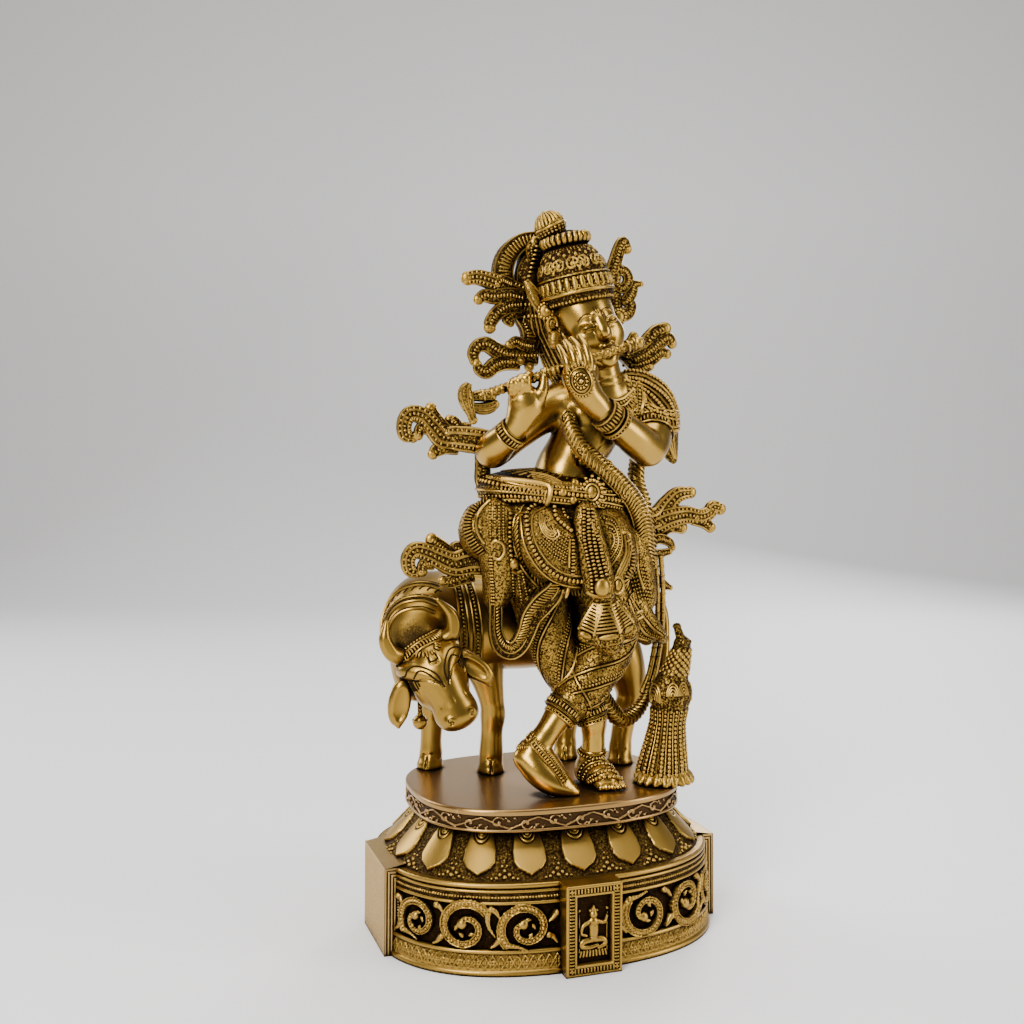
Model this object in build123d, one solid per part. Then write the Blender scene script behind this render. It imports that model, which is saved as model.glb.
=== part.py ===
from build123d import *
import math
import os

# Cast-brass temple figure of a flute player with a cow and a peacock on a lotus plinth.
# Frame: +Z up, origin on the table under the middle of the plinth, the front of the plinth faces -Y.
# Every casting is its own node. The plinth is a stack of hollow castings drawn together by screws from
# below, and the figure, the cow and the peacock stand on the deck, held by screws through it.

# ---------------------------------------------------------------- driving dimensions, millimetres
figure_height = 242.5       # deck to the top of the crown finial
plinth_width = 144.0        # drum at the table, along X
plinth_depth = 112.0        # drum at the table, along Y
drum_height = 36.0
lotus_height = 17.4         # drum top to the underside of the deck rim
deck_height = 9.1           # rim of the deck casting
deck_width = 114.8
deck_depth = 91.8

drum_lean = 2.0             # how far the drum narrows on each side from foot to top
foot_band_height = 7.0
foot_band_proud = 1.2
lotus_step = 2.2            # ledge between the drum top and the foot of the lotus tier
neck_width = 104.0          # bead neck under the deck rim, along X
neck_depth = 82.0
wall = 3.5                  # casting wall of drum and lotus tier
deck_wall = 4.0
flange_thickness = 3.0
drum_flange_reach = 17.0    # how far the drum's inner flange reaches in from its wall
lotus_flange_reach = 13.0
neck_flange_reach = 11.0
round_drum = 2.4            # exponent of the drum's rounded oval, 2 is an ellipse
round_deck = 2.7
outline_points = 24         # through-points of one rounded oval
dome_reach = 0.7            # a limb's end dome, in radii: how far it stands out
dome_share = 0.55           # and how wide it ends

plaque_width = 23.4
plaque_proud = 6.5          # front and back plaques stand this far out of the drum
plaque_thickness = 9.0
plaque_recess = 2.0
plaque_border = 4.4
block_width = 38.8          # end blocks, along Y
block_proud = 2.1
block_thickness = 8.5
block_taper = 2.0
relief_height = 19.0        # small seated figure in the front plaque

screw_d = 4.0
screw_head_d = 7.0
screw_head_h = 2.4
screw_clearance = 0.2       # on the diameter, in the pieces a screw passes through
drum_screw_at = (44.0, 26.0)
deck_screw_at = (29.0, 30.0)
boss_d = 9.0
screw_bite = 6.0            # thread length in the piece that a screw holds

flute_d = 4.4
fit_gap = 0.15              # radial room between the flute and the hands that hold it

# ---------------------------------------------------------------- derived places
scale_f = figure_height / 242.5
drum_top = drum_height
deck_under = drum_top + lotus_height
deck_top = deck_under + deck_height
deck_plate_under = deck_top - deck_wall


def at(x, y, z):
    """A place on the figure, measured from the middle of the deck's top face."""
    return Vector(x * scale_f, y * scale_f, deck_top + z * scale_f)


# ---------------------------------------------------------------- shape helpers
def oval(width, depth, z, power):
    """Face of a rounded oval (a superellipse) at height z."""
    points = []
    for i in range(outline_points):
        t = 2 * math.pi * i / outline_points
        c, s = math.cos(t), math.sin(t)
        x = width / 2 * math.copysign(abs(c) ** (2 / power), c)
        y = depth / 2 * math.copysign(abs(s) ** (2 / power), s)
        points.append((x, y, z))
    return Face(Wire([Edge.make_spline([Vector(*p) for p in points], periodic=True)]))


def oval_block(size_low, size_high, z_low, z_high, power):
    """Solid between two rounded ovals, each given as (width, depth)."""
    low = oval(*size_low, z_low, power)
    high = oval(*size_high, z_high, power)
    return Solid.make_loft([low.outer_wire(), high.outer_wire()], True)


def drum_size(z, inset=0.0):
    """Width and depth of the drum's outside at height z, taken in by inset on each side."""
    lean = 2 * drum_lean * z / drum_height + 2 * inset
    return plinth_width - lean, plinth_depth - lean


def lotus_size(z, inset=0.0):
    """Width and depth of the lotus tier's outside at height z, taken in by inset on each side."""
    share = (z - drum_top) / lotus_height
    foot_w, foot_d = drum_size(drum_height, lotus_step)
    return (
        foot_w + (neck_width - foot_w) * share - 2 * inset,
        foot_d + (neck_depth - foot_d) * share - 2 * inset,
    )


def rod(a, b, r_a, r_b=None):
    """Round bar or cone from a to b."""
    r_b = r_a if r_b is None else r_b
    run = b - a
    place = Plane(origin=a, z_dir=run)
    if abs(r_a - r_b) < 1e-6:
        return place * Cylinder(r_a, run.length, align=(Align.CENTER, Align.CENTER, Align.MIN))
    return place * Cone(r_a, r_b, run.length, align=(Align.CENTER, Align.CENTER, Align.MIN))


def chain(*stations):
    """Limb of round section with domed ends through stations of (x, y, z, radius) on the figure."""
    places = [at(x, y, z) for x, y, z, r in stations]
    radii = [station[3] * scale_f for station in stations]
    if len(places) == 1:
        return Pos(*places[0]) * Sphere(radii[0])
    runs = [(b - a).normalized() for a, b in zip(places, places[1:])]
    headings = [runs[0]] + [(a + b).normalized() for a, b in zip(runs, runs[1:])] + [runs[-1]]
    sections = [(places[0] - headings[0] * radii[0] * dome_reach, headings[0], radii[0] * dome_share)]
    sections += list(zip(places, headings, radii))
    sections += [(places[-1] + headings[-1] * radii[-1] * dome_reach, headings[-1],
        radii[-1] * dome_share)]
    wires = []
    side = Vector(0.31, -0.92, 0.17)
    for centre, heading, radius in sections:
        side = (side - heading * side.dot(heading)).normalized()
        circle = Edge.make_circle(radius, Plane(origin=centre, x_dir=side, z_dir=heading))
        wires.append(Wire([circle]))
    return Solid.make_loft(wires)


def join(pieces):
    """One solid from overlapping pieces."""
    whole = pieces[0]
    for piece in pieces[1:]:
        whole = whole + piece
    return whole


def seat(piece, *neighbours):
    """The piece with its neighbours' shapes cut out of it, so that it meets them face to face.

    Crumbs that the cut leaves apart from the piece are dropped."""
    for other in neighbours:
        piece = piece - other
    solids = piece.solids()
    largest = max(s.volume for s in solids)
    return Compound([s for s in solids if s.volume > 0.05 * largest])


def ring(centre, axis, r_out, r_in, height):
    """Flat ring round an axis."""
    place = Plane(origin=centre, z_dir=axis)
    return place * (Cylinder(r_out, height) - Cylinder(r_in, height))


def pan_screw(x, y, z_head, length):
    """Screw pointing up: its head's top face is at z_head and its shank runs length above that."""
    up = (Align.CENTER, Align.CENTER, Align.MIN)
    down = (Align.CENTER, Align.CENTER, Align.MAX)
    return Pos(x, y, z_head) * (
        Cylinder(screw_d / 2, length, align=up) + Cylinder(screw_head_d / 2, screw_head_h, align=down)
    )


def screw_hole(x, y, z_low, z_high, extra=0.0):
    """Cutter for a vertical screw hole."""
    return Pos(x, y, z_low) * Cylinder(
        screw_d / 2 + extra / 2, z_high - z_low, align=(Align.CENTER, Align.CENTER, Align.MIN)
    )


def four(place):
    """The four corner places of a screw pattern."""
    x, y = place
    return [(x, y), (-x, y), (-x, -y), (x, -y)]


# ---------------------------------------------------------------- plinth
def drum_outside():
    """The drum's outside as a full solid, foot band included."""
    foot = oval_block(
        drum_size(0, -foot_band_proud), drum_size(foot_band_height, -foot_band_proud / 3),
        0, foot_band_height, round_drum,
    )
    return foot + oval_block(drum_size(0), drum_size(drum_top), 0, drum_top, round_drum)


def make_drum():
    flange_low = drum_top - flange_thickness
    body = drum_outside()
    body -= oval_block(drum_size(0, wall), drum_size(flange_low, wall), 0, flange_low, round_drum)
    body -= oval_block(
        drum_size(flange_low, wall + drum_flange_reach), drum_size(drum_top, wall + drum_flange_reach),
        flange_low, drum_top, round_drum,
    )
    for x, y in four(drum_screw_at):
        body -= screw_hole(x, y, flange_low, drum_top, screw_clearance)
    return body


def make_lotus():
    mid = drum_top + flange_thickness
    top = deck_under
    body = oval_block(lotus_size(drum_top), lotus_size(top), drum_top, top, round_drum)
    body -= oval_block(
        lotus_size(mid, wall), lotus_size(top - flange_thickness, wall), mid, top - flange_thickness,
        round_drum,
    )
    body -= oval_block(
        lotus_size(drum_top, wall + lotus_flange_reach), lotus_size(mid, wall + lotus_flange_reach),
        drum_top, mid, round_drum,
    )
    body -= oval_block(
        lotus_size(top - flange_thickness, wall + neck_flange_reach),
        lotus_size(top, wall + neck_flange_reach),
        top - flange_thickness, top, round_drum,
    )
    for x, y in four(drum_screw_at):
        body += Pos(x, y, mid) * Cylinder(boss_d / 2, screw_bite,
            align=(Align.CENTER, Align.CENTER, Align.MIN))
        body -= screw_hole(x, y, drum_top, mid + screw_bite)
    shell = oval_block(lotus_size(drum_top), lotus_size(top), drum_top, top, round_drum)
    body = body & shell
    for x, y in four(deck_screw_at):
        body -= screw_hole(x, y, top - flange_thickness, top, screw_clearance)
    return body


def make_deck(screw_places):
    size = (deck_width, deck_depth)
    inner = (deck_width - 2 * deck_wall, deck_depth - 2 * deck_wall)
    body = oval_block(size, size, deck_under, deck_top, round_deck)
    body -= oval_block(inner, inner, deck_under, deck_plate_under, round_deck)
    rim_top = [e for e in body.edges() if abs(e.center().Z - deck_top) < 1e-3]
    body = fillet(rim_top, 0.9)
    boss_height = deck_plate_under - deck_under
    for x, y in four(deck_screw_at):
        body += Pos(x, y, deck_under) * Cylinder(
            boss_d / 2, boss_height, align=(Align.CENTER, Align.CENTER, Align.MIN)
        )
        body -= screw_hole(x, y, deck_under, deck_under + screw_bite)
    for x, y in screw_places:
        body -= screw_hole(x, y, deck_plate_under, deck_top, screw_clearance)
        # room for the head, also where it lies near the rim or a boss
        body -= Pos(x, y, deck_under) * Cylinder((screw_head_d + screw_clearance) / 2, boss_height,
            align=(Align.CENTER, Align.CENTER, Align.MIN))
    return body


def make_plaque(side):
    """Framed plaque on the drum: side -1 is the front, +1 the back."""
    face_y = plinth_depth / 2 + plaque_proud
    slab = Pos(0, side * (face_y - plaque_thickness / 2), 0) * Box(
        plaque_width, plaque_thickness, drum_height, align=(Align.CENTER, Align.CENTER, Align.MIN)
    )
    window_w = plaque_width - 2 * plaque_border
    window_h = drum_height - 2 * plaque_border
    window = Pos(0, side * (face_y - plaque_recess / 2), drum_height / 2) * Box(window_w, plaque_recess,
        window_h)
    slab = slab - window
    edge = [e for e in slab.edges().filter_by(Axis.Z) if abs(abs(e.center().Y) - face_y) < 1e-3]
    outer = [e for e in edge if abs(abs(e.center().X) - plaque_width / 2) < 1e-3]
    return fillet(outer, 0.8)


def make_block(side):
    """End block on the drum: side -1 is at -X, +1 at +X. It narrows a little towards its face."""
    face_x = plinth_width / 2 + block_proud
    root = Plane(origin=(side * (face_x - block_thickness), 0, drum_height / 2), z_dir=(side, 0, 0))
    tip = root.offset(block_thickness)
    wires = []
    for plane, cut in ((root, 0.0), (tip, block_taper)):
        x_dir = Vector(0, 1, 0)
        place = Plane(origin=plane.origin, x_dir=x_dir, z_dir=plane.z_dir)
        rect = place * Rectangle(block_width - cut, drum_height)
        wires.append(rect.face().outer_wire())
    return Solid.make_loft(wires, True)


def make_relief():
    """Small seated figure in the front plaque's window."""
    face_y = -(plinth_depth / 2 + plaque_proud) + plaque_recess
    unit = relief_height / 19.0
    mid_z = drum_height / 2

    def bar(a, b, r):
        lo = Vector(a[0] * unit, face_y + 0.4, mid_z + a[1] * unit)
        hi = Vector(b[0] * unit, face_y + 0.4, mid_z + b[1] * unit)
        return join([rod(lo, hi, r * 0.95 * unit), Pos(*lo) * Sphere(r * unit),
            Pos(*hi) * Sphere(r * unit)])

    body = join([
        bar((0, -3), (0, 2.2), 1.7),
        Pos(0, face_y + 0.4, mid_z + 6.2 * unit) * Sphere(1.75 * unit),
        bar((-1.2, 2.4), (-4.6, 0.2), 0.9),
        bar((1.2, 2.4), (4.6, 2.2), 0.9),
        bar((-4.4, -5.6), (4.4, -5.6), 1.4),
        bar((-5.2, -8.4), (5.2, -8.4), 1.0),
        bar((0, -8.0), (0, -3.0), 1.2),
    ])
    return body


# ---------------------------------------------------------------- the flute player
head_axis = Vector(-0.36, 0.05, 0.93).normalized()
crown_foot = (13.0, -9.0, 201.0)


def along_head(distance):
    """Place on the crown's axis, distance above the crown's foot."""
    base = at(*crown_foot)
    return base + head_axis * distance * scale_f


def crown_part(profile):
    """Turned piece on the crown's axis from a profile of (radius, height) corners."""
    corners = [(0, profile[0][1])] + list(profile) + [(0, profile[-1][1])]
    face = make_face(Polyline([(r * scale_f, h * scale_f) for r, h in corners], close=True))
    turned = revolve(Plane.XZ * face, Axis.Z)
    return Plane(origin=at(*crown_foot), z_dir=head_axis) * turned


def make_torso():
    spine = chain((8, -7, 131, 13), (13, -7, 140, 11.5), (20, -7, 151, 13.5))
    chest = chain((13, -6, 154, 11.5), (24, -7, 155, 13), (38, -6, 156, 11.5))
    return join([spine, chest])


def make_head():
    face = chain((21.5, -14, 180, 8.2), (17.5, -12, 190, 11.5), (14, -9.5, 200, 13.5))
    neck = chain((24, -8, 166, 7.4), (21, -9, 178, 7.2))
    return join([face, neck])


def make_right_hand():
    palm = chain((-18.5, -28.5, 152, 4.4), (-17, -29.5, 158, 5.2), (-14.5, -30, 163, 5.0))
    fingers = [
        chain((-13, -31, 164, 2.2), (-11, -31, 168, 1.9), (-8.6, -29, 173, 1.5)),
        chain((-18, -31.5, 163, 2.1), (-18.5, -31.5, 168.5, 1.8), (-17.5, -27, 170.5, 1.6)),
        chain((-21, -30.5, 161, 2.0), (-22.5, -31, 166, 1.7), (-21.5, -27, 168.5, 1.5)),
    ]
    return join([palm] + fingers)


def make_left_hand():
    palm = chain((11.5, -33.5, 158.5, 4.6), (8, -34.5, 164, 5.6), (5.5, -35, 169.5, 5.2))
    fingers = [
        chain((8.5, -35.5, 172, 2.2), (8.8, -35, 180, 2.0), (5.5, -31.5, 188.5, 1.5)),
        chain((5, -36, 173, 2.1), (4.2, -35.5, 181, 1.8), (1.5, -32.5, 187, 1.4)),
        chain((2, -35, 172, 2.0), (0.5, -34.5, 180, 1.7), (-1.5, -32, 185.5, 1.4)),
        chain((0.5, -33, 169, 1.9), (-2.2, -32.5, 177, 1.6), (-3.6, -30, 182.5, 1.3)),
    ]
    return join([palm] + fingers)


def make_left_leg():
    return chain((16, -8, 107, 15), (22, -11, 82, 12), (25, -14, 60, 10), (14, -17.5, 45, 9),
        (3, -20, 33, 6.6))


def make_right_leg():
    return chain((-8, -6, 107, 15), (-4, -7, 85, 12), (1, -8, 62, 9.2), (10, -13, 42, 7.6),
        (16, -17, 30, 6.4))


def make_left_foot():
    ankle = chain((-1, -21.4, 28, 5.2), (-4, -22.4, 23, 5.0), (-7.5, -23.2, 18, 4.9))
    sole = chain((-14.5, -23, 15, 4.6), (-8, -27.5, 8, 5.4), (-2.5, -30.5, 4.2, 4.2), (3, -32, 2.2, 2.2))
    return keep_above_deck(join([ankle, sole]))


def make_right_foot():
    ankle = chain((17, -18, 25, 5.0), (17, -17, 12, 4.8))
    sole = chain((16, -15, 5, 5.2), (17, -23, 4.8, 5.6), (18.5, -29.5, 3.2, 4.6))
    return keep_above_deck(join([ankle, sole]))


def keep_above_deck(piece):
    """Cuts off what would reach into the deck, which leaves a flat foot to stand on."""
    below = Pos(0, 0, deck_top) * Box(400, 400, 60, align=(Align.CENTER, Align.CENTER, Align.MAX))
    return piece - below


def cuff(centre, axis, r_out, r_in, height):
    """Bangle, anklet or armlet on a limb."""
    return ring(at(*centre), Vector(*axis), r_out * scale_f, r_in * scale_f, height * scale_f)


# ---------------------------------------------------------------- scarf scrolls and fronds
def scroll(fronds):
    """Flame-like scarf end made of tapered fronds that share a root."""
    return join([chain(*f) for f in fronds])


scrolls = {
    "scarf_scroll_head_right": [
        [(-7, 3, 198, 4.5), (-17, 2, 203, 3.8), (-26, 0, 208, 3.0), (-34, -1, 211, 2.4)],
        [(-10, 2, 200, 4.2), (-21, 0, 199, 3.4), (-30, -1, 203.5, 2.4)],
        [(-9, 2, 196, 4.0), (-19, 0, 193, 3.2), (-26, -1, 190, 2.4)],
    ],
    "scarf_scroll_shoulder_right": [
        [(-6, 2, 171, 4.5), (-15, 1, 175, 3.8), (-23, -1, 182, 3.4), (-29, -2, 180, 3.0),
            (-31, -2, 175, 2.4)],
        [(-10, 1, 173, 4.0), (-20, 0, 174, 3.6), (-27, -1, 171, 3.0)],
    ],
    "scarf_scroll_elbow_right": [
        [(-30, -3, 146, 6.0), (-40, -2, 147, 5.2), (-50, -1, 152, 4.2), (-57, 0, 155, 3.4),
            (-60.5, 0, 150, 2.8)],
        [(-38, -2, 149, 4.4), (-46, -1, 155, 3.4), (-51, 0, 160, 2.4)],
        [(-40, -2, 144, 4.0), (-48, -1, 142, 2.8)],
    ],
    "scarf_scroll_hip_right": [
        [(-24, 0, 91, 6.0), (-36, -1, 91, 5.2), (-46, -1, 96, 4.4), (-54, 0, 99, 3.6), (-59, 0, 95, 2.8)],
        [(-34, -1, 95, 4.0), (-43, 0, 101, 3.2), (-48, 1, 105, 2.4)],
        [(-34, -1, 87, 3.6), (-43, -2, 85, 2.4)],
    ],
    "scarf_scroll_head_left": [
        [(34, 2, 192, 4.4), (36, 1, 204, 4.6), (36, 0, 216, 3.8), (35.5, 0, 224, 2.6),
            (37.5, 0, 230, 2.5)],
        [(36, 1, 206, 4.0), (41, 0, 210, 3.2), (44.5, -1, 212, 1.6)],
        [(36, 1, 202, 4.0), (39.5, -1, 199, 3.2)],
    ],
    "scarf_scroll_neck_left": [
        [(38, 2, 171, 5.0), (45, 1, 178, 4.2), (52, 0, 185, 3.4), (58, 0, 189, 2.6), (60.5, 0, 184, 2.2)],
        [(42, 1, 173, 4.4), (50, 0, 175, 3.6), (56, 0, 178, 2.8)],
    ],
    "scarf_scroll_hip_left": [
        [(50, -3, 107, 5.0), (60, -4, 111, 4.4), (70, -5, 114, 3.6), (79, -5, 111, 3.0),
            (85, -5, 113, 2.4)],
        [(58, -4, 112, 4.0), (65, -4, 119, 3.0), (73, -4, 123, 2.0)],
        [(60, -4, 108, 3.6), (68, -5, 104, 2.8), (78, -5, 104, 2.0)],
    ],
}


# ---------------------------------------------------------------- build, in the order of assembly
cow_legs = {
    "cow_fore_legs": [
        [(-40, 28, 44, 9), (-40.5, 31, 24, 5.4), (-40.5, 31, 11, 4.8), (-41, 30.5, 3.6, 6.2)],
        [(-22, 15, 46, 9), (-19, 14.5, 26, 5.2), (-18, 15, 11, 4.6), (-18, 15, 3.6, 6.6)],
    ],
    "cow_hind_legs": [
        [(27, 27, 48, 8.5), (24, 28, 28, 5.6), (22, 28, 12, 4.5), (22, 28, 3.4, 5.6)],
        [(42, 15, 50, 9.5), (44, 13, 31, 6.2), (43, 12, 13, 4.6), (42.5, 12, 3.4, 5.6)],
    ],
}
screw_points = {
    "left_foot": (-4.5, -29.0),
    "right_foot": (17.0, -20.5),
    "peacock": (44.5, -21.0),
    "right_fore_hoof": (-38.5, 28.0),
    "left_fore_hoof": (-18.0, 15.0),
    "right_hind_hoof": (21.0, 27.0),
    "left_hind_hoof": (42.5, 12.0),
}
screw_places = [(x * scale_f, y * scale_f) for x, y in screw_points.values()]
foot_bite = 4.6 * scale_f

nodes = {}
nodes["plinth_drum"] = make_drum()
nodes["lotus_tier"] = make_lotus()
nodes["deck"] = make_deck(screw_places)
nodes["front_plaque"] = seat(make_plaque(-1) + make_relief(), drum_outside())
nodes["back_plaque"] = seat(make_plaque(1), drum_outside())
nodes["right_end_block"] = seat(make_block(-1), drum_outside())
nodes["left_end_block"] = seat(make_block(1), drum_outside())
nodes["drum_screws"] = Compound([
    pan_screw(x, y, drum_top - flange_thickness, flange_thickness * 2 + screw_bite)
    for x, y in four(drum_screw_at)
])
nodes["deck_screws"] = Compound([
    pan_screw(x, y, deck_under - flange_thickness, flange_thickness + screw_bite)
    for x, y in four(deck_screw_at)
])
nodes["figure_screws"] = Compound([
    pan_screw(x, y, deck_plate_under, deck_wall + foot_bite) for x, y in screw_places
])

# the cow
barrel = chain((-41, 21, 66, 20.0), (-10, 21, 64, 18.5), (36, 21, 66, 19.5))
cow_body = barrel + chain((-40, 18, 70, 16), (-50, 9, 69, 14.5), (-57, 1, 67, 11.5))
nodes["cow_body"] = cow_body
nodes["cow_head"] = seat(
    chain((-55, -4, 61, 9.5), (-48.5, -11.5, 50.5, 8.8), (-42.5, -17.5, 41, 6.6),
        (-38.5, -21, 36.5, 6.2)),
    cow_body,
)
for name, legs in cow_legs.items():
    pair = [seat(keep_above_deck(chain(*stations)), cow_body,
        nodes["figure_screws"]) for stations in legs]
    nodes[name] = Compound([s for leg in pair for s in leg.solids()])
horns = [
    chain((-64, -6, 59, 3.0), (-70, -8, 64, 2.6), (-71, -9, 71, 1.4)),
    chain((-47, -7, 69, 3.0), (-44, -9, 75, 2.5), (-48.5, -10, 80, 1.3)),
]
nodes["cow_horns"] = Compound(
    [s for h in horns for s in seat(h, nodes["cow_head"], cow_body).solids()]
)
ears = [
    chain((-60, -12, 53, 2.6), (-64, -12, 45, 4.2), (-64.5, -12, 38, 2.2)),
    chain((-41, -15, 57, 2.6), (-35, -16, 53, 4.0), (-30.5, -16, 46, 2.0)),
]
nodes["cow_ears"] = Compound(
    [s for e in ears for s in seat(e, nodes["cow_head"], cow_body).solids()]
)
nodes["cow_bell"] = seat(
    join([chain((-53, 2, 32, 3.4)), chain((-53, 2, 32, 1.6), (-54, 3, 42, 2.2), (-55, 3, 50, 2.4),
        (-55, 3, 57, 2.4))]),
    nodes["cow_head"], cow_body, nodes["cow_ears"],
)
nodes["cow_tail"] = seat(
    chain((52, 22, 80, 3.2), (60, 18, 77, 2.6), (63, 13, 66, 2.3), (62, 8, 48, 2.2), (58, 3, 34, 2.8)),
    cow_body, nodes["cow_hind_legs"],
)

# the flute player's body
nodes["dhoti_hips"] = seat(
    join([
        chain((-9, -7, 112, 18.5), (4, -7, 114, 19), (16, -7, 112, 18.5)),
        chain((-8, -7, 112, 17.5), (-7, -8, 98, 16)),
        chain((16, -7, 112, 17.5), (19, -9, 96, 16)),
        chain((4, -6, 117, 18), (8, -7, 129, 13)),
    ]),
    cow_body,
)
nodes["torso"] = seat(make_torso(), nodes["dhoti_hips"])
nodes["head"] = seat(make_head(), nodes["torso"])
nodes["left_leg"] = seat(make_left_leg(), nodes["dhoti_hips"], cow_body, nodes["cow_fore_legs"])
nodes["right_leg"] = seat(
    make_right_leg(), nodes["dhoti_hips"], nodes["left_leg"], cow_body, nodes["cow_fore_legs"],
)
nodes["left_foot"] = seat(make_left_foot(), nodes["left_leg"], nodes["figure_screws"])
nodes["right_foot"] = seat(
    make_right_foot(), nodes["right_leg"], nodes["left_leg"], nodes["left_foot"], nodes["figure_screws"]
)
lower_limbs = [nodes[n] for n in ("left_leg", "right_leg", "left_foot", "right_foot")]
nodes["anklets"] = Compound([
    s
    for c in (
        cuff((1, -20.6, 31), (0.6, 0.15, 0.78), 8.6, 3, 4.0),
        cuff((16.6, -17.4, 26.5), (-0.2, 0.15, 0.96), 7.4, 3, 3.6),
    )
    for s in seat(c, *lower_limbs).solids()
])

flute_right = at(31, -31, 185.5)
flute_left = at(-37, -28.5, 162.5)
flute_room = rod(flute_right, flute_left, flute_d / 2 * scale_f + fit_gap)
flute_tip = join([
    chain((-37, -28.5, 162.5, 3.0), (-39.5, -28.5, 161.5, 3.2)),
    chain((-43.5, -28.5, 167, 2.6), (-41.5, -28.5, 159.5, 3.0), (-38.5, -28.5, 152.5, 2.2)),
])
nodes["flute"] = seat(
    join([rod(flute_right, flute_left, flute_d / 2 * scale_f), flute_tip]), nodes["head"]
)
nodes["right_upper_arm"] = seat(chain((5, -4, 159, 8.6), (-12, -6, 150, 7), (-25, -9, 141.5, 6.5)),
    nodes["torso"])
nodes["right_forearm"] = seat(
    chain((-25, -9, 141.5, 6.4), (-19.5, -26, 149.5, 4.7)), nodes["right_upper_arm"], nodes["torso"]
)
nodes["left_upper_arm"] = seat(chain((47, -5, 162, 9.4), (47, -13, 150, 8), (42, -21.5, 142.5, 7)),
    nodes["torso"])
nodes["left_forearm"] = seat(
    chain((42, -21.5, 142.5, 7), (27, -28, 150, 6.2), (14, -32.5, 156.5, 4.8)), nodes["left_upper_arm"],
    nodes["torso"],
)
nodes["right_hand"] = seat(make_right_hand(), nodes["right_forearm"], flute_room)
nodes["left_hand"] = seat(make_left_hand(), nodes["left_forearm"], flute_room, nodes["head"])
arms = [
    nodes[n] for n in (
        "right_upper_arm", "right_forearm", "right_hand", "left_upper_arm", "left_forearm", "left_hand",
        "torso"
    )
]
nodes["arm_bands"] = Compound([
    s
    for c in (
        cuff((-20.8, -22.5, 147.6), (5.5, -17, 8), 7.0, 3, 4.2),
        cuff((17.5, -31.4, 155), (-13, -4.5, 6.5), 7.2, 3, 5.4),
        cuff((46.8, -12, 151), (-0.1, -8, -10), 10.4, 4, 5.0),
    )
    for s in seat(c, *arms).solids()
])

# crown and head ornaments
nodes["crown"] = seat(
    crown_part([
        (15.5, -2), (16.8, 0), (17.0, 4), (16.4, 10), (14.4, 17), (11.2, 23.5), (9.0, 26), (10.4, 27),
        (10.4, 30), (7.5, 31.5), (5, 33),
    ]),
    nodes["head"],
)
finial_centre = along_head(38.2)
nodes["crown_finial"] = seat(
    join([Pos(*finial_centre) * Sphere(6.6 * scale_f),
        rod(along_head(31), finial_centre, 4.0 * scale_f)]),
    nodes["crown"],
)
nodes["crest_arch"] = seat(
    join([
        chain((-2, 3, 233, 3.6), (-10, 4, 227, 4.4), (-15, 4, 217, 4.8), (-15, 4, 205, 4.8)),
        chain((-15, 4, 205, 4.8), (-10, 4, 193, 4.6), (-5.5, 3, 182, 4.6), (-6, 2, 174, 4.2),
            (-13, 1, 171, 3.4)),
    ]),
    nodes["crown"], nodes["crown_finial"], nodes["head"], nodes["torso"],
    nodes["right_upper_arm"],
)
hair = chain((6, 2, 198, 10), (14, 4, 182, 11), (20, 4, 170, 9))
nodes["hair"] = seat(
    hair, nodes["head"], nodes["crown"], nodes["torso"], nodes["crest_arch"], nodes["left_hand"],
)
earrings = [
    chain((-2, -8, 198, 3.4), (-5.5, -6, 205, 2.6), (-9.5, -4, 214, 1.6)),
    chain((0.5, -12, 191.5, 3.2), (0.2, -12.4, 187.5, 3.5)),
    chain((30.5, -12, 200, 3.4), (31.5, -12, 192, 3.2)),
]
nodes["ear_ornaments"] = Compound([
    s
    for e in earrings
    for s in seat(e, nodes["head"], nodes["crown"], nodes["hair"], nodes["crest_arch"],
        nodes["left_hand"]).solids()
])

# girdle, aprons and drapes
belt_axis = Vector(0.12, 0, 1)
belt_centre = at(3, -6, 124)
belt = Plane(origin=belt_centre, z_dir=belt_axis) * extrude(Ellipse(27.5 * scale_f, 18.5 * scale_f),
    4.5 * scale_f, both=True)
nodes["girdle"] = seat(belt, nodes["dhoti_hips"], nodes["torso"], cow_body)
body_parts = [nodes["dhoti_hips"], nodes["torso"], nodes["girdle"], nodes["left_leg"],
    nodes["right_leg"], cow_body]
nodes["right_side_drape"] = seat(
    join([
        chain((-22, -6, 117, 7), (-23, -7, 100, 7.5), (-20, -8, 80, 6.5), (-19, -9, 64, 4.5)),
        chain((-24, -5, 112, 7), (-29, -5, 104, 5.5), (-27, -6, 96, 4)),
    ]),
    *body_parts,
)
nodes["left_side_drape"] = seat(
    join([
        chain((36, -6, 114, 7), (40, -8, 96, 6.5), (40, -10, 80, 6), (44, -11, 68, 4)),
    ]),
    *body_parts,
)
drapes = [nodes["right_side_drape"], nodes["left_side_drape"]]
nodes["apron_right"] = seat(
    join([
        chain((-17, -24, 115, 2.6), (-19, -25, 104, 2.8), (-14, -28, 91, 3.0), (-4, -30, 82, 3.0),
            (8, -31, 79, 2.6)),
        chain((-12, -24, 108, 3.0), (-6, -27, 96, 3.4), (4, -28, 88, 3.2)),
    ]),
    *drapes, *body_parts,
)
nodes["apron_left"] = seat(
    join([
        chain((30, -22, 118, 2.8), (36, -22, 106, 3.0), (38, -22, 93, 3.0), (33, -25, 82, 2.8)),
        chain((27, -25, 110, 3.0), (30, -26, 97, 3.4), (29, -27, 88, 3.0)),
    ]),
    *drapes, *body_parts,
)
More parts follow.
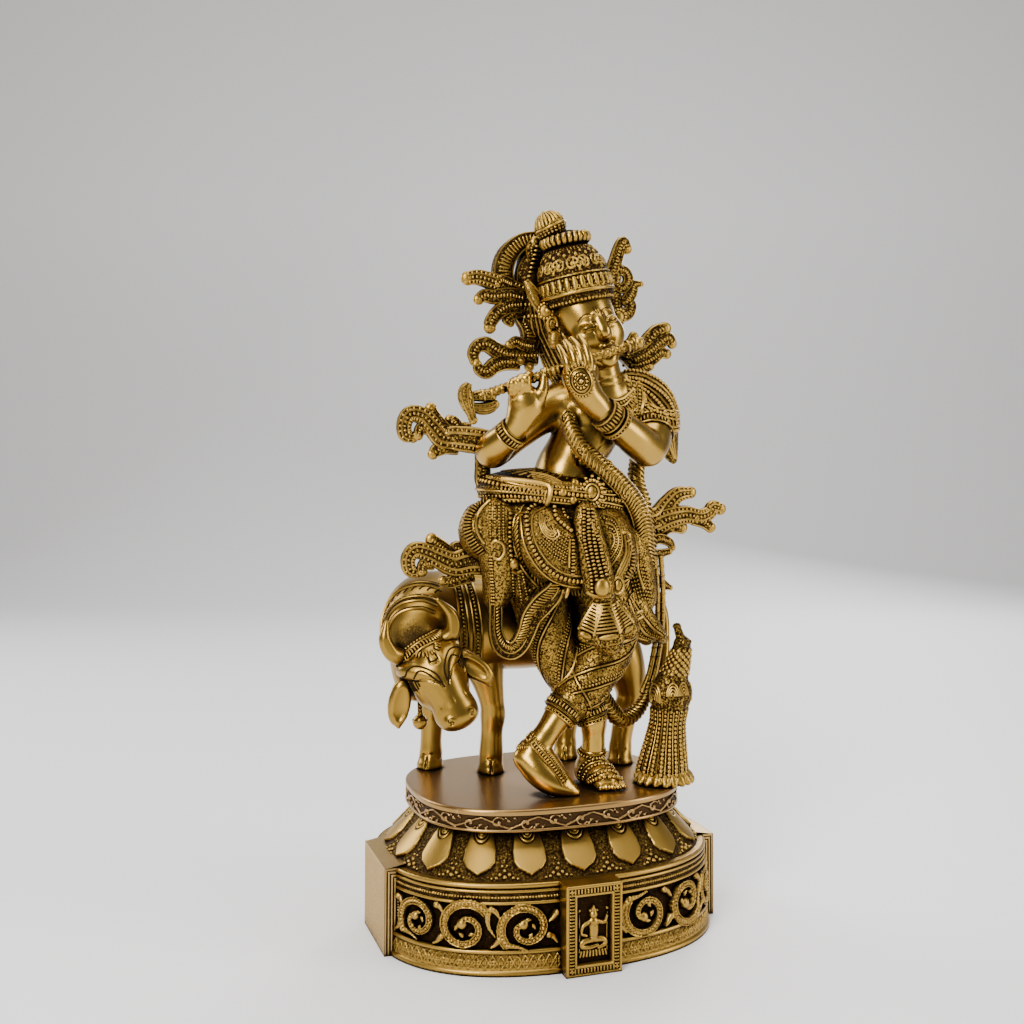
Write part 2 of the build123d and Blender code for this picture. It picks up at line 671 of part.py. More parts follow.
nodes["sash"] = seat(
    join([
        chain((14, -25, 124, 3.6), (16, -28, 110, 3.6), (18, -30.5, 96, 3.6), (20, -31.5, 82, 3.4)),
        chain((20, -31, 82, 3.4), (12, -31, 66, 3.0)),
        chain((20, -31, 82, 3.4), (22, -31, 62, 3.6)),
        chain((20, -31, 82, 3.4), (33, -29, 64, 3.0)),
        chain((12, -31, 66, 3.0), (22, -31, 62, 3.6), (33, -29, 64, 3.0)),
    ]),
    nodes["apron_right"], nodes["apron_left"], *drapes, *body_parts,
)
nodes["scarf_loop"] = seat(
    join([
        chain((-27, -13, 84, 2.6), (-27, -14, 68, 2.8), (-23, -15, 57, 3.0), (-15, -16, 53, 3.2)),
        chain((-15, -16, 53, 3.2), (-7, -18, 60, 3.0), (-2, -22, 72, 3.0), (3, -26, 80, 2.8)),
    ]),
    nodes["apron_right"], nodes["sash"], *drapes, *body_parts, nodes["cow_fore_legs"],
)

# garland, necklace and the rest
nodes["necklace"] = seat(
    ring(at(23, -9, 163), Vector(-0.2, -0.45, 0.88), 12.5 * scale_f, 6 * scale_f, 4 * scale_f),
    nodes["torso"], nodes["head"], nodes["left_upper_arm"], nodes["right_upper_arm"],
    nodes["left_forearm"], nodes["left_hand"], nodes["arm_bands"], nodes["hair"],
)
near_garland = [
    nodes[n] for n in (
        "torso", "head", "girdle", "dhoti_hips", "left_upper_arm", "left_forearm", "left_side_drape",
        "apron_left", "sash", "necklace", "right_upper_arm", "arm_bands", "left_hand",
    )
]
nodes["garland"] = seat(
    join([
        chain((8, -15, 160, 3.8), (12, -20, 147, 4.4), (19, -22.5, 134, 4.8), (29, -21.5, 119, 5.0),
            (40, -17, 104, 5.0), (46, -14, 93, 4.4)),
        chain((43, -6, 135, 3.4), (47, -6, 120, 3.8), (49, -8, 104, 4.0), (48, -11, 91, 3.6)),
    ]),
    *near_garland,
)
nodes["garland_cords"] = seat(
    chain(
        (49, -12, 92, 2.0), (51, -11, 80, 1.9), (51.5, -10, 64, 1.9), (48.5, -9, 46, 2.2),
        (42, -9, 30, 2.8), (34, -9, 24, 3.6), (26, -9, 32, 3.8), (21, -5, 46, 3.4),
    ),
    nodes["garland"], nodes["left_side_drape"], nodes["left_leg"], nodes["right_leg"], cow_body,
    nodes["cow_hind_legs"], nodes["anklets"], nodes["right_foot"],
)
nodes["shawl"] = seat(
    join([
        chain((44, -2, 168, 6.6), (53, -3, 160, 7.0), (55, -5, 148, 5.4)),
        chain((53, 0, 156, 5.4), (57, -1, 146, 4.0), (61, -2, 137.5, 2.0)),
    ]),
    nodes["torso"], nodes["left_upper_arm"], nodes["arm_bands"], nodes["left_forearm"], nodes["head"],
    nodes["necklace"], nodes["hair"], nodes["garland"],
)

# peacock
nodes["peacock_body"] = seat(
    keep_above_deck(join([
        chain((47, -22, 3, 8.6), (47, -21.5, 16, 8.0), (48.5, -21.5, 30, 6.8), (50, -22.5, 40, 7.4),
            (52, -23.5, 49, 4.4), (53.5, -24, 56, 2.9)),
        chain((53.5, -24, 59, 3.3)),
        chain((53.5, -24, 60, 1.8), (52.6, -24, 66, 1.6)),
    ])),
    nodes["garland_cords"], nodes["figure_screws"], nodes["cow_hind_legs"],
)
nodes["peacock_tail_fan"] = seat(
    keep_above_deck(
        chain((39, -21, 5, 3.2), (41.5, -27, 3, 3.6), (46, -31, 3, 3.8), (52, -30, 3, 3.6),
            (55.5, -25.5, 4, 3.2))
    ),
    nodes["peacock_body"], nodes["figure_screws"], nodes["garland_cords"],
)

roots = {
    "scarf_scroll_head_right": ["crest_arch", "crown", "hair", "head", "ear_ornaments"],
    "scarf_scroll_shoulder_right": ["crest_arch", "hair", "torso", "right_upper_arm", "flute",
        "right_hand"],
    "scarf_scroll_elbow_right": ["right_upper_arm", "right_forearm", "flute", "arm_bands", "right_hand"],
    "scarf_scroll_hip_right": ["right_side_drape", "cow_body", "dhoti_hips", "scarf_loop"],
    "scarf_scroll_head_left": ["crown", "head", "hair", "ear_ornaments"],
    "scarf_scroll_neck_left": ["hair", "head", "torso", "shawl", "left_upper_arm",
        "scarf_scroll_head_left", "ear_ornaments"],
    "scarf_scroll_hip_left": ["left_side_drape", "garland", "dhoti_hips", "apron_left", "garland_cords"],
}
for name, fronds in scrolls.items():
    nodes[name] = seat(scroll(fronds), *[nodes[n] for n in roots[name]])

os.makedirs("parts", exist_ok=True)
for name, shape in nodes.items():
    export_step(shape, f"parts/{name}.step")
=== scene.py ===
import math
import bpy
import numpy as np
import openvdb
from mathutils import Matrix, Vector


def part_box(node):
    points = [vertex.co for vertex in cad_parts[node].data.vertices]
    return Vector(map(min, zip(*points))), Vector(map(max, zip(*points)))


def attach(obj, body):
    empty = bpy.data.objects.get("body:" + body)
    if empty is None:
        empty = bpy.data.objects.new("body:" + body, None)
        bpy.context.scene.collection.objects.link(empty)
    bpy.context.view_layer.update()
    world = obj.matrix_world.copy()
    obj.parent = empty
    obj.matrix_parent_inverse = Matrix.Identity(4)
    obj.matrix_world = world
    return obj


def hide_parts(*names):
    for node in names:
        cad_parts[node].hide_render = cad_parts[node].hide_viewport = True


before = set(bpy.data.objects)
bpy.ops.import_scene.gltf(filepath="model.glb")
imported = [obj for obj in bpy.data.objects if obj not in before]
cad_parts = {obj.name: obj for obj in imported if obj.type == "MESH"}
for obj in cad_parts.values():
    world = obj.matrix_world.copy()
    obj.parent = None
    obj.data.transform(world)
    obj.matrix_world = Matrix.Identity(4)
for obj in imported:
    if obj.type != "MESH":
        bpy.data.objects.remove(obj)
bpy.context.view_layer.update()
MM = 0.001
rng = np.random.default_rng(7)


def box_mm(node):
    """Lowest and highest corner of a CAD node in millimetres."""
    low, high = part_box(node)
    return np.array(low) / MM, np.array(high) / MM


deck_z = box_mm("deck")[1][2]
FIGURE_SPACE_TOP = 243.2
figure_scale = (box_mm("crown_finial")[1][2] - deck_z) / FIGURE_SPACE_TOP


def unit(v):
    v = np.asarray(v, float)
    return v / np.maximum(np.linalg.norm(v, axis=-1, keepdims=True), 1e-9)


# ------------------------------------------------------------------ curves
def curve(points, step=0.5, closed=False):
    """Even-stepped smooth curve through points; extra columns such as a radius are carried along."""
    p = np.asarray(points, float)
    if len(p) == 2 and not closed:
        n = max(2, int(np.linalg.norm(p[1, :3] - p[0, :3]) / step) + 1)
        t = np.linspace(0, 1, n)[:, None]
        return p[0] * (1 - t) + p[1] * t
    if closed:
        q = np.vstack([p[-1], p, p[0], p[1]])
    else:
        q = np.vstack([2 * p[0] - p[1], p, 2 * p[-1] - p[-2]])
        q[0, 3:] = p[0, 3:]
        q[-1, 3:] = p[-1, 3:]
    out = []
    t = np.linspace(0, 1, 20, endpoint=False)[:, None]
    for i in range(1, len(q) - 2):
        a, b, c, d = q[i - 1], q[i], q[i + 1], q[i + 2]
        out.append(
            0.5
            * (2 * b + (c - a) * t + (2 * a - 5 * b + 4 * c - d) * t**2 + (3 * b - a - 3 * c + d) * t**3)
        )
    out.append(q[-2][None])
    return resample(np.vstack(out), step)


def resample(p, step):
    dims = min(3, p.shape[1])
    run = np.concatenate([[0], np.cumsum(np.linalg.norm(np.diff(p[:, :dims], axis=0), axis=1))])
    n = max(2, int(round(run[-1] / step)) + 1)
    at = np.linspace(0, run[-1], n)
    return np.stack([np.interp(at, run, p[:, k]) for k in range(p.shape[1])], 1)


def full_turn(count):
    """Angles evenly spaced round a full turn."""
    return np.linspace(0, 2 * math.pi, count, endpoint=False)


def shifted(points, dx, dy, dz):
    return [(x + dx, y + dy, z + dz) for x, y, z in points]


def shrunk(points, centre, share):
    """Points drawn towards a centre by a share of the way."""
    return [tuple(np.array(p) * (1 - share) + np.array(centre) * share) for p in points]


def tangents(p):
    return unit(np.gradient(p[:, :3], axis=0))


# ------------------------------------------------------------------ mesh collector
class Shape:
    """Vertices, faces and a patina value per vertex, in millimetres."""

    def __init__(self):
        self.v, self.q, self.t, self.p = [], [], [], []
        self.count = 0

    def add(self, verts, quads=None, tris=None, patina=0.0):
        verts = np.asarray(verts, float).reshape(-1, 3)
        self.v.append(verts)
        self.p.append(np.broadcast_to(np.asarray(patina, float), (len(verts),)).copy())
        if quads is not None and len(quads):
            self.q.append(np.asarray(quads, np.int64).reshape(-1, 4) + self.count)
        if tris is not None and len(tris):
            self.t.append(np.asarray(tris, np.int64).reshape(-1, 3) + self.count)
        self.count += len(verts)


def grid_quads(rows, cols, wrap_rows=False, wrap_cols=False):
    """Quads of a rows x cols grid of vertices."""
    r = np.arange(rows if wrap_rows else rows - 1)
    c = np.arange(cols if wrap_cols else cols - 1)
    r, c = np.meshgrid(r, c, indexing="ij")
    r2, c2 = (r + 1) % rows, (c + 1) % cols
    return np.stack([r * cols + c, r2 * cols + c, r2 * cols + c2, r * cols + c2], -1).reshape(-1, 4)


def circle_profile(n=10, wide=1.0, high=1.0):
    a = full_turn(n)
    return np.stack([np.cos(a) * wide, np.sin(a) * high], 1)


def sweep(shape, path, profile, up=(0, -1, 0), scale=None, closed=False, patina=0.0):
    """Carries a closed profile (side, out) along a path; up points out of the surface that it lies on."""
    path = np.asarray(path, float)
    t = tangents(path)
    if closed:
        t = unit(np.roll(path[:, :3], -1, 0) - np.roll(path[:, :3], 1, 0))
    up = np.broadcast_to(np.asarray(up, float), t.shape)
    side = unit(np.cross(t, up))
    out = np.cross(side, t)
    size = path[:, 3] if path.shape[1] > 3 else np.ones(len(path))
    if scale is not None:
        size = size * scale
    prof = np.asarray(profile, float)
    v = (
        path[:, None, :3]
        + side[:, None] * (prof[None, :, :1] * size[:, None, None])
        + out[:, None] * (prof[None, :, 1:] * size[:, None, None])
    )
    n, m = len(path), len(prof)
    quads = grid_quads(n, m, wrap_rows=closed, wrap_cols=True)
    p = np.broadcast_to(np.asarray(patina, float), (n, m)) if np.ndim(patina) < 2 else patina
    shape.add(v.reshape(-1, 3), quads, patina=p.reshape(-1))
    if not closed:
        base = shape.count - n * m
        for ring, flip in ((0, False), (n - 1, True)):
            centre = v[ring].mean(0)
            shape.add(centre[None], patina=0.0)
            hub = shape.count - 1
            i = np.arange(m)
            a, b = base + ring * m + i, base + ring * m + (i + 1) % m
            tri = np.stack([np.full(m, hub), b, a] if flip else [np.full(m, hub), a, b], 1)
            shape.t.append(tri)


def ball_template(segments=8, rings=6):
    v = [(0, 0, 1)]
    for i in range(1, rings):
        th = math.pi * i / rings
        for j in range(segments):
            ph = 2 * math.pi * j / segments
            v.append((math.sin(th) * math.cos(ph), math.sin(th) * math.sin(ph), math.cos(th)))
    v.append((0, 0, -1))
    tris, quads = [], []
    for j in range(segments):
        k = (j + 1) % segments
        tris.append((0, 1 + j, 1 + k))
        last = 1 + (rings - 2) * segments
        tris.append((len(v) - 1, last + k, last + j))
        for i in range(rings - 2):
            a = 1 + i * segments
            quads.append((a + j, a + segments + j, a + segments + k, a + k))
    return np.array(v), np.array(quads), np.array(tris)


BALL = ball_template()
BALL_FINE = ball_template(20, 14)


def beads(shape, centres, radius, axes=None, stretch=(1, 1, 1), fine=False, patina=0.0):
    """Balls at centres; axes (n, 3, 3) turn them and stretch makes ovals along those axes."""
    tv, tq, tt = BALL_FINE if fine else BALL
    c = np.atleast_2d(np.asarray(centres, float))[:, :3]
    r = np.broadcast_to(np.asarray(radius, float), (len(c),))
    local = tv[None] * np.asarray(stretch, float)[None, None] * r[:, None, None]
    if axes is not None:
        local = np.einsum("nij,nkj->nki", np.broadcast_to(axes, (len(c), 3, 3)), local)
    v = c[:, None] + local
    n, m = len(c), len(tv)
    shift = (np.arange(n) * m)[:, None, None]
    shape.add(
        v.reshape(-1, 3), (tq[None] + shift).reshape(-1, 4), (tt[None] + shift).reshape(-1, 3), patina
    )


def bead_axes(path, up):
    """Turning matrices with x along the path, y across it and z outwards."""
    t = tangents(path)
    up = np.broadcast_to(np.asarray(up, float), t.shape)
    side = unit(np.cross(up, t))
    return np.stack([t, side, np.cross(t, side)], -1)


# ------------------------------------------------------------------ clay: signed distance modelling
def smooth_min(a, b, k):
    if k <= 0:
        return np.minimum(a, b)
    h = np.maximum(k - np.abs(a - b), 0) / k
    return np.minimum(a, b) - h * h * k * 0.25


class Clay:
    """A lump modelled as signed distances on a grid, in millimetres."""

    def __init__(self, low, high, cell=0.5, far=5.0, pad=1.2):
        self.low = np.asarray(low, float)
        self.cell = cell
        self.n = np.ceil((np.asarray(high, float) - self.low) / cell).astype(int) + 1
        self.d = np.full(self.n, far, np.float32)
        self.far = far
        self.pad = pad

    def window(self, low, high, pad):
        a = np.clip(np.floor((np.asarray(low) - pad - self.low) / self.cell).astype(int), 0, self.n)
        b = np.clip(np.ceil((np.asarray(high) + pad - self.low) / self.cell).astype(int) + 1, 0, self.n)
        cut = tuple(slice(i, j) for i, j in zip(a, b))
        axes = [
            (self.low[i] + self.cell * np.arange(a[i], b[i])).astype(np.float32) for i in range(3)
        ]
        return cut, np.meshgrid(*axes, indexing="ij", sparse=True)

    def put(self, cut, d, k, carve=False):
        if d.size == 0:
            return
        cur = self.d[cut]
        self.d[cut] = -smooth_min(-cur, d, k) if carve else smooth_min(cur, d, k)

    def egg(self, centre, radii, turn=None, k=1.0, carve=False):
        """Ellipsoid; turn is a 3x3 whose columns are its own axes."""
        r = np.asarray(radii, float) * np.ones(3)
        turn = np.eye(3) if turn is None else np.asarray(turn, float)
        reach = np.sqrt(((turn * r) ** 2).sum(1))
        c = np.asarray(centre, float)
        cut, g = self.window(c - reach, c + reach, k + self.pad)
        p = [g[i] - c[i] for i in range(3)]
        q = [sum(turn[j, i] * p[j] for j in range(3)) for i in range(3)]
        k0 = np.sqrt(sum((q[i] / r[i]) ** 2 for i in range(3)))
        k1 = np.sqrt(sum((q[i] / r[i] ** 2) ** 2 for i in range(3)))
        self.put(cut, k0 * (k0 - 1) / np.maximum(k1, 1e-6), k, carve)

    def limb(self, points, k=1.0, carve=False, smooth=True, step=2.0, flat=None):
        """Tapered round limb through (x, y, z, r). flat = (direction, share) thins it along a direction."""
        p = curve(points, step) if smooth and len(points) > 2 else np.asarray(points, float)
        for a, b in zip(p, p[1:]):
            rmax = max(a[3], b[3])
            low = np.minimum(a[:3], b[:3]) - rmax
            high = np.maximum(a[:3], b[:3]) + rmax
            cut, g = self.window(low, high, k + self.pad)
            ab = b[:3] - a[:3]
            pa = [g[i] - a[i] for i in range(3)]
            if flat is not None:
                d, share = np.asarray(flat[0], float), flat[1]
                h = np.clip(sum(pa[i] * ab[i] for i in range(3)) / max(ab @ ab, 1e-9), 0, 1)
                q = [pa[i] - h * ab[i] for i in range(3)]
                off = sum(q[i] * d[i] for i in range(3))
                grow = off * (1 / share - 1)
                dist = np.sqrt(sum((q[i] + grow * d[i]) ** 2 for i in range(3)))
                rad = a[3] + (b[3] - a[3]) * h
                self.put(cut, (dist - rad) * (share if share < 1 else 1), k, carve)
                continue
            h = np.clip(sum(pa[i] * ab[i] for i in range(3)) / max(ab @ ab, 1e-9), 0, 1)
            dist = np.sqrt(sum((pa[i] - h * ab[i]) ** 2 for i in range(3)))
            self.put(cut, dist - (a[3] + (b[3] - a[3]) * h), k, carve)

    def sample(self, p):
        """Distance at points, trilinear."""
        q = (np.asarray(p, float) - self.low) / self.cell
        q = np.clip(q, 0, self.n - 1.001)
        i = np.floor(q).astype(int)
        f = q - i
        out = 0
        for dx in (0, 1):
            for dy in (0, 1):
                for dz in (0, 1):
                    w = (
                        (f[:, 0] if dx else 1 - f[:, 0])
                        * (f[:, 1] if dy else 1 - f[:, 1])
                        * (f[:, 2] if dz else 1 - f[:, 2])
                    )
                    out = out + w * self.d[i[:, 0] + dx, i[:, 1] + dy, i[:, 2] + dz]
        return out

    def normal(self, p):
        e = self.cell
        g = np.stack(
            [self.sample(p + e * np.eye(3)[i]) - self.sample(p - e * np.eye(3)[i]) for i in range(3)], 1
        )
        return unit(g)

    def snap(self, p, toward=None, rounds=14):
        """Moves points onto the surface, along a direction if one is given."""
        p = np.array(p, float)[:, :3]
        for _ in range(rounds):
            d = self.sample(p)
            n = self.normal(p) if toward is None else None
            if toward is None:
                p -= n * (np.clip(d, -2, 2) * 0.8)[:, None]
            else:
                p += np.broadcast_to(toward, p.shape) * (np.clip(d, -2, 2) * 0.8)[:, None]
        return p

    def cut_below(self, z):
        zz = self.low[2] + self.cell * np.arange(self.n[2])
        self.d = np.maximum(self.d, (z - zz)[None, None].astype(np.float32))

    def mesh(self, shape=None, patina=0.0, level=0.0):
        """Skin of the lump as quads; shape collects it."""
        self.d[[0, -1]] = self.far
        self.d[:, [0, -1]] = self.far
        self.d[:, :, [0, -1]] = self.far
        grid = openvdb.FloatGrid(self.far)
        grid.copyFromArray(self.d)
        v, q = grid.convertToQuads(level)
        v = np.asarray(v, float) * self.cell + self.low
        q = np.asarray(q, np.int64)[:, ::-1]
        if shape is not None:
            shape.add(v, q, patina=patina)
        return v, q


# ------------------------------------------------------------------ relief: height maps laid on a surface
class Relief:
    """Heights in millimetres over a flat sheet (s along, t up) that is later laid on a surface."""

    def __init__(self, length, height, cell, wrap=False, ground=0.0):
        self.ns = int(round(length / cell))
        self.nt = int(round(height / cell)) + 1
        self.ds = length / self.ns
        self.dt = height / (self.nt - 1)
        if not wrap:
            self.ns += 1
        self.length, self.wrap = length, wrap
        self.h = np.full((self.ns, self.nt), float(ground))

    def stamp(self, s, t, reach, fn):
        """Raises the sheet to fn(ds, dt) round (s, t)."""
        i0, i1 = int(math.floor((s - reach) / self.ds)), int(math.ceil((s + reach) / self.ds)) + 1
        j0 = max(0, int(math.floor((t - reach) / self.dt)))
        j1 = min(self.nt, int(math.ceil((t + reach) / self.dt)) + 1)
        if j1 <= j0:
            return
        i = np.arange(i0, i1)
        if not self.wrap:
            i = i[(i >= 0) & (i < self.ns)]
        if len(i) == 0:
            return
        j = np.arange(j0, j1)
        x = (i * self.ds - s)[:, None]
        y = (j * self.dt - t)[None]
        rows = i % self.ns
        self.h[np.ix_(rows, j)] = np.maximum(self.h[np.ix_(rows, j)], fn(x, y))

    def dot(self, s, t, r, height, base=0.0):
        def dome(x, y):
            q = np.maximum(0, 1 - (x * x + y * y) / (r * r))
            return np.where(q > 0, base + height * np.sqrt(q), -9.0)

        self.stamp(s, t, r, dome)

    def stroke(self, points, r, height, base=0.0, step=0.3):
        """Rounded ridge; r and height may be arrays along the points."""
        p = np.asarray(points, float)
        p = np.column_stack([p, np.broadcast_to(r, len(p)), np.broadcast_to(height, len(p))])
        run = np.concatenate([[0], np.cumsum(np.hypot(*np.diff(p[:, :2], axis=0).T))])
        at = np.linspace(0, run[-1], max(2, int(run[-1] / step) + 1))
        for s, t, rr, hh in zip(*[np.interp(at, run, p[:, k]) for k in range(4)]):
            self.dot(s, t, rr, hh, base)

    def row(self, points, spacing, r, height, base=0.0):
        """Beads along a line."""
        p = np.asarray(points, float)
        run = np.concatenate([[0], np.cumsum(np.hypot(*np.diff(p, axis=0).T))])
        at = np.linspace(0, run[-1], max(2, int(round(run[-1] / spacing)) + 1))
        for s, t in zip(*[np.interp(at, run, p[:, k]) for k in range(2)]):
            self.dot(s, t, r, height, base)

    def coordinates(self):
        s = np.arange(self.ns) * self.ds
        t = np.arange(self.nt) * self.dt
        return np.meshgrid(s, t, indexing="ij")


def spline2(points, step=0.4, closed=False):
    p = np.asarray(points, float)
    return curve(np.column_stack([p, np.zeros(len(p))]), step, closed)[:, :2]


# ------------------------------------------------------------------ pieces
def finish_piece(name, shape, nodes, material, lift=True, sharp=42.0):
    """Turns a Shape into a Blender piece that stands for CAD nodes. lift puts figure space on the deck."""
    v = np.vstack(shape.v)
    p = np.concatenate(shape.p)
    if lift:
        v = v * figure_scale + np.array([0, 0, deck_z])
    quads = np.vstack(shape.q) if shape.q else np.zeros((0, 4), np.int64)
    tris = np.vstack(shape.t) if shape.t else np.zeros((0, 3), np.int64)
    me = bpy.data.meshes.new(name)
    me.vertices.add(len(v))
    me.vertices.foreach_set("co", (v * MM).astype(np.float32).ravel())
    me.loops.add(len(quads) * 4 + len(tris) * 3)
    me.loops.foreach_set("vertex_index", np.concatenate([quads.ravel(), tris.ravel()]).astype(np.int32))
    me.polygons.add(len(quads) + len(tris))
    starts = np.concatenate([np.arange(len(quads)) * 4, len(quads) * 4 + np.arange(len(tris)) * 3])
    me.polygons.foreach_set("loop_start", starts.astype(np.int32))
    me.update(calc_edges=True)
    me.validate()
    a = me.attributes.new("patina", "FLOAT", "POINT")
    a.data.foreach_set("value", p.astype(np.float32))
    me.shade_smooth()
    if sharp:
        me.set_sharp_from_angle(angle=math.radians(sharp))
    me.materials.append(material)
    ob = bpy.data.objects.new(name, me)
    bpy.context.scene.collection.objects.link(ob)
    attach(ob, "root")
    if nodes:
        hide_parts(*nodes)
    return ob


# ------------------------------------------------------------------ materials
def node(tree, kind, **values):
    n = tree.nodes.new(kind)
    for key, value in values.items():
        if key in n.inputs:
            n.inputs[key].default_value = value
        else:
            setattr(n, key, value)
    return n


def brass(name, bright, dark, smooth, wear=1.0, grain=1.0, recess_mm=2.6, hatch=0.0, mottle=0.55):
    """Cast brass: bright where hands and cloth reach, brown-black patina in the recesses, painted shade
    where pieces crowd together.
    """
    mat = bpy.data.materials.new(name)
    mat.use_nodes = True
    tree = mat.node_tree
    tree.nodes.clear()
    link = tree.links.new
    out = node(tree, "ShaderNodeOutputMaterial")
    shader = node(tree, "ShaderNodeBsdfPrincipled")
    shader.inputs["Metallic"].default_value = 1.0
    link(shader.outputs[0], out.inputs[0])
    coord = node(tree, "ShaderNodeTexCoord")

    # how deep a point lies: near occlusion, wide occlusion, the sculpted patina value
    ao = node(tree, "ShaderNodeAmbientOcclusion", samples=8, Distance=recess_mm * MM)
    near = node(tree, "ShaderNodeMapRange", interpolation_type="SMOOTHSTEP")
    near.inputs["From Min"].default_value = 0.45
    near.inputs["From Max"].default_value = 0.93
    near.inputs["To Min"].default_value = 1.0
    near.inputs["To Max"].default_value = 0.0
    link(ao.outputs["AO"], near.inputs["Value"])
    patina = node(tree, "ShaderNodeAttribute", attribute_name="patina")
    blot = node(tree, "ShaderNodeTexNoise", Scale=70.0, Detail=5.0, Roughness=0.6)
    link(coord.outputs["Object"], blot.inputs["Vector"])
    fine = node(tree, "ShaderNodeTexNoise", Scale=1250.0, Detail=2.0, Roughness=0.6)
    link(coord.outputs["Object"], fine.inputs["Vector"])
    deep = node(tree, "ShaderNodeMath", operation="ADD")
    link(near.outputs[0], deep.inputs[0])
    link(patina.outputs["Fac"], deep.inputs[1])
    # the patina's edge is broken up by the casting's grain
    breakup = node(tree, "ShaderNodeMath", operation="MULTIPLY_ADD")
    link(fine.outputs["Fac"], breakup.inputs[0])
    breakup.inputs[1].default_value = mottle
    breakup.inputs[2].default_value = -0.5 * mottle
    grow = node(tree, "ShaderNodeMath", operation="ADD")
    link(deep.outputs[0], grow.inputs[0])
    link(breakup.outputs[0], grow.inputs[1])
    edge = node(tree, "ShaderNodeMapRange", interpolation_type="SMOOTHSTEP")
    edge.inputs["From Min"].default_value = 0.18
    edge.inputs["From Max"].default_value = 0.9
    link(grow.outputs[0], edge.inputs["Value"])

    # the rubbed metal wanders between a lighter and a browner gold
    tone = node(tree, "ShaderNodeMix", data_type="RGBA")
    link(blot.outputs["Fac"], tone.inputs["Factor"])
    tone.inputs["A"].default_value = (*[c * 0.84 for c in bright[:2]], bright[2] * 0.72, 1)
    tone.inputs["B"].default_value = (*[min(1, c * 1.13) for c in bright], 1)
    point = node(tree, "ShaderNodeNewGeometry")
    crest = node(tree, "ShaderNodeMapRange", interpolation_type="SMOOTHSTEP")
    crest.inputs["From Min"].default_value = 0.515
    crest.inputs["From Max"].default_value = 0.60
    crest.inputs["To Max"].default_value = 0.65 * wear
    link(point.outputs["Pointiness"], crest.inputs["Value"])
    rub = node(tree, "ShaderNodeMix", data_type="RGBA")
    link(crest.outputs[0], rub.inputs["Factor"])
    link(tone.outputs["Result"], rub.inputs["A"])
    rub.inputs["B"].default_value = (
        min(1, bright[0] * 1.28), min(1, bright[1] * 1.3), min(1, bright[2] * 1.55), 1
    )
    colour = node(tree, "ShaderNodeMix", data_type="RGBA")
    link(edge.outputs[0], colour.inputs["Factor"])
    link(rub.outputs["Result"], colour.inputs["A"])
    colour.inputs["B"].default_value = (*dark, 1)
    # painted shade: the base colour is scaled darker by a wide occlusion where pieces crowd together
    wide = node(tree, "ShaderNodeAmbientOcclusion", samples=8, Distance=0.020)
    painted_shade = node(tree, "ShaderNodeMapRange", interpolation_type="SMOOTHSTEP")
    painted_shade.inputs["From Min"].default_value = 0.12
    painted_shade.inputs["From Max"].default_value = 0.75
    painted_shade.inputs["To Min"].default_value = 0.20
    painted_shade.inputs["To Max"].default_value = 1.0
    link(wide.outputs["AO"], painted_shade.inputs["Value"])
    shaded_colour = node(tree, "ShaderNodeVectorMath", operation="SCALE")
    link(colour.outputs["Result"], shaded_colour.inputs[0])
    link(painted_shade.outputs[0], shaded_colour.inputs["Scale"])
    link(shaded_colour.outputs[0], shader.inputs["Base Color"])

    rough = node(tree, "ShaderNodeMapRange")
    rough.inputs["To Min"].default_value = smooth
    rough.inputs["To Max"].default_value = 0.62
    link(edge.outputs[0], rough.inputs["Value"])
    mottled = node(tree, "ShaderNodeMath", operation="MULTIPLY_ADD")
    link(blot.outputs["Fac"], mottled.inputs[0])
    mottled.inputs[1].default_value = 0.12
    link(rough.outputs[0], mottled.inputs[2])
    link(mottled.outputs[0], shader.inputs["Roughness"])

    # casting skin: fine pits everywhere, with faint file marks
    pits = node(tree, "ShaderNodeTexNoise", Scale=1500.0, Detail=3.0, Roughness=0.7)
    link(coord.outputs["Object"], pits.inputs["Vector"])
    stretch = node(tree, "ShaderNodeMapping")
    stretch.inputs["Scale"].default_value = (260.0, 1900.0, 420.0)
    stretch.inputs["Rotation"].default_value = (0.3, 0.5, 0.2)
    link(coord.outputs["Object"], stretch.inputs["Vector"])
    file_marks = node(tree, "ShaderNodeTexNoise", Scale=1.0, Detail=2.0)
    link(stretch.outputs[0], file_marks.inputs["Vector"])
    mix = node(tree, "ShaderNodeMath", operation="MULTIPLY_ADD")
    link(file_marks.outputs["Fac"], mix.inputs[0])
    mix.inputs[1].default_value = 0.35
    link(pits.outputs["Fac"], mix.inputs[2])
    height = mix
    if hatch:
        cells = node(tree, "ShaderNodeTexVoronoi", Scale=hatch)
        link(coord.outputs["Object"], cells.inputs["Vector"])
        height = node(tree, "ShaderNodeMath", operation="MULTIPLY_ADD")
        link(cells.outputs["Distance"], height.inputs[0])
        height.inputs[1].default_value = 1.6
        link(mix.outputs[0], height.inputs[2])
    bump = node(tree, "ShaderNodeBump", Strength=0.22 * grain, Distance=0.00025)
    link(height.outputs[0], bump.inputs["Height"])
    link(bump.outputs[0], shader.inputs["Normal"])
    return mat


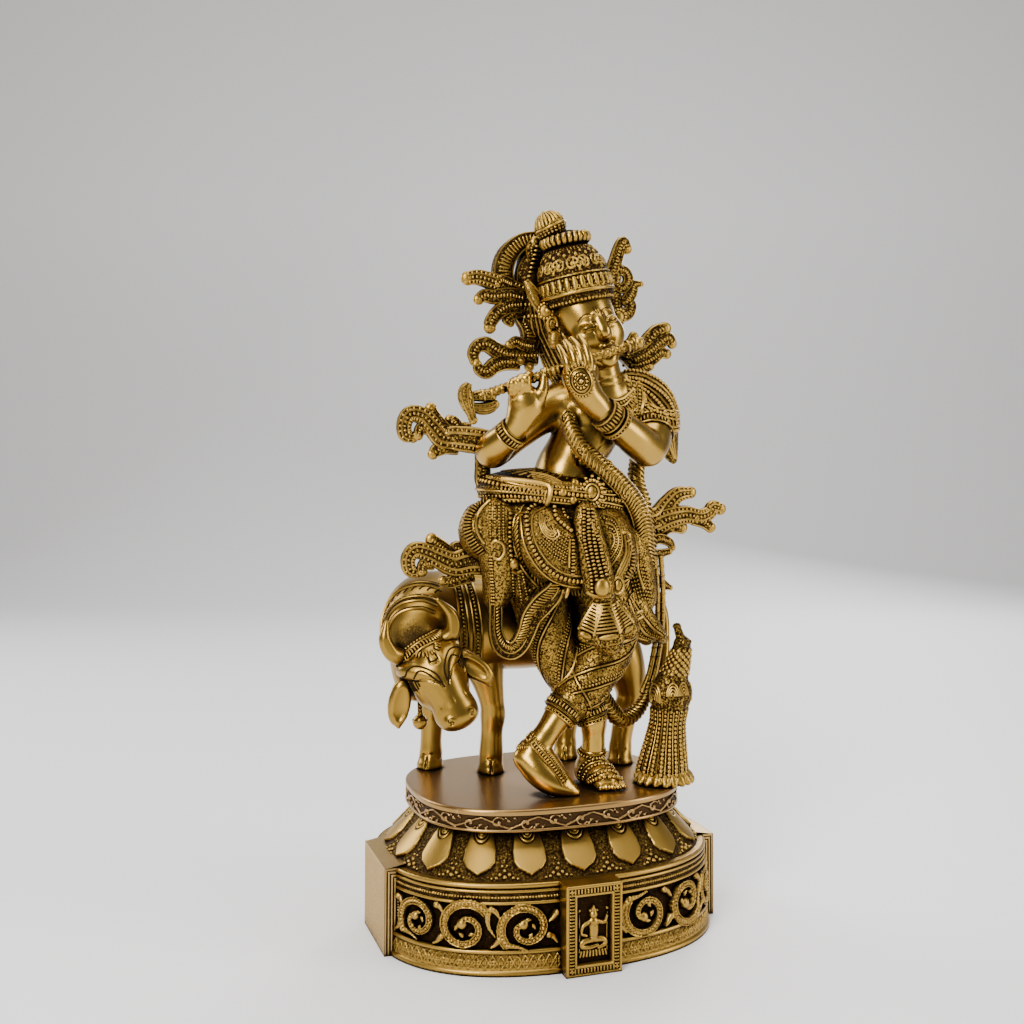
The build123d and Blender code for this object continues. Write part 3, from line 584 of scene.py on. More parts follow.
def steel(name):
    mat = bpy.data.materials.new(name)
    mat.use_nodes = True
    tree = mat.node_tree
    shader = tree.nodes["Principled BSDF"]
    shader.inputs["Metallic"].default_value = 1.0
    coord = node(tree, "ShaderNodeTexCoord")
    noise = node(tree, "ShaderNodeTexNoise", Scale=500.0, Detail=4.0)
    tree.links.new(coord.outputs["Object"], noise.inputs["Vector"])
    tone = node(tree, "ShaderNodeMix", data_type="RGBA")
    tone.inputs["A"].default_value = (0.38, 0.37, 0.35, 1)
    tone.inputs["B"].default_value = (0.62, 0.61, 0.58, 1)
    tree.links.new(noise.outputs["Fac"], tone.inputs["Factor"])
    tree.links.new(tone.outputs["Result"], shader.inputs["Base Color"])
    rough = node(tree, "ShaderNodeMapRange")
    rough.inputs["To Min"].default_value = 0.3
    rough.inputs["To Max"].default_value = 0.5
    tree.links.new(noise.outputs["Fac"], rough.inputs["Value"])
    tree.links.new(rough.outputs[0], shader.inputs["Roughness"])
    return mat


GOLD = (0.44, 0.262, 0.048)
UMBER = (0.020, 0.0095, 0.0035)
figure_metal = brass("figure_brass", GOLD, UMBER, 0.25, recess_mm=2.2, grain=1.6, mottle=2.4)
cloth_metal = brass("cloth_brass", (0.42, 0.248, 0.046), UMBER, 0.27, recess_mm=2.0, grain=1.8, mottle=2.8)
skin_metal = brass(
    "polished_brass", (0.45, 0.268, 0.052), (0.045, 0.021, 0.007), 0.20, wear=0.4, grain=0.3, recess_mm=1.8
)
cow_metal = brass(
    "cow_brass", (0.33, 0.192, 0.036), (0.030, 0.017, 0.006), 0.24, wear=0.5, grain=0.4, recess_mm=4.0
)
plinth_metal = brass("plinth_brass", (0.42, 0.250, 0.052), UMBER, 0.28, mottle=1.2)
deck_metal = brass(
    "deck_brass", (0.36, 0.21, 0.075), (0.06, 0.032, 0.013), 0.24, wear=1.2, grain=0.35, recess_mm=5.0
)
block_metal = brass("block_brass", (0.50, 0.32, 0.11), (0.055, 0.03, 0.012), 0.33, hatch=900.0, grain=1.6)
screw_metal = steel("screw_steel")


def finish_ornament(shape, node):
    """One cast ornament of the figure that stands for one node."""
    return finish_piece(node + "_cast", shape, [node], figure_metal)


# ------------------------------------------------------------------ plinth
drum_high = box_mm("plinth_drum")[1]
lotus_high = box_mm("lotus_tier")[1]
deck_low, deck_high = box_mm("deck")
DRUM_TOP = drum_high[2]
DRUM_LEAN = 2.0
FOOT_PROUD = 1.2
drum_half = (drum_high[0] - FOOT_PROUD, drum_high[1] - FOOT_PROUD)
deck_half = (deck_high[0], deck_high[1])
lotus_foot_half = (lotus_high[0], lotus_high[1])
ROUND_DRUM, ROUND_DECK = 2.4, 2.7


class Outline:
    """Rounded oval walked by arc length from the middle of its front (-Y) towards +X."""

    def __init__(self, half, power, n=4000):
        a = np.linspace(-math.pi / 2, 1.5 * math.pi, n + 1)
        c, s = np.cos(a), np.sin(a)
        x = half[0] * np.sign(c) * np.abs(c) ** (2 / power)
        y = half[1] * np.sign(s) * np.abs(s) ** (2 / power)
        p = np.stack([x, y], 1)
        run = np.concatenate([[0], np.cumsum(np.hypot(*np.diff(p, axis=0).T))])
        self.length = run[-1]
        even = np.linspace(0, self.length, n + 1)
        q = np.stack([np.interp(even, run, p[:, i]) for i in range(2)], 1)
        t = np.gradient(q, axis=0)
        t[0] = t[-1] = q[1] - q[-2]
        t = unit(t)
        self.even, self.q, self.nrm = even, q, np.stack([t[:, 1], -t[:, 0]], 1)

    def at(self, s):
        """Places and outward normals at arc lengths s."""
        s = np.mod(s, self.length)
        q = np.stack([np.interp(s, self.even, self.q[:, i]) for i in range(2)], -1)
        n = np.stack([np.interp(s, self.even, self.nrm[:, i]) for i in range(2)], -1)
        return q, unit(n)


def shell_from_relief(shape, relief, outline, z_low, z_high, set_in, patina):
    """Lays a wrapped relief on an oval wall. set_in(t01) is how far the wall stands inside the outline."""
    t01 = np.linspace(0, 1, relief.nt)
    s = np.arange(relief.ns) * relief.ds
    q, n = outline.at(s)
    inset = set_in(t01)
    z = z_low + (z_high - z_low) * t01
    base = np.zeros((relief.ns, relief.nt, 3))
    base[..., :2] = q[:, None] - n[:, None] * inset[None, :, None]
    base[..., 2] = z[None]
    slope = np.gradient(inset, z)
    tilt = 1 / np.sqrt(1 + slope**2)
    out = np.zeros_like(base)
    out[..., :2] = n[:, None] * tilt[None, :, None]
    out[..., 2] = (slope * tilt)[None]
    v = base + out * relief.h[..., None]
    quads = grid_quads(relief.ns, relief.nt, wrap_rows=True)
    shape.add(v.reshape(-1, 3), quads, patina=patina.reshape(-1))
    return v


def revolve_oval(shape, outline, profile, n=480, patina=0.0):
    """Carries a profile of (inset, z) round an outline."""
    s = np.arange(n) * outline.length / n
    q, nn = outline.at(s)
    prof = np.asarray(profile, float)
    v = np.zeros((n, len(prof), 3))
    v[..., :2] = q[:, None] - nn[:, None] * prof[None, :, :1]
    v[..., 2] = prof[None, :, 1]
    shape.add(v.reshape(-1, 3), grid_quads(n, len(prof), wrap_rows=True), patina=patina)


def comma_scroll(relief, s, t, turn, flip, size=1.0):
    """Beaded comma: a spiral band with ridged edges, a budding eye and side leaves."""
    a = np.linspace(0, 1, 60)
    th = turn + flip * a * 2 * math.pi * 1.28
    r = size * (8.3 * (1 - a) ** 0.75 + 1.7)
    x, y = s + r * np.cos(th) * 1.08, t + r * np.sin(th)
    width = size * (1.55 - 0.75 * a)
    relief.stroke(np.column_stack([x, y]), width, 0.55, base=0.6)
    for off in (-1, 1):
        xo = s + (r + off * width) * np.cos(th) * 1.08
        yo = t + (r + off * width) * np.sin(th)
        relief.stroke(np.column_stack([xo, yo]), 0.34, 0.42, base=1.0)
    relief.row(np.column_stack([x, y]), 1.55 * size, 0.62 * size, 0.75, base=1.05)
    relief.dot(x[-1], y[-1], 2.1 * size, 1.5, base=0.5)
    # tail flowing on from the mouth of the spiral
    th0 = th[0] - flip * 0.5
    tail = spline2([
        (x[0], y[0]),
        (s + 9.4 * size * math.cos(th0), t + 8.0 * size * math.sin(th0)),
        (s + 12.4 * size * math.cos(th0 - flip * 0.38), t + 9.0 * size * math.sin(th0 - flip * 0.45)),
    ])
    relief.stroke(tail, np.linspace(1.3, 0.5, len(tail)) * size, 0.7, base=0.5)
    relief.row(tail, 1.6 * size, 0.5 * size, 0.6, base=0.9)
    # leaves inside the curl
    for da, rr, ln in ((0.4, 4.4, 2.6), (1.5, 4.2, 2.4), (2.7, 4.6, 2.0)):
        ang = turn + flip * (da + 2.2)
        lx, ly = s + rr * size * math.cos(ang) * 0.8, t + rr * size * math.sin(ang) * 0.8
        dx, dy = math.cos(ang + flip * 1.2), math.sin(ang + flip * 1.2)
        leaf = np.array(
            [(lx - dx * ln * 0.5, ly - dy * ln * 0.5), (lx, ly), (lx + dx * ln * 0.5, ly + dy * ln * 0.5)]
        )
        relief.stroke(leaf, np.array([0.35, 0.95, 0.3]) * size, 0.9, base=0.35)


def make_drum():
    shape = Shape()
    outline = Outline(drum_half, ROUND_DRUM)
    height = DRUM_TOP
    relief = Relief(outline.length, height, 0.3, wrap=True)
    s_all = outline.length
    _, t = relief.coordinates()
    # wall profile: plain foot, lattice band, ridge, sunk frieze, ridge, bead row, two ridges
    relief.h[:] = np.maximum(np.interp(t[0], [0, 1.6, 2.0, 8.2, 8.8], [1.2, 1.2, 0.55, 0.3, 0.2])[None], 0)
    frieze = (t > 10.3) & (t < 27.6)
    relief.h[frieze] = -1.15

    def hoop(z, r, h, base=0.0):
        band = base + h * np.sqrt(np.maximum(0, 1 - ((t - z) / r) ** 2))
        keep = np.abs(t - z) < r
        relief.h[keep] = np.maximum(relief.h[keep], band[keep])

    hoop(1.0, 1.1, 0.5, 0.9)
    for z, r, h in ((9.4, 0.95, 1.0), (28.3, 0.75, 0.95), (32.9, 0.7, 0.9), (35.0, 1.0, 1.0)):
        hoop(z, r, h)
    n = int(s_all / 1.25)
    for k in range(n):
        relief.dot(k * s_all / n, 30.6, 0.62, 0.8, base=0.05)
    # lattice of crossed lines with a floret in every diamond
    n = int(s_all / 6.4)
    for k in range(n):
        s0 = k * s_all / n
        w = s_all / n
        relief.stroke([(s0, 2.6), (s0 + w / 2, 7.9), (s0 + w, 2.6)], 0.3, 0.42, base=0.35, step=0.25)
        relief.stroke([(s0, 7.9), (s0 + w / 2, 2.6), (s0 + w, 7.9)], 0.3, 0.42, base=0.35, step=0.25)
        for a in range(4):
            ang = math.pi / 4 + a * math.pi / 2
            relief.dot(s0 + 0.75 * math.cos(ang), 5.25 + 0.75 * math.sin(ang), 0.55, 0.5, base=0.3)
            relief.dot(s0 + w / 2 + 0.6 * math.cos(ang), 5.25 + 0.6 * math.sin(ang), 0.4, 0.35, base=0.3)
    # scrolls in the four quarters, left clear behind the plaques and end blocks
    quarter = s_all / 4
    for q in range(4):
        mirror = 1 if q % 2 == 0 else -1
        for k, (f, t0, size) in enumerate(((0.245, 18.6, 0.96), (0.475, 18.8, 1.0), (0.68, 18.9, 0.86))):
            s0 = q * quarter + (f if mirror > 0 else 1 - f) * quarter
            comma_scroll(
                relief, s0, t0, (-0.6 if k % 2 else 2.4) * mirror, -mirror if k % 2 else mirror, size
            )
        for f, t0, lean in (
            (0.36, 24.6, 1), (0.36, 13.0, -1), (0.575, 24.8, 1), (0.585, 12.8, -1), (0.14, 14.0, 1),
            (0.14, 22.5, -1), (0.78, 23.8, 1), (0.79, 13.4, -1)
        ):
            s0 = q * quarter + (f if mirror > 0 else 1 - f) * quarter
            bud = spline2([(s0 - 1.7 * lean, t0 + 1.4), (s0, t0 + 0.6 * lean), (s0 + 1.6 * lean, t0 - 1.6)])
            relief.stroke(bud, np.linspace(1.5, 0.6, len(bud)), 1.1, base=0.1)
            relief.dot(s0 - 1.7 * lean, t0 + 1.4, 1.4, 1.5, base=0.2)
    grains = int(s_all * 17 / 3.2)
    for s0, t0, r in zip(
        rng.uniform(0, s_all, grains), rng.uniform(10.6, 27.2, grains), rng.uniform(0.25, 0.5, grains)
    ):
        relief.dot(s0, t0, r, 0.45, base=-1.15)
    patina = np.where(relief.h < -0.35, 0.95, 0.0)
    patina = np.maximum(patina, np.where((t > 2) & (t < 8.6) & (relief.h < 0.5), 0.55, 0.0))
    patina = np.maximum(patina, np.where((t > 28.8) & (t < 36) & (relief.h < 0.28), 0.8, 0.0))
    shell_from_relief(shape, relief, outline, 0.0, height, lambda u: DRUM_LEAN * u, patina)
    # resting rim, inner wall, inner flange
    revolve_oval(
        shape, outline,
        [(-1.2, 0.0), (3.5, 0.0), (3.5 + 1.6, 33.0), (22.0, 33.0), (22.5, 36.0), (2.0, 36.0)], patina=0.25
    )
    return finish_piece(
        "plinth_drum_cast", shape, ["plinth_drum"], plinth_metal, lift=False
    )


def make_lotus():
    shape = Shape()
    outline = Outline(lotus_foot_half, ROUND_DRUM)
    z0, z1 = DRUM_TOP, lotus_high[2]
    run_in = lotus_foot_half[0] - 52.0
    slope_len = math.hypot(run_in, z1 - z0)
    relief = Relief(outline.length, slope_len, 0.3, wrap=True)
    s, t = relief.coordinates()
    petals = 18
    pitch = outline.length / petals
    h = np.zeros_like(s)
    patina = np.full_like(s, 0.75)
    # a petal narrows towards the neck with the wall itself, so it is drawn in its own share of the pitch
    ds = np.mod(s + pitch / 2, pitch) - pitch / 2
    squeeze = np.interp(t, [0, slope_len], [1.0, 0.80])
    top, tip = slope_len - 2.6, 2.0
    u = (top - t) / (top - tip)
    half = 8.2 * np.interp(
        u, [0, 0.15, 0.45, 0.7, 0.85, 0.95, 1.0, 1.03], [0.80, 0.92, 1.0, 0.93, 0.66, 0.25, 0.06, 0.0]
    )
    x = np.abs(ds) / squeeze * 1.0
    inside = (x < half) & (u > -0.02) & (u < 1.03)
    edge = np.clip((half - x) / 0.55, 0, 1)
    body = 0.55 + 0.75 * np.sqrt(np.clip(1 - (x / 8.6) ** 2, 0, 1)) + 0.25 * np.clip(u, 0, 1)
    h = np.where(inside, body * np.sqrt(edge), h)
    patina = np.where(inside & (edge > 0.4), 0.0, patina)
    d = np.hypot(x, (top + 0.8 - t) * 0.80)
    for r0, depth in ((2.2, 0.42), (3.7, 0.45), (5.2, 0.42)):
        groove = depth * np.exp(-((d - r0) / 0.28) ** 2)
        h = np.where(inside & (x < half - 0.7), h - groove, h)
        patina = np.where(
            inside & (x < half - 0.7), np.maximum(patina, 0.9 * np.exp(-((d - r0) / 0.25) ** 2)), patina
        )
    relief.h[:] = h
    for k in range(petals):
        s0 = k * pitch
        relief.dot(s0, top - 1.2, 1.35, 1.0, base=0.9)
        # florets and beads on the ground between the petals
        s1 = s0 + pitch / 2
        for dx, dt, r in (
            (0, 1.6, 0.95), (-1.9, 2.7, 0.8), (1.9, 2.7, 0.8), (-3.4, 1.3, 0.75), (3.4, 1.3, 0.75),
            (0, 4.3, 0.8), (-1.0, 6.3, 0.55), (1.0, 6.3, 0.55), (0, 8.6, 0.5), (-5.2, 1.0, 0.6),
            (5.2, 1.0, 0.6)
        ):
            relief.dot(s1 + dx, dt, r, r * 0.85, base=0.12)
    grains = 5200
    for s0, t0, r in zip(
        rng.uniform(0, outline.length, grains), rng.uniform(0.4, top + 0.4, grains),
        rng.uniform(0.2, 0.42, grains)
    ):
        relief.dot(s0, t0, r, 0.32, base=0.0)
    # ring of short bars under the deck
    bars = int(outline.length / 1.75)
    for k in range(bars):
        s0 = k * outline.length / bars
        relief.stroke([(s0, top + 0.7), (s0, slope_len - 0.3)], 0.62, 0.75, base=0.25)
    patina = np.where((t > top + 0.3) & (relief.h < 0.45), 0.9, patina)
    patina = np.where((t > top + 0.3) & (relief.h >= 0.45), 0.15, patina)
    patina = np.where((patina > 0.7) & (relief.h > 0.4) & ~inside, 0.1, patina)
    shell_from_relief(shape, relief, outline, z0, z1, lambda q: run_in * q, patina)
    revolve_oval(
        shape, outline,
        [
            (0.0, z0), (16.5, z0), (19.0, z0 + 3.0), (5.0, z0 + 3.0), (16.5, z1 - 3.0), (29.0, z1 - 3.0),
            (29.5, z1), (run_in, z1)
        ],
        patina=0.3
    )
    return finish_piece("lotus_tier_cast", shape, ["lotus_tier"], plinth_metal, lift=False)


def make_deck():
    shape = Shape()
    outline = Outline(deck_half, ROUND_DECK)
    z0, z1 = deck_low[2], deck_high[2]
    height = z1 - z0
    relief = Relief(outline.length, height, 0.26, wrap=True)
    _, t = relief.coordinates()
    relief.h[:] = -0.9
    low_lip = 0.9 * np.sqrt(np.clip(1 - ((t - 0.7) / 0.8) ** 2, 0, 1))
    relief.h[:] = np.maximum(relief.h, np.where(np.abs(t - 0.7) < 0.8, low_lip - 0.75, -9))
    relief.h[:] = np.maximum(relief.h, np.where(t > height - 1.7, 0.0, -9))
    waves = int(round(outline.length / 11.5))
    w = outline.length / waves
    mid = height * 0.46
    for k in range(waves):
        s0 = k * w
        up = 1 if k % 2 == 0 else -1
        # running stem and the curl that it throws off
        stem = spline2(
            [
                (s0 - w / 2, mid - up * 2.4), (s0 - w * 0.2, mid - up * 1.0),
                (s0 + w * 0.2, mid + up * 1.2), (s0 + w / 2, mid + up * 2.4)
            ]
        )
        relief.stroke(stem, 0.5, 0.62, base=-0.65, step=0.22)
        a = np.linspace(0, 1, 30)
        th = up * (-0.2 * math.pi - a * 2.0 * math.pi * 0.95)
        r = 2.35 * (1 - a) + 0.45
        curl = np.column_stack([s0 + w * 0.08 + r * np.cos(th), mid - up * 0.2 + r * np.sin(th)])
        relief.stroke(curl, 0.44, 0.6, base=-0.62, step=0.22)
        relief.dot(curl[-1][0], curl[-1][1], 0.75, 0.65, base=-0.6)
        for dx, dt in ((w * 0.36, -2.3), (w * 0.44, -1.0), (-w * 0.34, 2.2)):
            relief.dot(s0 + dx, mid + up * dt, 0.62, 0.6, base=-0.7)
            relief.dot(s0 + dx + 0.7, mid + up * dt * 0.7, 0.42, 0.45, base=-0.7)
    patina = np.where(relief.h < -0.55, 0.85, 0.0)
    shell_from_relief(shape, relief, outline, z0, z1 - 0.9, lambda q: 0.0 * q, patina)
    # rolled upper edge, then the flat top as rings closing on a line
    edge = [(0.0, z1 - 0.9), (0.1, z1 - 0.5), (0.4, z1 - 0.15), (0.9, z1)]
    revolve_oval(shape, outline, edge)
    n = 480
    q, nn = outline.at(np.arange(n) * outline.length / n)
    q = q - nn * 0.9
    rings = np.array([1.0, 0.985, 0.95, 0.9, 0.8, 0.65, 0.45, 0.2, 0.0])
    v = np.zeros((n, len(rings), 3))
    v[..., :2] = q[:, None] * rings[None, :, None]
    v[..., 2] = z1
    shape.add(v.reshape(-1, 3), grid_quads(n, len(rings), wrap_rows=True), patina=0.0)
    under = [(0.9, z0), (4.0, z0), (4.0, z1 - 4.0)]
    revolve_oval(shape, outline, under, patina=0.3)
    q2 = q - nn * 3.1
    v = np.zeros((n, 3, 3))
    v[..., :2] = q2[:, None] * np.array([1.0, 0.5, 0.0])[None, :, None]
    v[..., 2] = z1 - 4.0
    shape.add(v.reshape(-1, 3), grid_quads(n, 3, wrap_rows=True)[:, ::-1], patina=0.3)
    return finish_piece("deck_cast", shape, ["deck"], deck_metal, lift=False)


def framed_box(shape, low, high, axis, sign, relief, patina):
    """Block whose outer face along axis carries a relief; the relief spans the face's width and height."""
    other = 1 - axis
    face = high[axis] if sign > 0 else low[axis]
    back = low[axis] if sign > 0 else high[axis]
    s, t = relief.coordinates()
    v = np.zeros(s.shape + (3,))
    v[..., other] = low[other] + s
    v[..., 2] = low[2] + t
    v[..., axis] = face + sign * (relief.h - relief.h.max())
    quads = grid_quads(*s.shape)
    flip = (axis == 1) == (sign > 0)
    shape.add(v.reshape(-1, 3), quads[:, ::-1] if flip else quads, patina=patina.reshape(-1))
    # side walls from the relief's border back into the drum
    border = [v[:, 0], v[-1, 1:], v[::-1, -1][1:], v[0, ::-1][1:-1]]
    ring = np.vstack(border)
    deep = ring.copy()
    deep[:, axis] = back
    wall = np.stack([ring, (ring + deep) / 2, deep], 1)
    q = grid_quads(len(ring), 3, wrap_rows=True)
    shape.add(wall.reshape(-1, 3), q if flip else q[:, ::-1], patina=0.0)


def make_plaque(node_name, side):
    shape = Shape()
    low, high = box_mm(node_name)
    w, hgt = high[0] - low[0], high[2] - low[2]
    relief = Relief(w, hgt, 0.2)
    s, t = relief.coordinates()
    edge = np.minimum(np.minimum(s, w - s), np.minimum(t, hgt - t))
    relief.h[:] = np.interp(
        edge, [0, 0.25, 1.1, 1.3, 3.3, 3.5, 4.3, 4.6, 5.0], [-0.5, 0, 0, -0.55, -0.55, 0.0, 0.0, -0.8, -2.4]
    )
    pane = edge > 4.8
    pitch = 1.3
    a0, a1 = 2.3, w - 2.3
    for b0 in (2.3, hgt - 2.3):
        for x in np.arange(a0, a1 + 0.01, (a1 - a0) / round((a1 - a0) / pitch)):
            relief.stroke([(x, b0 - 0.62), (x, b0 + 0.62)], 0.45, 0.6, base=-0.5, step=0.2)
    for x in (2.3, w - 2.3):
        for y in np.arange(2.3, hgt - 2.2, (hgt - 4.6) / round((hgt - 4.6) / pitch)):
            relief.stroke([(x - 0.62, y), (x + 0.62, y)], 0.45, 0.6, base=-0.5, step=0.2)
    cx, cy = w / 2, hgt / 2

    def limb(points, r, h):
        p = spline2(
            [(cx + x, cy + y) for x, y in points], 0.25
        ) if len(points) > 2 else [(cx + x, cy + y) for x, y in points]
        relief.stroke(p, np.linspace(r[0], r[1], len(p)), h, base=-2.3, step=0.2)

    # small guardian figure: crowned head, raised arms, crossed legs on a lotus cushion
    limb([(0, -3.5), (0.3, -0.5), (0, 2.6)], (1.9, 2.3), 1.8)
    relief.dot(cx, cy + 5.7, 1.85, 2.0, base=-2.2)
    relief.stroke([(cx - 1.5, cy + 7.4), (cx + 1.5, cy + 7.4)], 0.65, 1.3, base=-2.2)
    limb([(0, 7.6), (0, 9.3)], (1.1, 0.4), 1.3)
    limb([(-1.6, 2.8), (-4.4, 1.4), (-5.0, -1.4), (-3.0, -2.4)], (1.05, 0.7), 1.4)
    limb([(1.6, 2.8), (4.6, 2.2), (5.6, 4.6)], (1.05, 0.7), 1.4)
    limb([(-0.6, -4.2), (-4.2, -4.9), (-4.9, -6.6), (-1.6, -7.2), (1.6, -6.6)], (1.5, 0.9), 1.5)
    limb([(0.6, -4.2), (4.2, -4.6), (5.0, -6.4), (2.2, -7.6)], (1.5, 0.9), 1.5)
    for k in range(-4, 5):
        relief.stroke([(cx + k * 1.25, cy - 8.7), (cx + k * 1.4, cy - 10.7)], 0.6, 0.9, base=-2.3, step=0.2)
    relief.row([(cx - 2.0, cy + 2.6), (cx, cy + 1.2), (cx + 2.0, cy + 2.6)], 0.7, 0.34, 0.5, base=-0.75)
    relief.row([(cx - 1.8, cy - 3.0), (cx + 1.8, cy - 3.0)], 0.75, 0.36, 0.5, base=-0.85)
    for x in (-5.9, 5.9):
        limb([(x, -9.0), (x * 0.97, -2.0), (x, 6.0)], (0.5, 0.35), 0.6)
        relief.dot(cx + x, cy + 7.6, 0.8, 0.8, base=-2.3)
    patina = np.where(pane & (relief.h < -1.75), 0.95, 0.0)
    patina = np.maximum(patina, np.where((edge > 1.2) & (edge < 3.4) & (relief.h < -0.3), 0.8, 0.0))
    framed_box(shape, low, high, 1, side, relief, patina)
    return finish_piece(node_name + "_cast", shape, [node_name], plinth_metal, lift=False)


def make_block(node_name, side):
    """End block: woven outer face, border lines down its narrow front and back edges."""
    shape = Shape()
    low, high = box_mm(node_name)
    face_x = high[0] if side > 0 else low[0]
    w, hgt = high[1] - low[1], high[2]
    relief = Relief(w, hgt, 0.32)
    s, t = relief.coordinates()
    weave = 0.16 * np.sin(s * 2 * math.pi / 1.5 + 0.8 * np.sin(t * 1.9)) * np.sin(t * 2 * math.pi / 1.7)
    relief.h[:] = weave + rng.uniform(-0.05, 0.05, s.shape)
    edge = np.minimum(np.minimum(s, w - s), np.minimum(t, hgt - t))
    relief.h[:] = np.where(edge < 0.8, -0.02, relief.h)
    patina = np.where(relief.h < -0.06, 0.35, 0.0)
    v = np.zeros(s.shape + (3,))
    v[..., 1] = low[1] + s
    v[..., 2] = t
    v[..., 0] = face_x - side * (0.45 * (t / hgt)) + side * (relief.h - 0.2)
    quads = grid_quads(*s.shape)
    shape.add(v.reshape(-1, 3), quads if side > 0 else quads[:, ::-1], patina=patina.reshape(-1))
    # front and back edge faces with nested upright lines, running back into the drum
    depth = 8.2
    for ys, y in ((-1, low[1]), (1, high[1])):
        edge_relief = Relief(depth, hgt, 0.22)
        es, et = edge_relief.coordinates()
        near = np.minimum(es, hgt - et)
        h = np.zeros_like(es)
        for r0 in (0.6, 1.9, 3.2, 4.5):
            h = np.maximum(h, 0.42 * np.sqrt(np.clip(1 - ((near - r0) / 0.5) ** 2, 0, 1)))
        edge_relief.h[:] = h
        for yy in np.arange(1.2, hgt - 6.2, 1.15):
            edge_relief.dot(5.9, yy, 0.5, 0.42)
        p = np.where(edge_relief.h < 0.12, 0.8, 0.0)
        ev = np.zeros(es.shape + (3,))
        ev[..., 0] = face_x - side * (0.45 * (et / hgt)) - side * (es + 0.2)
        ev[..., 1] = y + ys * (edge_relief.h - 0.45)
        ev[..., 2] = et
        q = grid_quads(*es.shape)
        shape.add(ev.reshape(-1, 3), q if (ys < 0) == (side < 0) else q[:, ::-1], patina=p.reshape(-1))
    # top, sloping up and in to the lotus tier
    top = Relief(w, 9.0, 0.5)
    ts, tt = top.coordinates()
    tv = np.zeros(ts.shape + (3,))
    tv[..., 0] = face_x - side * (0.45 + 0.2 + tt)
    tv[..., 1] = low[1] + ts
    tv[..., 2] = hgt + np.clip(tt - 1.0, 0, 9) * 0.18
    q = grid_quads(*ts.shape)
    shape.add(tv.reshape(-1, 3), q[:, ::-1] if side > 0 else q, patina=0.12)
    low_ring = [
        (face_x - side * 0.2, low[1]), (face_x - side * 0.2, high[1]), (face_x - side * 8.0, high[1]),
        (face_x - side * 8.0, low[1])
    ]
    bottom = np.array([(x, y, 0.0) for x, y in low_ring])
    shape.add(bottom, np.array([[0, 1, 2, 3]]) if side < 0 else np.array([[3, 2, 1, 0]]), patina=0.3)
    return finish_piece(node_name + "_cast", shape, [node_name], block_metal, lift=False)


make_drum()
make_lotus()
make_deck()
make_plaque("front_plaque", -1)
make_plaque("back_plaque", 1)
make_block("right_end_block", -1)
make_block("left_end_block", 1)


# ------------------------------------------------------------------ helpers for dressed surfaces
def on_skin(clay, points, step=0.5, closed=False):
    """Smooth path through points, laid on a lump's surface, with the surface's normals."""
    p = curve(points, step, closed)[:, :3]
    p = clay.snap(p)
    return p, clay.normal(p)


def cord_on(shape, clay, points, r, step=0.5, lift=0.3, closed=False, patina=0.0, flat=1.0):
    p, n = on_skin(clay, points, step, closed)
    sweep(shape, p + n * r * lift, circle_profile(8, r, r * flat), up=n, closed=closed, patina=patina)
    return p, n


def beads_on(shape, clay, points, r, pitch, stretch=(1, 1, 1), lift=0.25, closed=False, patina=0.0):
    p, n = on_skin(clay, points, pitch, closed)
    beads(shape, p + n * r * lift, r, axes=bead_axes(p, n), stretch=stretch, patina=patina)
    return p, n


def groove(clay, points, r, depth=0.4, step=0.6, closed=False):
    """Engraved line on the lump."""
    p, n = on_skin(clay, points, step, closed)
    q = np.column_stack([p + n * (r - depth), np.full(len(p), r)])
    clay.limb(q, k=0.25, carve=True, smooth=False)


SIGHT = unit([0.30, 0.95, -0.04])


def drop(clay, points, step=0.5, closed=False, back=14.0):
    """Smooth path laid on a lump from the front."""
    p = curve(points, step, closed)[:, :3]
    q = clay.snap(p - SIGHT * back, toward=SIGHT, rounds=36)
    miss = np.abs(clay.sample(q)) > 0.6
    q[miss] = p[miss]
    n = clay.normal(q)
    n[miss] = -SIGHT
    return q, n


def drop_cord(shape, clay, points, r, step=0.5, closed=False, lift=0.3, flat=1.0, patina=0.0):
    q, n = drop(clay, points, step, closed)
    sweep(shape, q + n * r * lift, circle_profile(8, r, r * flat), up=n, closed=closed, patina=patina)


def drop_beads(shape, clay, points, r, pitch, stretch=(1, 1, 1), lift=0.2, closed=False):
    q, n = drop(clay, points, pitch, closed)
    beads(shape, q + n * r * lift, r, axes=bead_axes(q, n), stretch=stretch)


def graver(shape, clay, points, r, step=0.5):
    """Dark line cut with a graver: a patina-filled wire sunk to its middle."""
    p, n = on_skin(clay, [tuple(q) for q in points], step)
    sweep(shape, p + n * r * 0.1, circle_profile(6, r, r * 0.6), up=n, patina=1.5)


# ------------------------------------------------------------------ cow
head_down = unit([0.341, -0.458, -0.822])
head_side = unit(
    np.array([0.909, -0.015, 0.39]) - head_down * (np.array([0.909, -0.015, 0.39]) @ head_down)
)
head_face = np.cross(head_down, head_side)
HEAD = np.stack([head_side, head_face, head_down], 1)
POLL = np.array([-54.3, -7.5, 60.5])


def on_head(side, face, down):
    return POLL + HEAD @ np.array([side, face, down], float)


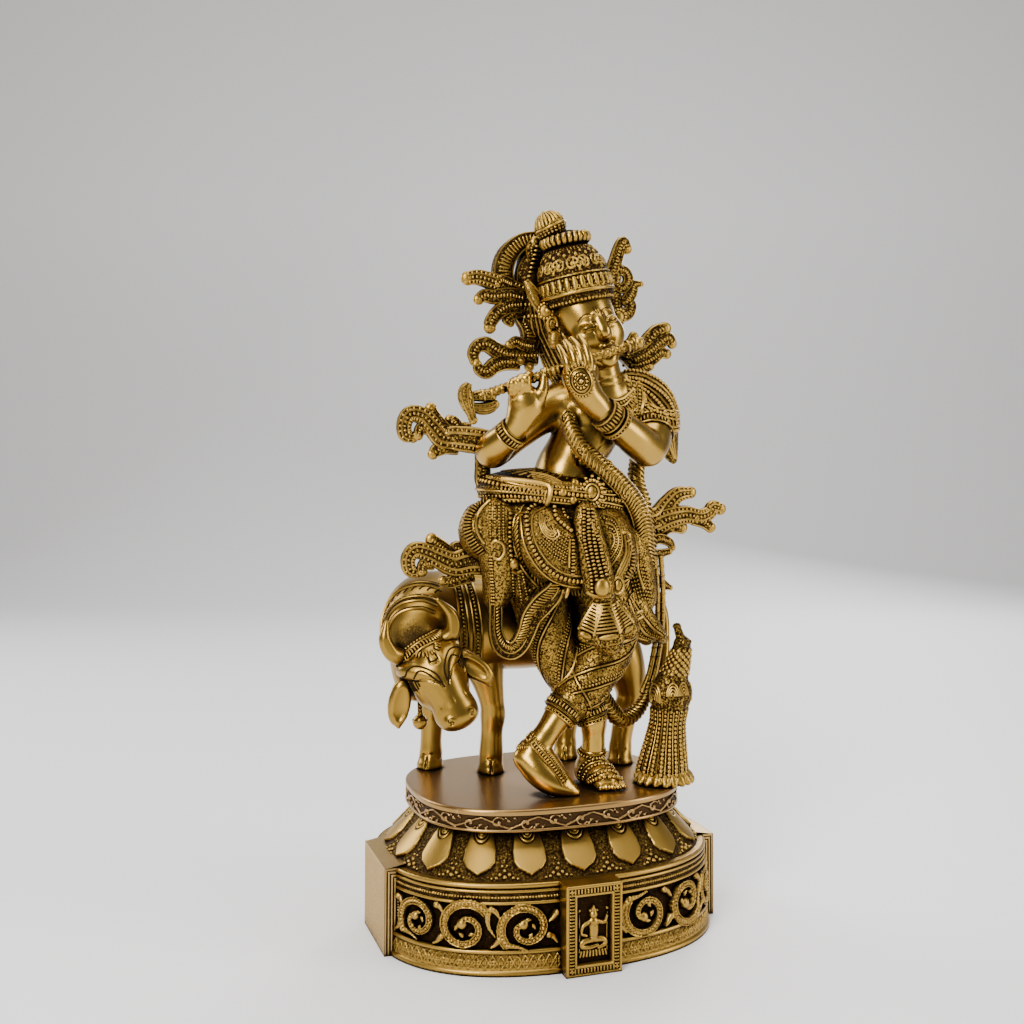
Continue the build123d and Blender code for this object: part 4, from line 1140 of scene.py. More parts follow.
def make_cow():
    clay = Clay((-79, -36, -1), (69, 47, 95), 0.6, far=6.0, pad=3.0)
    clay.limb(
        [
            (-40, 21, 66.5, 19.6), (-22, 21, 65, 18.9), (0, 21, 64, 18.6), (20, 21, 65.5, 19.0),
            (36, 21, 66.5, 19.3)
        ],
        3, step=4
    )
    clay.egg((-44, 20, 73), (14, 15, 14), k=6)
    clay.egg((38, 21, 69), (16, 17.5, 17), k=5)
    clay.limb([(-44, 20, 70, 16.5), (-50, 12, 69, 13.5), (-55, 5, 65, 10.5), (-56, -1, 59, 8.5)], 5)
    clay.limb([(-52, 8, 58, 9), (-55, 2, 48, 6), (-56, -4, 44, 4.5)], 6)
    # thighs and shoulders
    clay.egg((33, 27, 53), (9.5, 10, 15), k=6)
    clay.egg((40, 16, 54), (10.5, 9, 17), k=6)
    clay.egg((-43, 30, 55), (8, 8, 13), k=6)
    clay.egg((-25, 14, 55), (8, 8, 13), k=6)
    # spine line, ribs of the flank
    clay.limb([(-38, 21, 85.2, 2.2), (0, 21, 82.2, 1.8), (36, 21, 85.5, 2.2)], 4)
    body = Shape()
    clay.mesh(body)
    # patina value raised round two points: the pocket behind the poll and under the belly band
    for centre, spread, amount in (((-58, -6, 64), 9.0, 1.0), ((-46, 4, 72), 6.0, 0.6)):
        gap = np.linalg.norm(body.v[-1] - np.array(centre), axis=1) / spread
        body.p[-1] = body.p[-1] + amount * np.exp(-gap * gap)
    # broad beaded girth band
    ring = []
    for a in full_turn(40):
        ring.append((0.0, 21 + 21 * math.cos(a), 65.5 + 21 * math.sin(a)))
    ring = np.array(ring)
    for x, kind in (
        (-36.2, "cord"), (-34.2, "bead"), (-32.2, "cord"), (-30.0, "cord"), (-28.2, "bead"), (-26.4, "cord")
    ):
        r = ring.copy()
        r[:, 0] = x - (r[:, 2] - 65.5) * 0.06
        if kind == "cord":
            cord_on(body, clay, r, 0.55, step=0.8, closed=True)
        else:
            beads_on(body, clay, r, 0.75, 1.7, stretch=(0.9, 1.15, 0.9), closed=True)
    # necklace cords and engraved scallops behind the poll
    arcs = [
        (-68.0, -1.0, 57.5), (-68.8, 2.0, 66.0), (-62.5, 3.0, 74.5), (-54.0, 0.0, 78.0), (-47.0, -2.0, 76.5)
    ]
    for shift in (-3.4, 0.0, 1.9, 7.5, 9.0):
        cord_on(
            body, clay, [(x + shift * 0.3, y + shift, z + shift * 0.6) for x, y, z in arcs], 0.55, lift=0.3
        )
        graver(
            body, clay,
            [(x + shift * 0.3 + 0.2, y + shift + 1.0, z + shift * 0.6 + 0.3) for x, y, z in arcs], 0.45
        )
    mane = on_skin(clay, [(x + 1.6, y + 6.0, z + 3.4) for x, y, z in arcs], 3.1)[0]
    for q in mane:
        ring = [
            q + np.array([1.5 * math.cos(b), 0.8 * math.cos(b), 1.6 * math.sin(b)])
            for b in np.linspace(0.2, math.pi - 0.2, 7)
        ]
        graver(body, clay, ring, 0.4)
    p = on_skin(clay, [(x + 0.2, y + 3.2, z + 1.6) for x, y, z in arcs], 2.6)[0]
    for q in p:
        beads(body, q[None], 0.9, stretch=(1, 1, 0.6))
    finish_piece("cow_body_cast", body, ["cow_body"], cow_metal)

    # head
    clay = Clay((-74, -36, 20), (-28, 8, 76), 0.38, far=4.0, pad=3.0)
    clay.egg(on_head(0, -2.0, 5.0), (12.2, 8.6, 11.5), HEAD, k=3)
    clay.egg(on_head(0, -4.0, 0.5), (10.0, 8.0, 7.0), HEAD, k=3)
    clay.limb(
        [
            tuple(on_head(0, 0.5, 9)) + (9.6,), tuple(on_head(0, 1.0, 18)) + (7.4,),
            tuple(on_head(0, 0.5, 28)) + (6.4,)
        ],
        3.5
    )
    clay.egg(on_head(0, 0.2, 30.5), (8.9, 7.0, 6.6), HEAD, k=3.5)
    clay.egg(on_head(0, 2.0, 33.4), (7.8, 5.0, 3.8), HEAD, k=2)
    clay.egg(on_head(0, -5.0, 31.0), (6.2, 3.8, 4.8), HEAD, k=1.4)
    clay.limb(
        [
            tuple(on_head(0, -8.5, 9)) + (6.0,), tuple(on_head(0, -7.5, 20)) + (5.0,),
            tuple(on_head(0, -5.5, 29)) + (4.2,)
        ],
        3
    )
    for side in (-1, 1):
        clay.limb(
            [
                tuple(on_head(side * 12.6, -0.5, 5)) + (1.8,),
                tuple(on_head(side * 9.5, 4.6, 7.6)) + (2.5,),
                tuple(on_head(side * 4.0, 7.6, 13.5)) + (1.7,), tuple(on_head(side * 1.2, 8.0, 17)) + (1.0,)
            ],
            2.6
        )
        clay.egg(on_head(side * 9.0, 1.8, 12.6), (3.2, 3.4, 4.6), HEAD, k=1.6)
        clay.egg(on_head(side * 7.0, -3.0, 17), (4.5, 5.5, 7.5), HEAD, k=3)
        clay.egg(on_head(side * 4.4, 4.6, 33.4), (2.3, 2.1, 2.3), HEAD, k=1.4)
        clay.egg(on_head(side * 4.7, 6.2, 34.6), (1.1, 0.8, 0.8), HEAD, k=0.6, carve=True)
    # mouth line
    mouth = [
        tuple(on_head(7.6 * math.sin(a), -2.4 - 0.8 * math.cos(a), 31.5 + 5.2 * math.cos(a)))
        for a in np.linspace(-1.35, 1.35, 9)
    ]
    groove(clay, mouth, 0.55, 0.5)
    for side in (-1, 1):
        for dz, span in ((0.0, 1.0), (1.3, 0.86), (2.5, 0.62)):
            lid = [
                tuple(on_head(side * (10.6 + 0.3 * k), 3.0 - abs(k) * 0.5, 12.8 + dz + k * 3.3 * span))
                for k in (-1.1, -0.5, 0, 0.5, 1.1)
            ]
            groove(clay, lid, 0.32, 0.42)
    for off in (0, 1.4):
        groove(
            clay,
            [
                tuple(on_head(-10.8 + off * .4, 4.2, 9.6 + off)), tuple(on_head(-5.0, 7.4, 13.0 + off)),
                tuple(on_head(-1.0, 8.8, 19 + off))
            ],
            0.3, 0.35
        )
        groove(
            clay,
            [
                tuple(on_head(10.8 - off * .4, 4.2, 9.6 + off)), tuple(on_head(5.0, 7.4, 13.0 + off)),
                tuple(on_head(1.0, 8.8, 19 + off))
            ],
            0.3, 0.35
        )
    mark = [
        tuple(on_head(1.2 * math.sin(a) * 1.4, 9, 9.5 + 1.6 * math.cos(a) if abs(a) < 1.6 else 4.5))
        for a in (-2.4, -1.5, -0.8, 0, 0.8, 1.5, 2.4)
    ]
    groove(clay, mark, 0.3, 0.38)
    for k in range(3):
        a = -0.5 + 0.5 * k
        groove(
            clay,
            [tuple(on_head(6.9 * math.sin(a), 4.6, 24.6)), tuple(on_head(7.6 * math.sin(a), 4.4, 27.0))],
            0.22, 0.22
        )
    head = Shape()
    clay.mesh(head)
    for side in (-1, 1):
        for j, (out, span) in enumerate(((0.0, 1.0), (1.3, 0.9), (2.5, 0.7), (-1.3, 0.85))):
            lid = [
                on_head(side * (11.2 - 0.9 * out), 4.5 + out * 0.6 - 0.7 * abs(q), 12.4 + q * 3.4 * span)
                for q in (-1.2, -0.6, 0.0, 0.6, 1.2)
            ]
            graver(head, clay, lid, 0.42 if j else 0.5)
        for off in (0.0, 1.9):
            graver(
                head, clay,
                [
                    on_head(side * (11.6 - off), 3.6 + off * .3, 7.4 + off * 0.7),
                    on_head(side * (6.0 - off * .3), 8.4, 9.4 + off * 1.2),
                    on_head(side * 2.2, 10, 14.0 + off * 1.6), on_head(side * 0.9, 10, 19.0 + off)
                ],
                0.4
            )
        graver(
            head, clay,
            [
                on_head(side * (4.7 + 1.7 * math.cos(q)), 8, 34.0 + 1.3 * math.sin(q))
                for q in np.linspace(-2.4, 0.4, 6)
            ],
            0.2
        )
    graver(
        head, clay,
        [
            on_head(
                1.9 * math.sin(q), 10, 7.6 + (2.0 * math.cos(q) if abs(q) < 1.7 else -2.6 + 1.2 * abs(q))
            )
            for q in (-2.6, -1.6, -0.8, 0, 0.8, 1.6, 2.6)
        ],
        0.42
    )
    graver(head, clay, [tuple(q) for q in mouth], 0.42)
    # ribbed poll band between the horns with a pendant frill
    band = [
        tuple(on_head(-11.8, 0.0, 2.5)), tuple(on_head(-8.5, 4.6, 1.6)), tuple(on_head(-3.5, 6.6, 0.8)),
        tuple(on_head(3.5, 6.6, 0.0)), tuple(on_head(8.5, 4.2, -1.2)), tuple(on_head(11.0, 0.0, -2.6))
    ]
    for lift_k, r in ((-2.3, 0.6), (2.3, 0.6)):
        cord_on(head, clay, [tuple(np.array(q) + head_down * lift_k) for q in band], r)
    beads_on(head, clay, band, 1.15, 1.35, stretch=(0.55, 1.75, 0.9), lift=0.35)
    beads_on(head, clay, [tuple(np.array(q) - head_down * 3.9) for q in band], 0.8, 1.6, lift=0.3)
    frill = [
        tuple(on_head(-4.4, 8, 3.6)), tuple(on_head(-2.6, 8.6, 5.6)), tuple(on_head(0.2, 9, 6.3)),
        tuple(on_head(3.0, 8.6, 5.4)), tuple(on_head(4.6, 8, 3.2))
    ]
    beads_on(head, clay, frill, 1.0, 1.4, stretch=(0.6, 1.6, 0.8), lift=0.3)
    finish_piece("cow_head_cast", head, ["cow_head"], cow_metal)

    # horns
    horns = Clay((-78, -14, 50), (-38, 2, 86), 0.4, far=4.0)
    horns.limb(
        [
            (-63.0, -8.5, 56.5, 3.5), (-68.2, -10.5, 59.5, 3.1), (-71.0, -11.2, 65.0, 2.4),
            (-70.4, -11.2, 72.0, 0.9)
        ],
        0.5, step=0.8
    )
    horns.limb(
        [
            (-46.5, -8.5, 62.5, 3.5), (-42.4, -10.5, 67.0, 3.1), (-43.2, -11.2, 74.0, 2.4),
            (-49.0, -11.2, 80.5, 0.8)
        ],
        0.5, step=0.8
    )
    piece = Shape()
    horns.mesh(piece)
    finish_piece("cow_horns_cast", piece, ["cow_horns"], cow_metal)

    # ears: leaves with a hollowed face
    ears = Clay((-74, -26, 24), (-22, 0, 66), 0.38, far=4.0, pad=2.5)
    left_turn = np.stack([unit([0.97, -0.2, -0.1]), unit([0.2, 0.97, 0.1]), unit([-0.1, 0.1, 1])], 1)
    ears.egg((-65.0, -10.5, 38.5), (4.7, 2.4, 9.2), left_turn, k=1)
    ears.limb([(-65.2, -10.5, 33, 2.6), (-65.4, -10.5, 28.8, 0.7)], 2)
    ears.limb([(-60.5, -8.5, 49.5, 2.6), (-64.0, -10.0, 45.0, 3.0)], 2)
    ears.egg((-65.0, -13.2, 38.2), (2.9, 1.7, 6.9), left_turn, k=0.8, carve=True)
    d = unit([0.78, -0.28, -0.56])
    w = unit(np.cross(d, [0.0, 1, 0.25]))
    right_turn = np.stack([d, np.cross(w, d), w], 1)
    ears.egg((-34.6, -14.5, 52.6), (9.3, 2.4, 4.8), right_turn, k=1)
    ears.limb([(-31, -15.5, 49, 2.4), (-28.4, -16.2, 44.8, 0.8)], 2)
    ears.limb([(-43.0, -11.0, 58.0, 2.6), (-38.6, -13.0, 56.4, 3.0)], 2)
    ears.egg(
        np.array((-34.2, -14.5, 52.0)) - np.cross(w, d) * np.sign(np.cross(w, d)[1]) * 2.6, (6.9, 1.7, 2.9),
        right_turn, k=0.8, carve=True
    )
    piece = Shape()
    ears.mesh(piece)
    finish_piece("cow_ears_cast", piece, ["cow_ears"], cow_metal)

    # bell on its strap
    piece = Shape()
    bell = Clay((-60, -9, 22), (-49, 3, 46), 0.35, far=4.0, pad=2.0)
    bell.egg((-54.6, -3.5, 28.6), (3.1, 3.1, 3.2), k=0.5)
    bell.egg((-54.6, -3.5, 32.2), (1.2, 1.2, 0.9), k=0.6)
    bell.limb(
        [(-57.5, -5.0, 26.8, 0.4), (-54.6, -7.0, 26.4, 0.4), (-51.6, -5.0, 26.8, 0.4)], 0.2, carve=True
    )
    bell.mesh(piece)
    ring = [(-54.6 + 3.15 * math.cos(a), -3.5 + 3.15 * math.sin(a), 29.4) for a in full_turn(20)]
    cord_on(piece, bell, ring, 0.35, closed=True)
    strap = curve([(-54.6, -3.5, 32.4), (-54.5, -2.6, 36.5), (-54.2, -1.6, 42.0), (-54.0, 1.0, 48.0)], 0.5)
    sweep(piece, strap, circle_profile(10, 1.0, 0.7), up=(0, -1, 0))
    beads(piece, strap[::3] + np.array([0, -0.6, 0]), 0.62)
    finish_piece("cow_bell_cast", piece, ["cow_bell"], cow_metal)

    # legs
    def leg(clay, stations, hoof, toe):
        clay.limb(stations, 1.5, step=1.5)
        hoof = np.array(hoof, float)
        toe = unit(np.array(toe, float))
        clay.limb([tuple(hoof + [0, 0, 5.4]) + (4.7,), tuple(hoof + toe * 1.2 + [0, 0, 1.2]) + (5.9,)], 1.5)
        clay.limb([tuple(hoof + [0, 0, 4.0]) + (3.6,), tuple(hoof + toe * 4.2 + [0, 0, 0.8]) + (3.2,)], 1.5)
        side = np.cross(toe, [0, 0, 1])
        clay.egg(hoof - toe * 3.6 + [0, 0, 7.0], (1.7, 1.7, 1.7), k=1.2)
        cleft = [
            tuple(hoof + toe * 5.2 + [0, 0, 5.5]) + (0.35,), tuple(hoof + toe * 8.0 + [0, 0, 0.2]) + (0.6,)
        ]
        clay.limb(cleft, 0.4, carve=True)
        clay.limb(
            [
                tuple(hoof + toe * 4.2 + side * 2.2 + [0, 0, 7.0]) + (0.3,),
                tuple(hoof + toe * 5.6 + [0, 0, 6.4]) + (0.3,),
                tuple(hoof + toe * 4.2 - side * 2.2 + [0, 0, 7.0]) + (0.3,)
            ],
            0.3, carve=True
        )

    fore = Clay((-55, 4, -1), (-6, 42, 62), 0.5, far=5.0, pad=2.5)
    leg(
        fore,
        [
            (-41.5, 28, 50, 8.5), (-40.5, 29.5, 38, 6.0), (-40.2, 30, 28, 5.0), (-40.4, 30.5, 22, 4.4),
            (-41.0, 30.5, 12, 4.0), (-41.0, 30.5, 6, 4.5)
        ],
        (-41.0, 31.0, 0.2), (-0.5, -0.8, 0)
    )
    leg(
        fore,
        [
            (-22, 14.5, 50, 8.5), (-19.5, 14, 40, 6.0), (-17.6, 14, 30, 4.6), (-17.2, 14.3, 25, 4.9),
            (-17.6, 14.8, 18, 4.1), (-18.0, 14.8, 6, 4.7)
        ],
        (-18.0, 15.2, 0.2), (-0.25, -0.95, 0)
    )
    fore.egg((-17.4, 12.6, 27.5), (3.8, 3.2, 4.2), k=2)
    fore.egg((-40.6, 28.6, 26.5), (3.8, 3.2, 4.2), k=2)
    fore.cut_below(0.0)
    piece = Shape()
    fore.mesh(piece)
    finish_piece("cow_fore_legs_cast", piece, ["cow_fore_legs"], cow_metal)
    hind = Clay((8, 0, -1), (60, 42, 64), 0.5, far=5.0, pad=2.5)
    leg(
        hind,
        [
            (31, 27, 50, 9.0), (26, 28, 38, 6.6), (24.5, 28.5, 29, 4.8), (25.0, 29, 22, 4.2),
            (22.6, 28.5, 12, 3.9), (22.2, 28.4, 5, 4.4)
        ],
        (22.0, 28.0, 0.2), (-0.4, -0.9, 0)
    )
    leg(
        hind,
        [
            (42, 15, 52, 10.0), (46.5, 14, 40, 7.8), (48.0, 13.6, 31, 5.6), (46.0, 13.4, 24, 4.8),
            (43.5, 13.0, 12, 4.2), (42.6, 12.6, 5, 4.6)
        ],
        (42.5, 12.2, 0.2), (-0.4, -0.9, 0)
    )
    hind.cut_below(0.0)
    piece = Shape()
    hind.mesh(piece)
    finish_piece("cow_hind_legs_cast", piece, ["cow_hind_legs"], cow_metal)

    # tail with a twisted tuft
    tail = Clay((46, -6, 26), (70, 30, 88), 0.45, far=4.0, pad=2.0)
    path = [
        (52, 22, 80, 3.0), (59.5, 18.5, 77.5, 2.5), (63.5, 13, 68, 2.1), (63, 9, 55, 1.9),
        (60.5, 5.5, 45, 2.3), (58.5, 3.5, 37, 2.9), (57.6, 2.6, 31, 1.0)
    ]
    tail.limb(path, 0.6, step=1.0)
    piece = Shape()
    tail.mesh(piece)
    core = curve([p[:3] for p in path[4:]], 0.4)
    for k in range(5):
        a = np.linspace(0, 4.2, len(core)) + k * 2 * math.pi / 5
        env = np.interp(np.linspace(0, 1, len(core)), [0, 0.3, 0.8, 1], [2.0, 2.4, 2.3, 0.4])
        strand = core + np.stack([np.cos(a) * env, np.sin(a) * env, 0 * a], 1)
        sweep(piece, strand, circle_profile(6, 0.55, 0.55), up=unit(strand - core + 1e-6))
    beads(piece, curve([p[:3] for p in path[3:5]], 1.3)[:3], 2.35, stretch=(1, 1, 0.5))
    finish_piece("cow_tail_cast", piece, ["cow_tail"], cow_metal)


# ------------------------------------------------------------------ peacock
def make_peacock():
    clay = Clay((28, -42, -1), (66, -8, 72), 0.42, far=5.0, pad=3.0)
    clay.limb(
        [
            (46.2, -23.5, 1, 10.2), (47.2, -23, 8, 9.0), (48.6, -22.6, 18, 7.3), (49.6, -22.6, 27, 6.3),
            (50.2, -23, 34, 7.4)
        ],
        2
    )
    clay.egg((50.4, -23.4, 39.5), (7.9, 7.6, 8.8), k=3)
    clay.limb(
        [(51.5, -23.6, 45, 5.4), (53.6, -24, 51, 3.9), (54.8, -24.4, 56, 3.1), (55.0, -24.6, 59, 3.0)], 2.5
    )
    clay.egg((55.0, -24.8, 59.4), (3.4, 3.7, 3.2), k=1)
    clay.limb([(54.6, -27.5, 59.2, 1.5), (54.0, -30.0, 57.4, 0.5)], 0.8)
    clay.limb([(54.6, -24.4, 61.5, 1.7), (53.4, -24.2, 64.2, 1.6), (53.0, -24.2, 66.6, 1.3)], 0.8)
    clay.egg((52.6, -24.2, 66.6), (1.9, 1.5, 1.4), k=0.6)
    for side in (-1, 1):
        clay.egg((55.0 + side * 2.9, -26.0, 60.0), (0.9, 0.9, 0.9), k=0.3)
    # wing swelling on both sides
    for side in (-1, 1):
        clay.egg((50.0 + side * 4.6, -24.6, 37.5), (4.0, 5.2, 7.2), k=1.6)
    clay.cut_below(0.0)
    body = Shape()
    clay.mesh(body, patina=0.75)
    # long feathers: lines of oval beads down the tail, tighter scales on the neck
    centre_x, centre_y = 48.2, -23.0
    for k in range(20):
        a = k * 2 * math.pi / 20
        pts = []
        for z, r in ((31, 8), (24, 9), (16, 10), (8, 11.5), (2.0, 13)):
            pts.append(
                (centre_x + (49.8 - 48.2) * (z / 31) + r * math.cos(a), centre_y + r * math.sin(a), z)
            )
        p, n = on_skin(clay, pts, 1.75)
        beads(
            body, p + n * 0.15, np.linspace(0.72, 1.15, len(p)), axes=bead_axes(p, n),
            stretch=(1.0, 0.8, 0.7)
        )
        beads(
            body, p[-1:] + n[-1:] * 0.2 + [[0, 0, 0.6]], 1.7, axes=bead_axes(p, n)[-1:],
            stretch=(1.25, 0.85, 0.7)
        )
        a2 = a + math.pi / 20
        pts = [
            (centre_x + (49.8 - 48.2) * (z / 31) + r * math.cos(a2), centre_y + r * math.sin(a2), z)
            for z, r in ((31, 8), (16, 10), (2, 13))
        ]
        cord_on(body, clay, pts, 0.26, lift=0.2)
    for j, z in enumerate(np.arange(46.5, 57.0, 1.25)):
        cx = float(np.interp(z, [45, 51, 56], [51.5, 53.6, 54.8]))
        m = 11
        ring = [
            (cx + 5 * math.cos(a), -24 + 5 * math.sin(a), z)
            for a in (np.arange(m) + 0.5 * (j % 2)) * 2 * math.pi / m
        ]
        p = clay.snap(np.array(ring))
        n = clay.normal(p)
        beads(body, p + n * 0.05, 0.95, axes=bead_axes(p, n), stretch=(0.9, 0.9, 0.5))
    for side in (-1, 1):
        for r in (1.4, 2.7, 4.0, 5.3):
            arc = []
            for a in np.linspace(-0.2 * math.pi, 1.1 * math.pi, 12):
                arc.append(
                    (50.4 + side * 8.6, -25.4 + r * 0.8 * math.cos(a), 36.6 + r * 1.15 * math.sin(a))
                )
            cord_on(body, clay, arc, 0.42, lift=0.2)
            front = [
                (50.4 + side * (2.6 + r * 0.5 * math.cos(a)), -31, 38.0 + r * 1.05 * math.sin(a))
                for a in np.linspace(0.0, math.pi, 10)
            ]
            cord_on(body, clay, front, 0.36, lift=0.2)
    finish_piece("peacock_cast", body, ["peacock_body"], figure_metal)

    fan = Shape()
    lump = Clay((30, -42, -1), (64, -8, 12), 0.4, far=4.0, pad=2.0)
    for k in range(11):
        a = math.pi * (0.98 + 1.04 * k / 10)
        c, s = math.cos(a), math.sin(a)
        lump.limb(
            [
                (47.0 + 8 * c, -24.0 + 7.0 * s, 5.5, 2.0), (47.0 + 10.6 * c, -24.0 + 9.2 * s, 2.4, 2.3),
                (47.0 + 12.2 * c, -24.0 + 10.4 * s, 1.3, 1.5)
            ],
            0.5
        )
    lump.cut_below(0.0)
    lump.mesh(fan, patina=0.2)
    finish_ornament(fan, "peacock_tail_fan")


make_cow()
make_peacock()


# ------------------------------------------------------------------ figure: skin
def make_body():
    clay = Clay((-40, -46, 104), (66, 14, 186), 0.5, far=5.0, pad=3.0)
    clay.limb(
        [
            (8, -6, 121, 12.5), (9, -6.5, 132, 12.0), (13, -7, 140, 11.2), (18, -7, 149, 12.0),
            (22, -7, 157, 12.4)
        ],
        3, step=2
    )
    clay.egg((19, -8.5, 157), (16, 9.5, 10.5), k=4)
    clay.egg((31, -8.5, 158), (15, 9.5, 10), k=4)
    clay.limb([(4, -4, 160, 7.0), (20, -5.5, 163, 8.2), (37, -5, 164, 8.0), (45, -5, 163, 7.8)], 5, step=2)
    clay.egg((7.5, -11.5, 132), (9.5, 8.0, 8.0), k=4)
    clay.egg((14.5, -15.2, 157), (6.2, 4.4, 5.0), k=3)
    clay.egg((30, -15.2, 158.5), (6.4, 4.4, 5.0), k=3)
    clay.egg((9.3, -21.2, 136.4), (0.9, 1.6, 1.2), k=1.2, carve=True)
    clay.limb(
        [(24.5, -8.5, 163, 8.6), (24.5, -9.5, 168, 7.2), (22.8, -10.5, 175, 6.6), (20.5, -11, 182, 7)], 3
    )
    clay.limb(
        [(4, -4, 160, 7.6), (-6, -5, 154, 7.0), (-17, -7.5, 146.5, 6.4), (-25.4, -10.5, 140.8, 6.5)], 2.5
    )
    clay.limb([(45, -5, 163, 8.2), (46.8, -8, 156, 7.9), (45, -14.5, 148, 7.5), (40, -21, 141.8, 7.2)], 2.5)
    clay.limb(
        [
            (-25.4, -10.5, 140.8, 6.6), (-24.8, -16, 143.5, 6.5), (-22, -21.8, 147.4, 5.3),
            (-19.4, -25.2, 151, 4.4)
        ],
        1.2
    )
    clay.limb(
        [(40, -21, 141.8, 7.3), (31, -26, 147, 7.0), (22, -30, 152.5, 5.7), (13.5, -33, 157.8, 4.7)], 1.2
    )
    # folds of the neck
    for z, tilt in ((171.5, 0.0), (168.0, 0.6)):
        ring = [
            (23.8 + 7 * math.cos(a), -10.0 + 7 * math.sin(a), z + tilt + 1.2 * math.cos(a))
            for a in np.linspace(-2.9, -0.2, 9)
        ]
        groove(clay, ring, 0.32, 0.35)
    # centre line of the chest, collar bones
    groove(clay, [(22.5, -22, 150), (20, -21, 144), (15, -20.5, 139.5)], 0.9, 0.25)
    piece = Shape()
    clay.mesh(piece, patina=-0.1)
    finish_piece(
        "body_cast", piece, ["torso", "right_upper_arm", "right_forearm", "left_upper_arm", "left_forearm"],
        skin_metal
    )
    return clay


def make_hands():
    clay = Clay((-34, -44, 142), (2, -14, 182), 0.32, far=4.0, pad=2.0)
    clay.limb(
        [
            (-20.5, -24, 149, 4.4), (-18.8, -26, 153, 4.7), (-16.4, -27.0, 160.1, 6.4),
            (-17.9, -27.5, 162.6, 5.4)
        ],
        2
    )
    clay.egg((-14.5, -28.0, 160.5), (6.0, 4.4, 5.4), k=2.5)
    clay.limb(
        [
            (-13.8, -29.0, 160.5, 3.6), (-11.6, -31.0, 163.8, 2.7), (-10.5, -31.5, 166.8, 2.1),
            (-10.1, -31.0, 170.1, 1.75), (-9.1, -29.5, 173.7, 1.1)
        ],
        0.8
    )
    clay.limb(
        [
            (-20.0, -27.0, 162.6, 2.7), (-23.5, -31.5, 165.1, 2.1), (-23.9, -33.0, 168.2, 1.8),
            (-21.3, -31.0, 169.6, 1.3)
        ],
        0.6
    )
    clay.limb(
        [
            (-17.7, -28.0, 163.5, 2.7), (-20.8, -32.0, 166.4, 2.1), (-21.1, -33.0, 169.5, 1.8),
            (-18.7, -31.0, 170.8, 1.3)
        ],
        0.6
    )
    clay.limb(
        [
            (-15.8, -29.0, 163.9, 2.6), (-18.1, -32.5, 167.5, 2.0), (-18.1, -33.0, 170.6, 1.8),
            (-15.6, -31.0, 171.9, 1.2)
        ],
        0.6
    )
    piece = Shape()
    clay.mesh(piece, patina=-0.1)
    p, n = on_skin(clay, [(-13.1, -34.0, 165.8), (-12.3, -35.0, 165.3), (-10.9, -34.0, 164.6)], 0.4)
    sweep(piece, p + n * 0.1, circle_profile(8, 0.35, 0.35), up=n)
    finish_piece("right_hand_cast", piece, ["right_hand"], skin_metal)

    clay = Clay((-10, -46, 150), (26, -20, 196), 0.32, far=4.0, pad=2.0)
    clay.limb(
        [
            (14, -32.8, 157.6, 4.9), (7.1, -34.0, 164.0, 5.8), (4.4, -35.0, 168.5, 6.2),
            (3.1, -35.5, 171.8, 5.4)
        ],
        1.5
    )
    clay.egg((0.8, -35.0, 171.4), (4.4, 4.0, 5.6), k=2)
    for path in (
        [
            (6.4, -37.0, 171.8, 2.1), (6.4, -38.4, 176.7, 1.9), (5.4, -37.0, 182.4, 1.75),
            (4.0, -33.6, 187.0, 1.25)
        ],
        [
            (3.6, -38.0, 172.5, 2.1), (2.9, -39.4, 177.2, 1.85), (1.9, -37.4, 182.3, 1.7),
            (0.5, -34.0, 185.9, 1.25)
        ],
        [
            (0.7, -38.0, 172.5, 2.0), (-0.0, -39.0, 177.0, 1.8), (-1.1, -37.0, 181.6, 1.65),
            (-1.9, -33.6, 184.9, 1.2)
        ],
        [
            (-1.3, -36.5, 172.1, 1.9), (-2.4, -37.4, 176.0, 1.7), (-3.4, -35.4, 179.8, 1.5),
            (-4.2, -32.6, 182.9, 1.1)
        ],
    ):
        clay.limb(path, 0.12, step=0.6)
    clay.limb(
        [(7.2, -36.0, 166.0, 2.8), (9.0, -35.0, 170.7, 2.2), (10.5, -33.5, 174.6, 1.5)], 0.8, step=0.6
    )
    piece = Shape()
    clay.mesh(piece, patina=-0.1)
    centre = clay.snap(np.array([(1.5, -44.0, 168.7)]), toward=np.array([0.1, 1.0, 0.0]), rounds=24)[0]
    n = clay.normal(centre[None])[0]
    e1 = unit(np.cross(n, [0, 0, 1.0]))
    e2 = np.cross(e1, n)
    angles = full_turn(36)
    for radius, r in ((4.9, 0.36), (3.5, 0.3), (1.5, 0.26)):
        ring = centre + radius * (np.cos(angles)[:, None] * e1 + 1.15 * np.sin(angles)[:, None] * e2)
        ring = clay.snap(ring)
        sweep(
            piece, ring + clay.normal(ring) * 0.25, circle_profile(6, r, r * 1.3), up=clay.normal(ring),
            closed=True
        )
    a = full_turn(26)
    spokes = clay.snap(centre + 6.1 * (np.cos(a)[:, None] * e1 + 1.12 * np.sin(a)[:, None] * e2))
    axes = np.stack(
        [unit(spokes - centre), unit(np.cross(clay.normal(spokes), spokes - centre)), clay.normal(spokes)],
        -1
    )
    beads(piece, spokes + clay.normal(spokes) * 0.15, 0.95, axes=axes, stretch=(1.15, 0.5, 0.5))
    a = full_turn(12)
    petals = clay.snap(centre + 2.5 * (np.cos(a)[:, None] * e1 + 1.12 * np.sin(a)[:, None] * e2))
    beads(piece, petals + clay.normal(petals) * 0.1, 0.62)
    beads(piece, (centre + n * 0.1)[None], 1.1)
    finish_piece("left_hand_cast", piece, ["left_hand"], skin_metal)


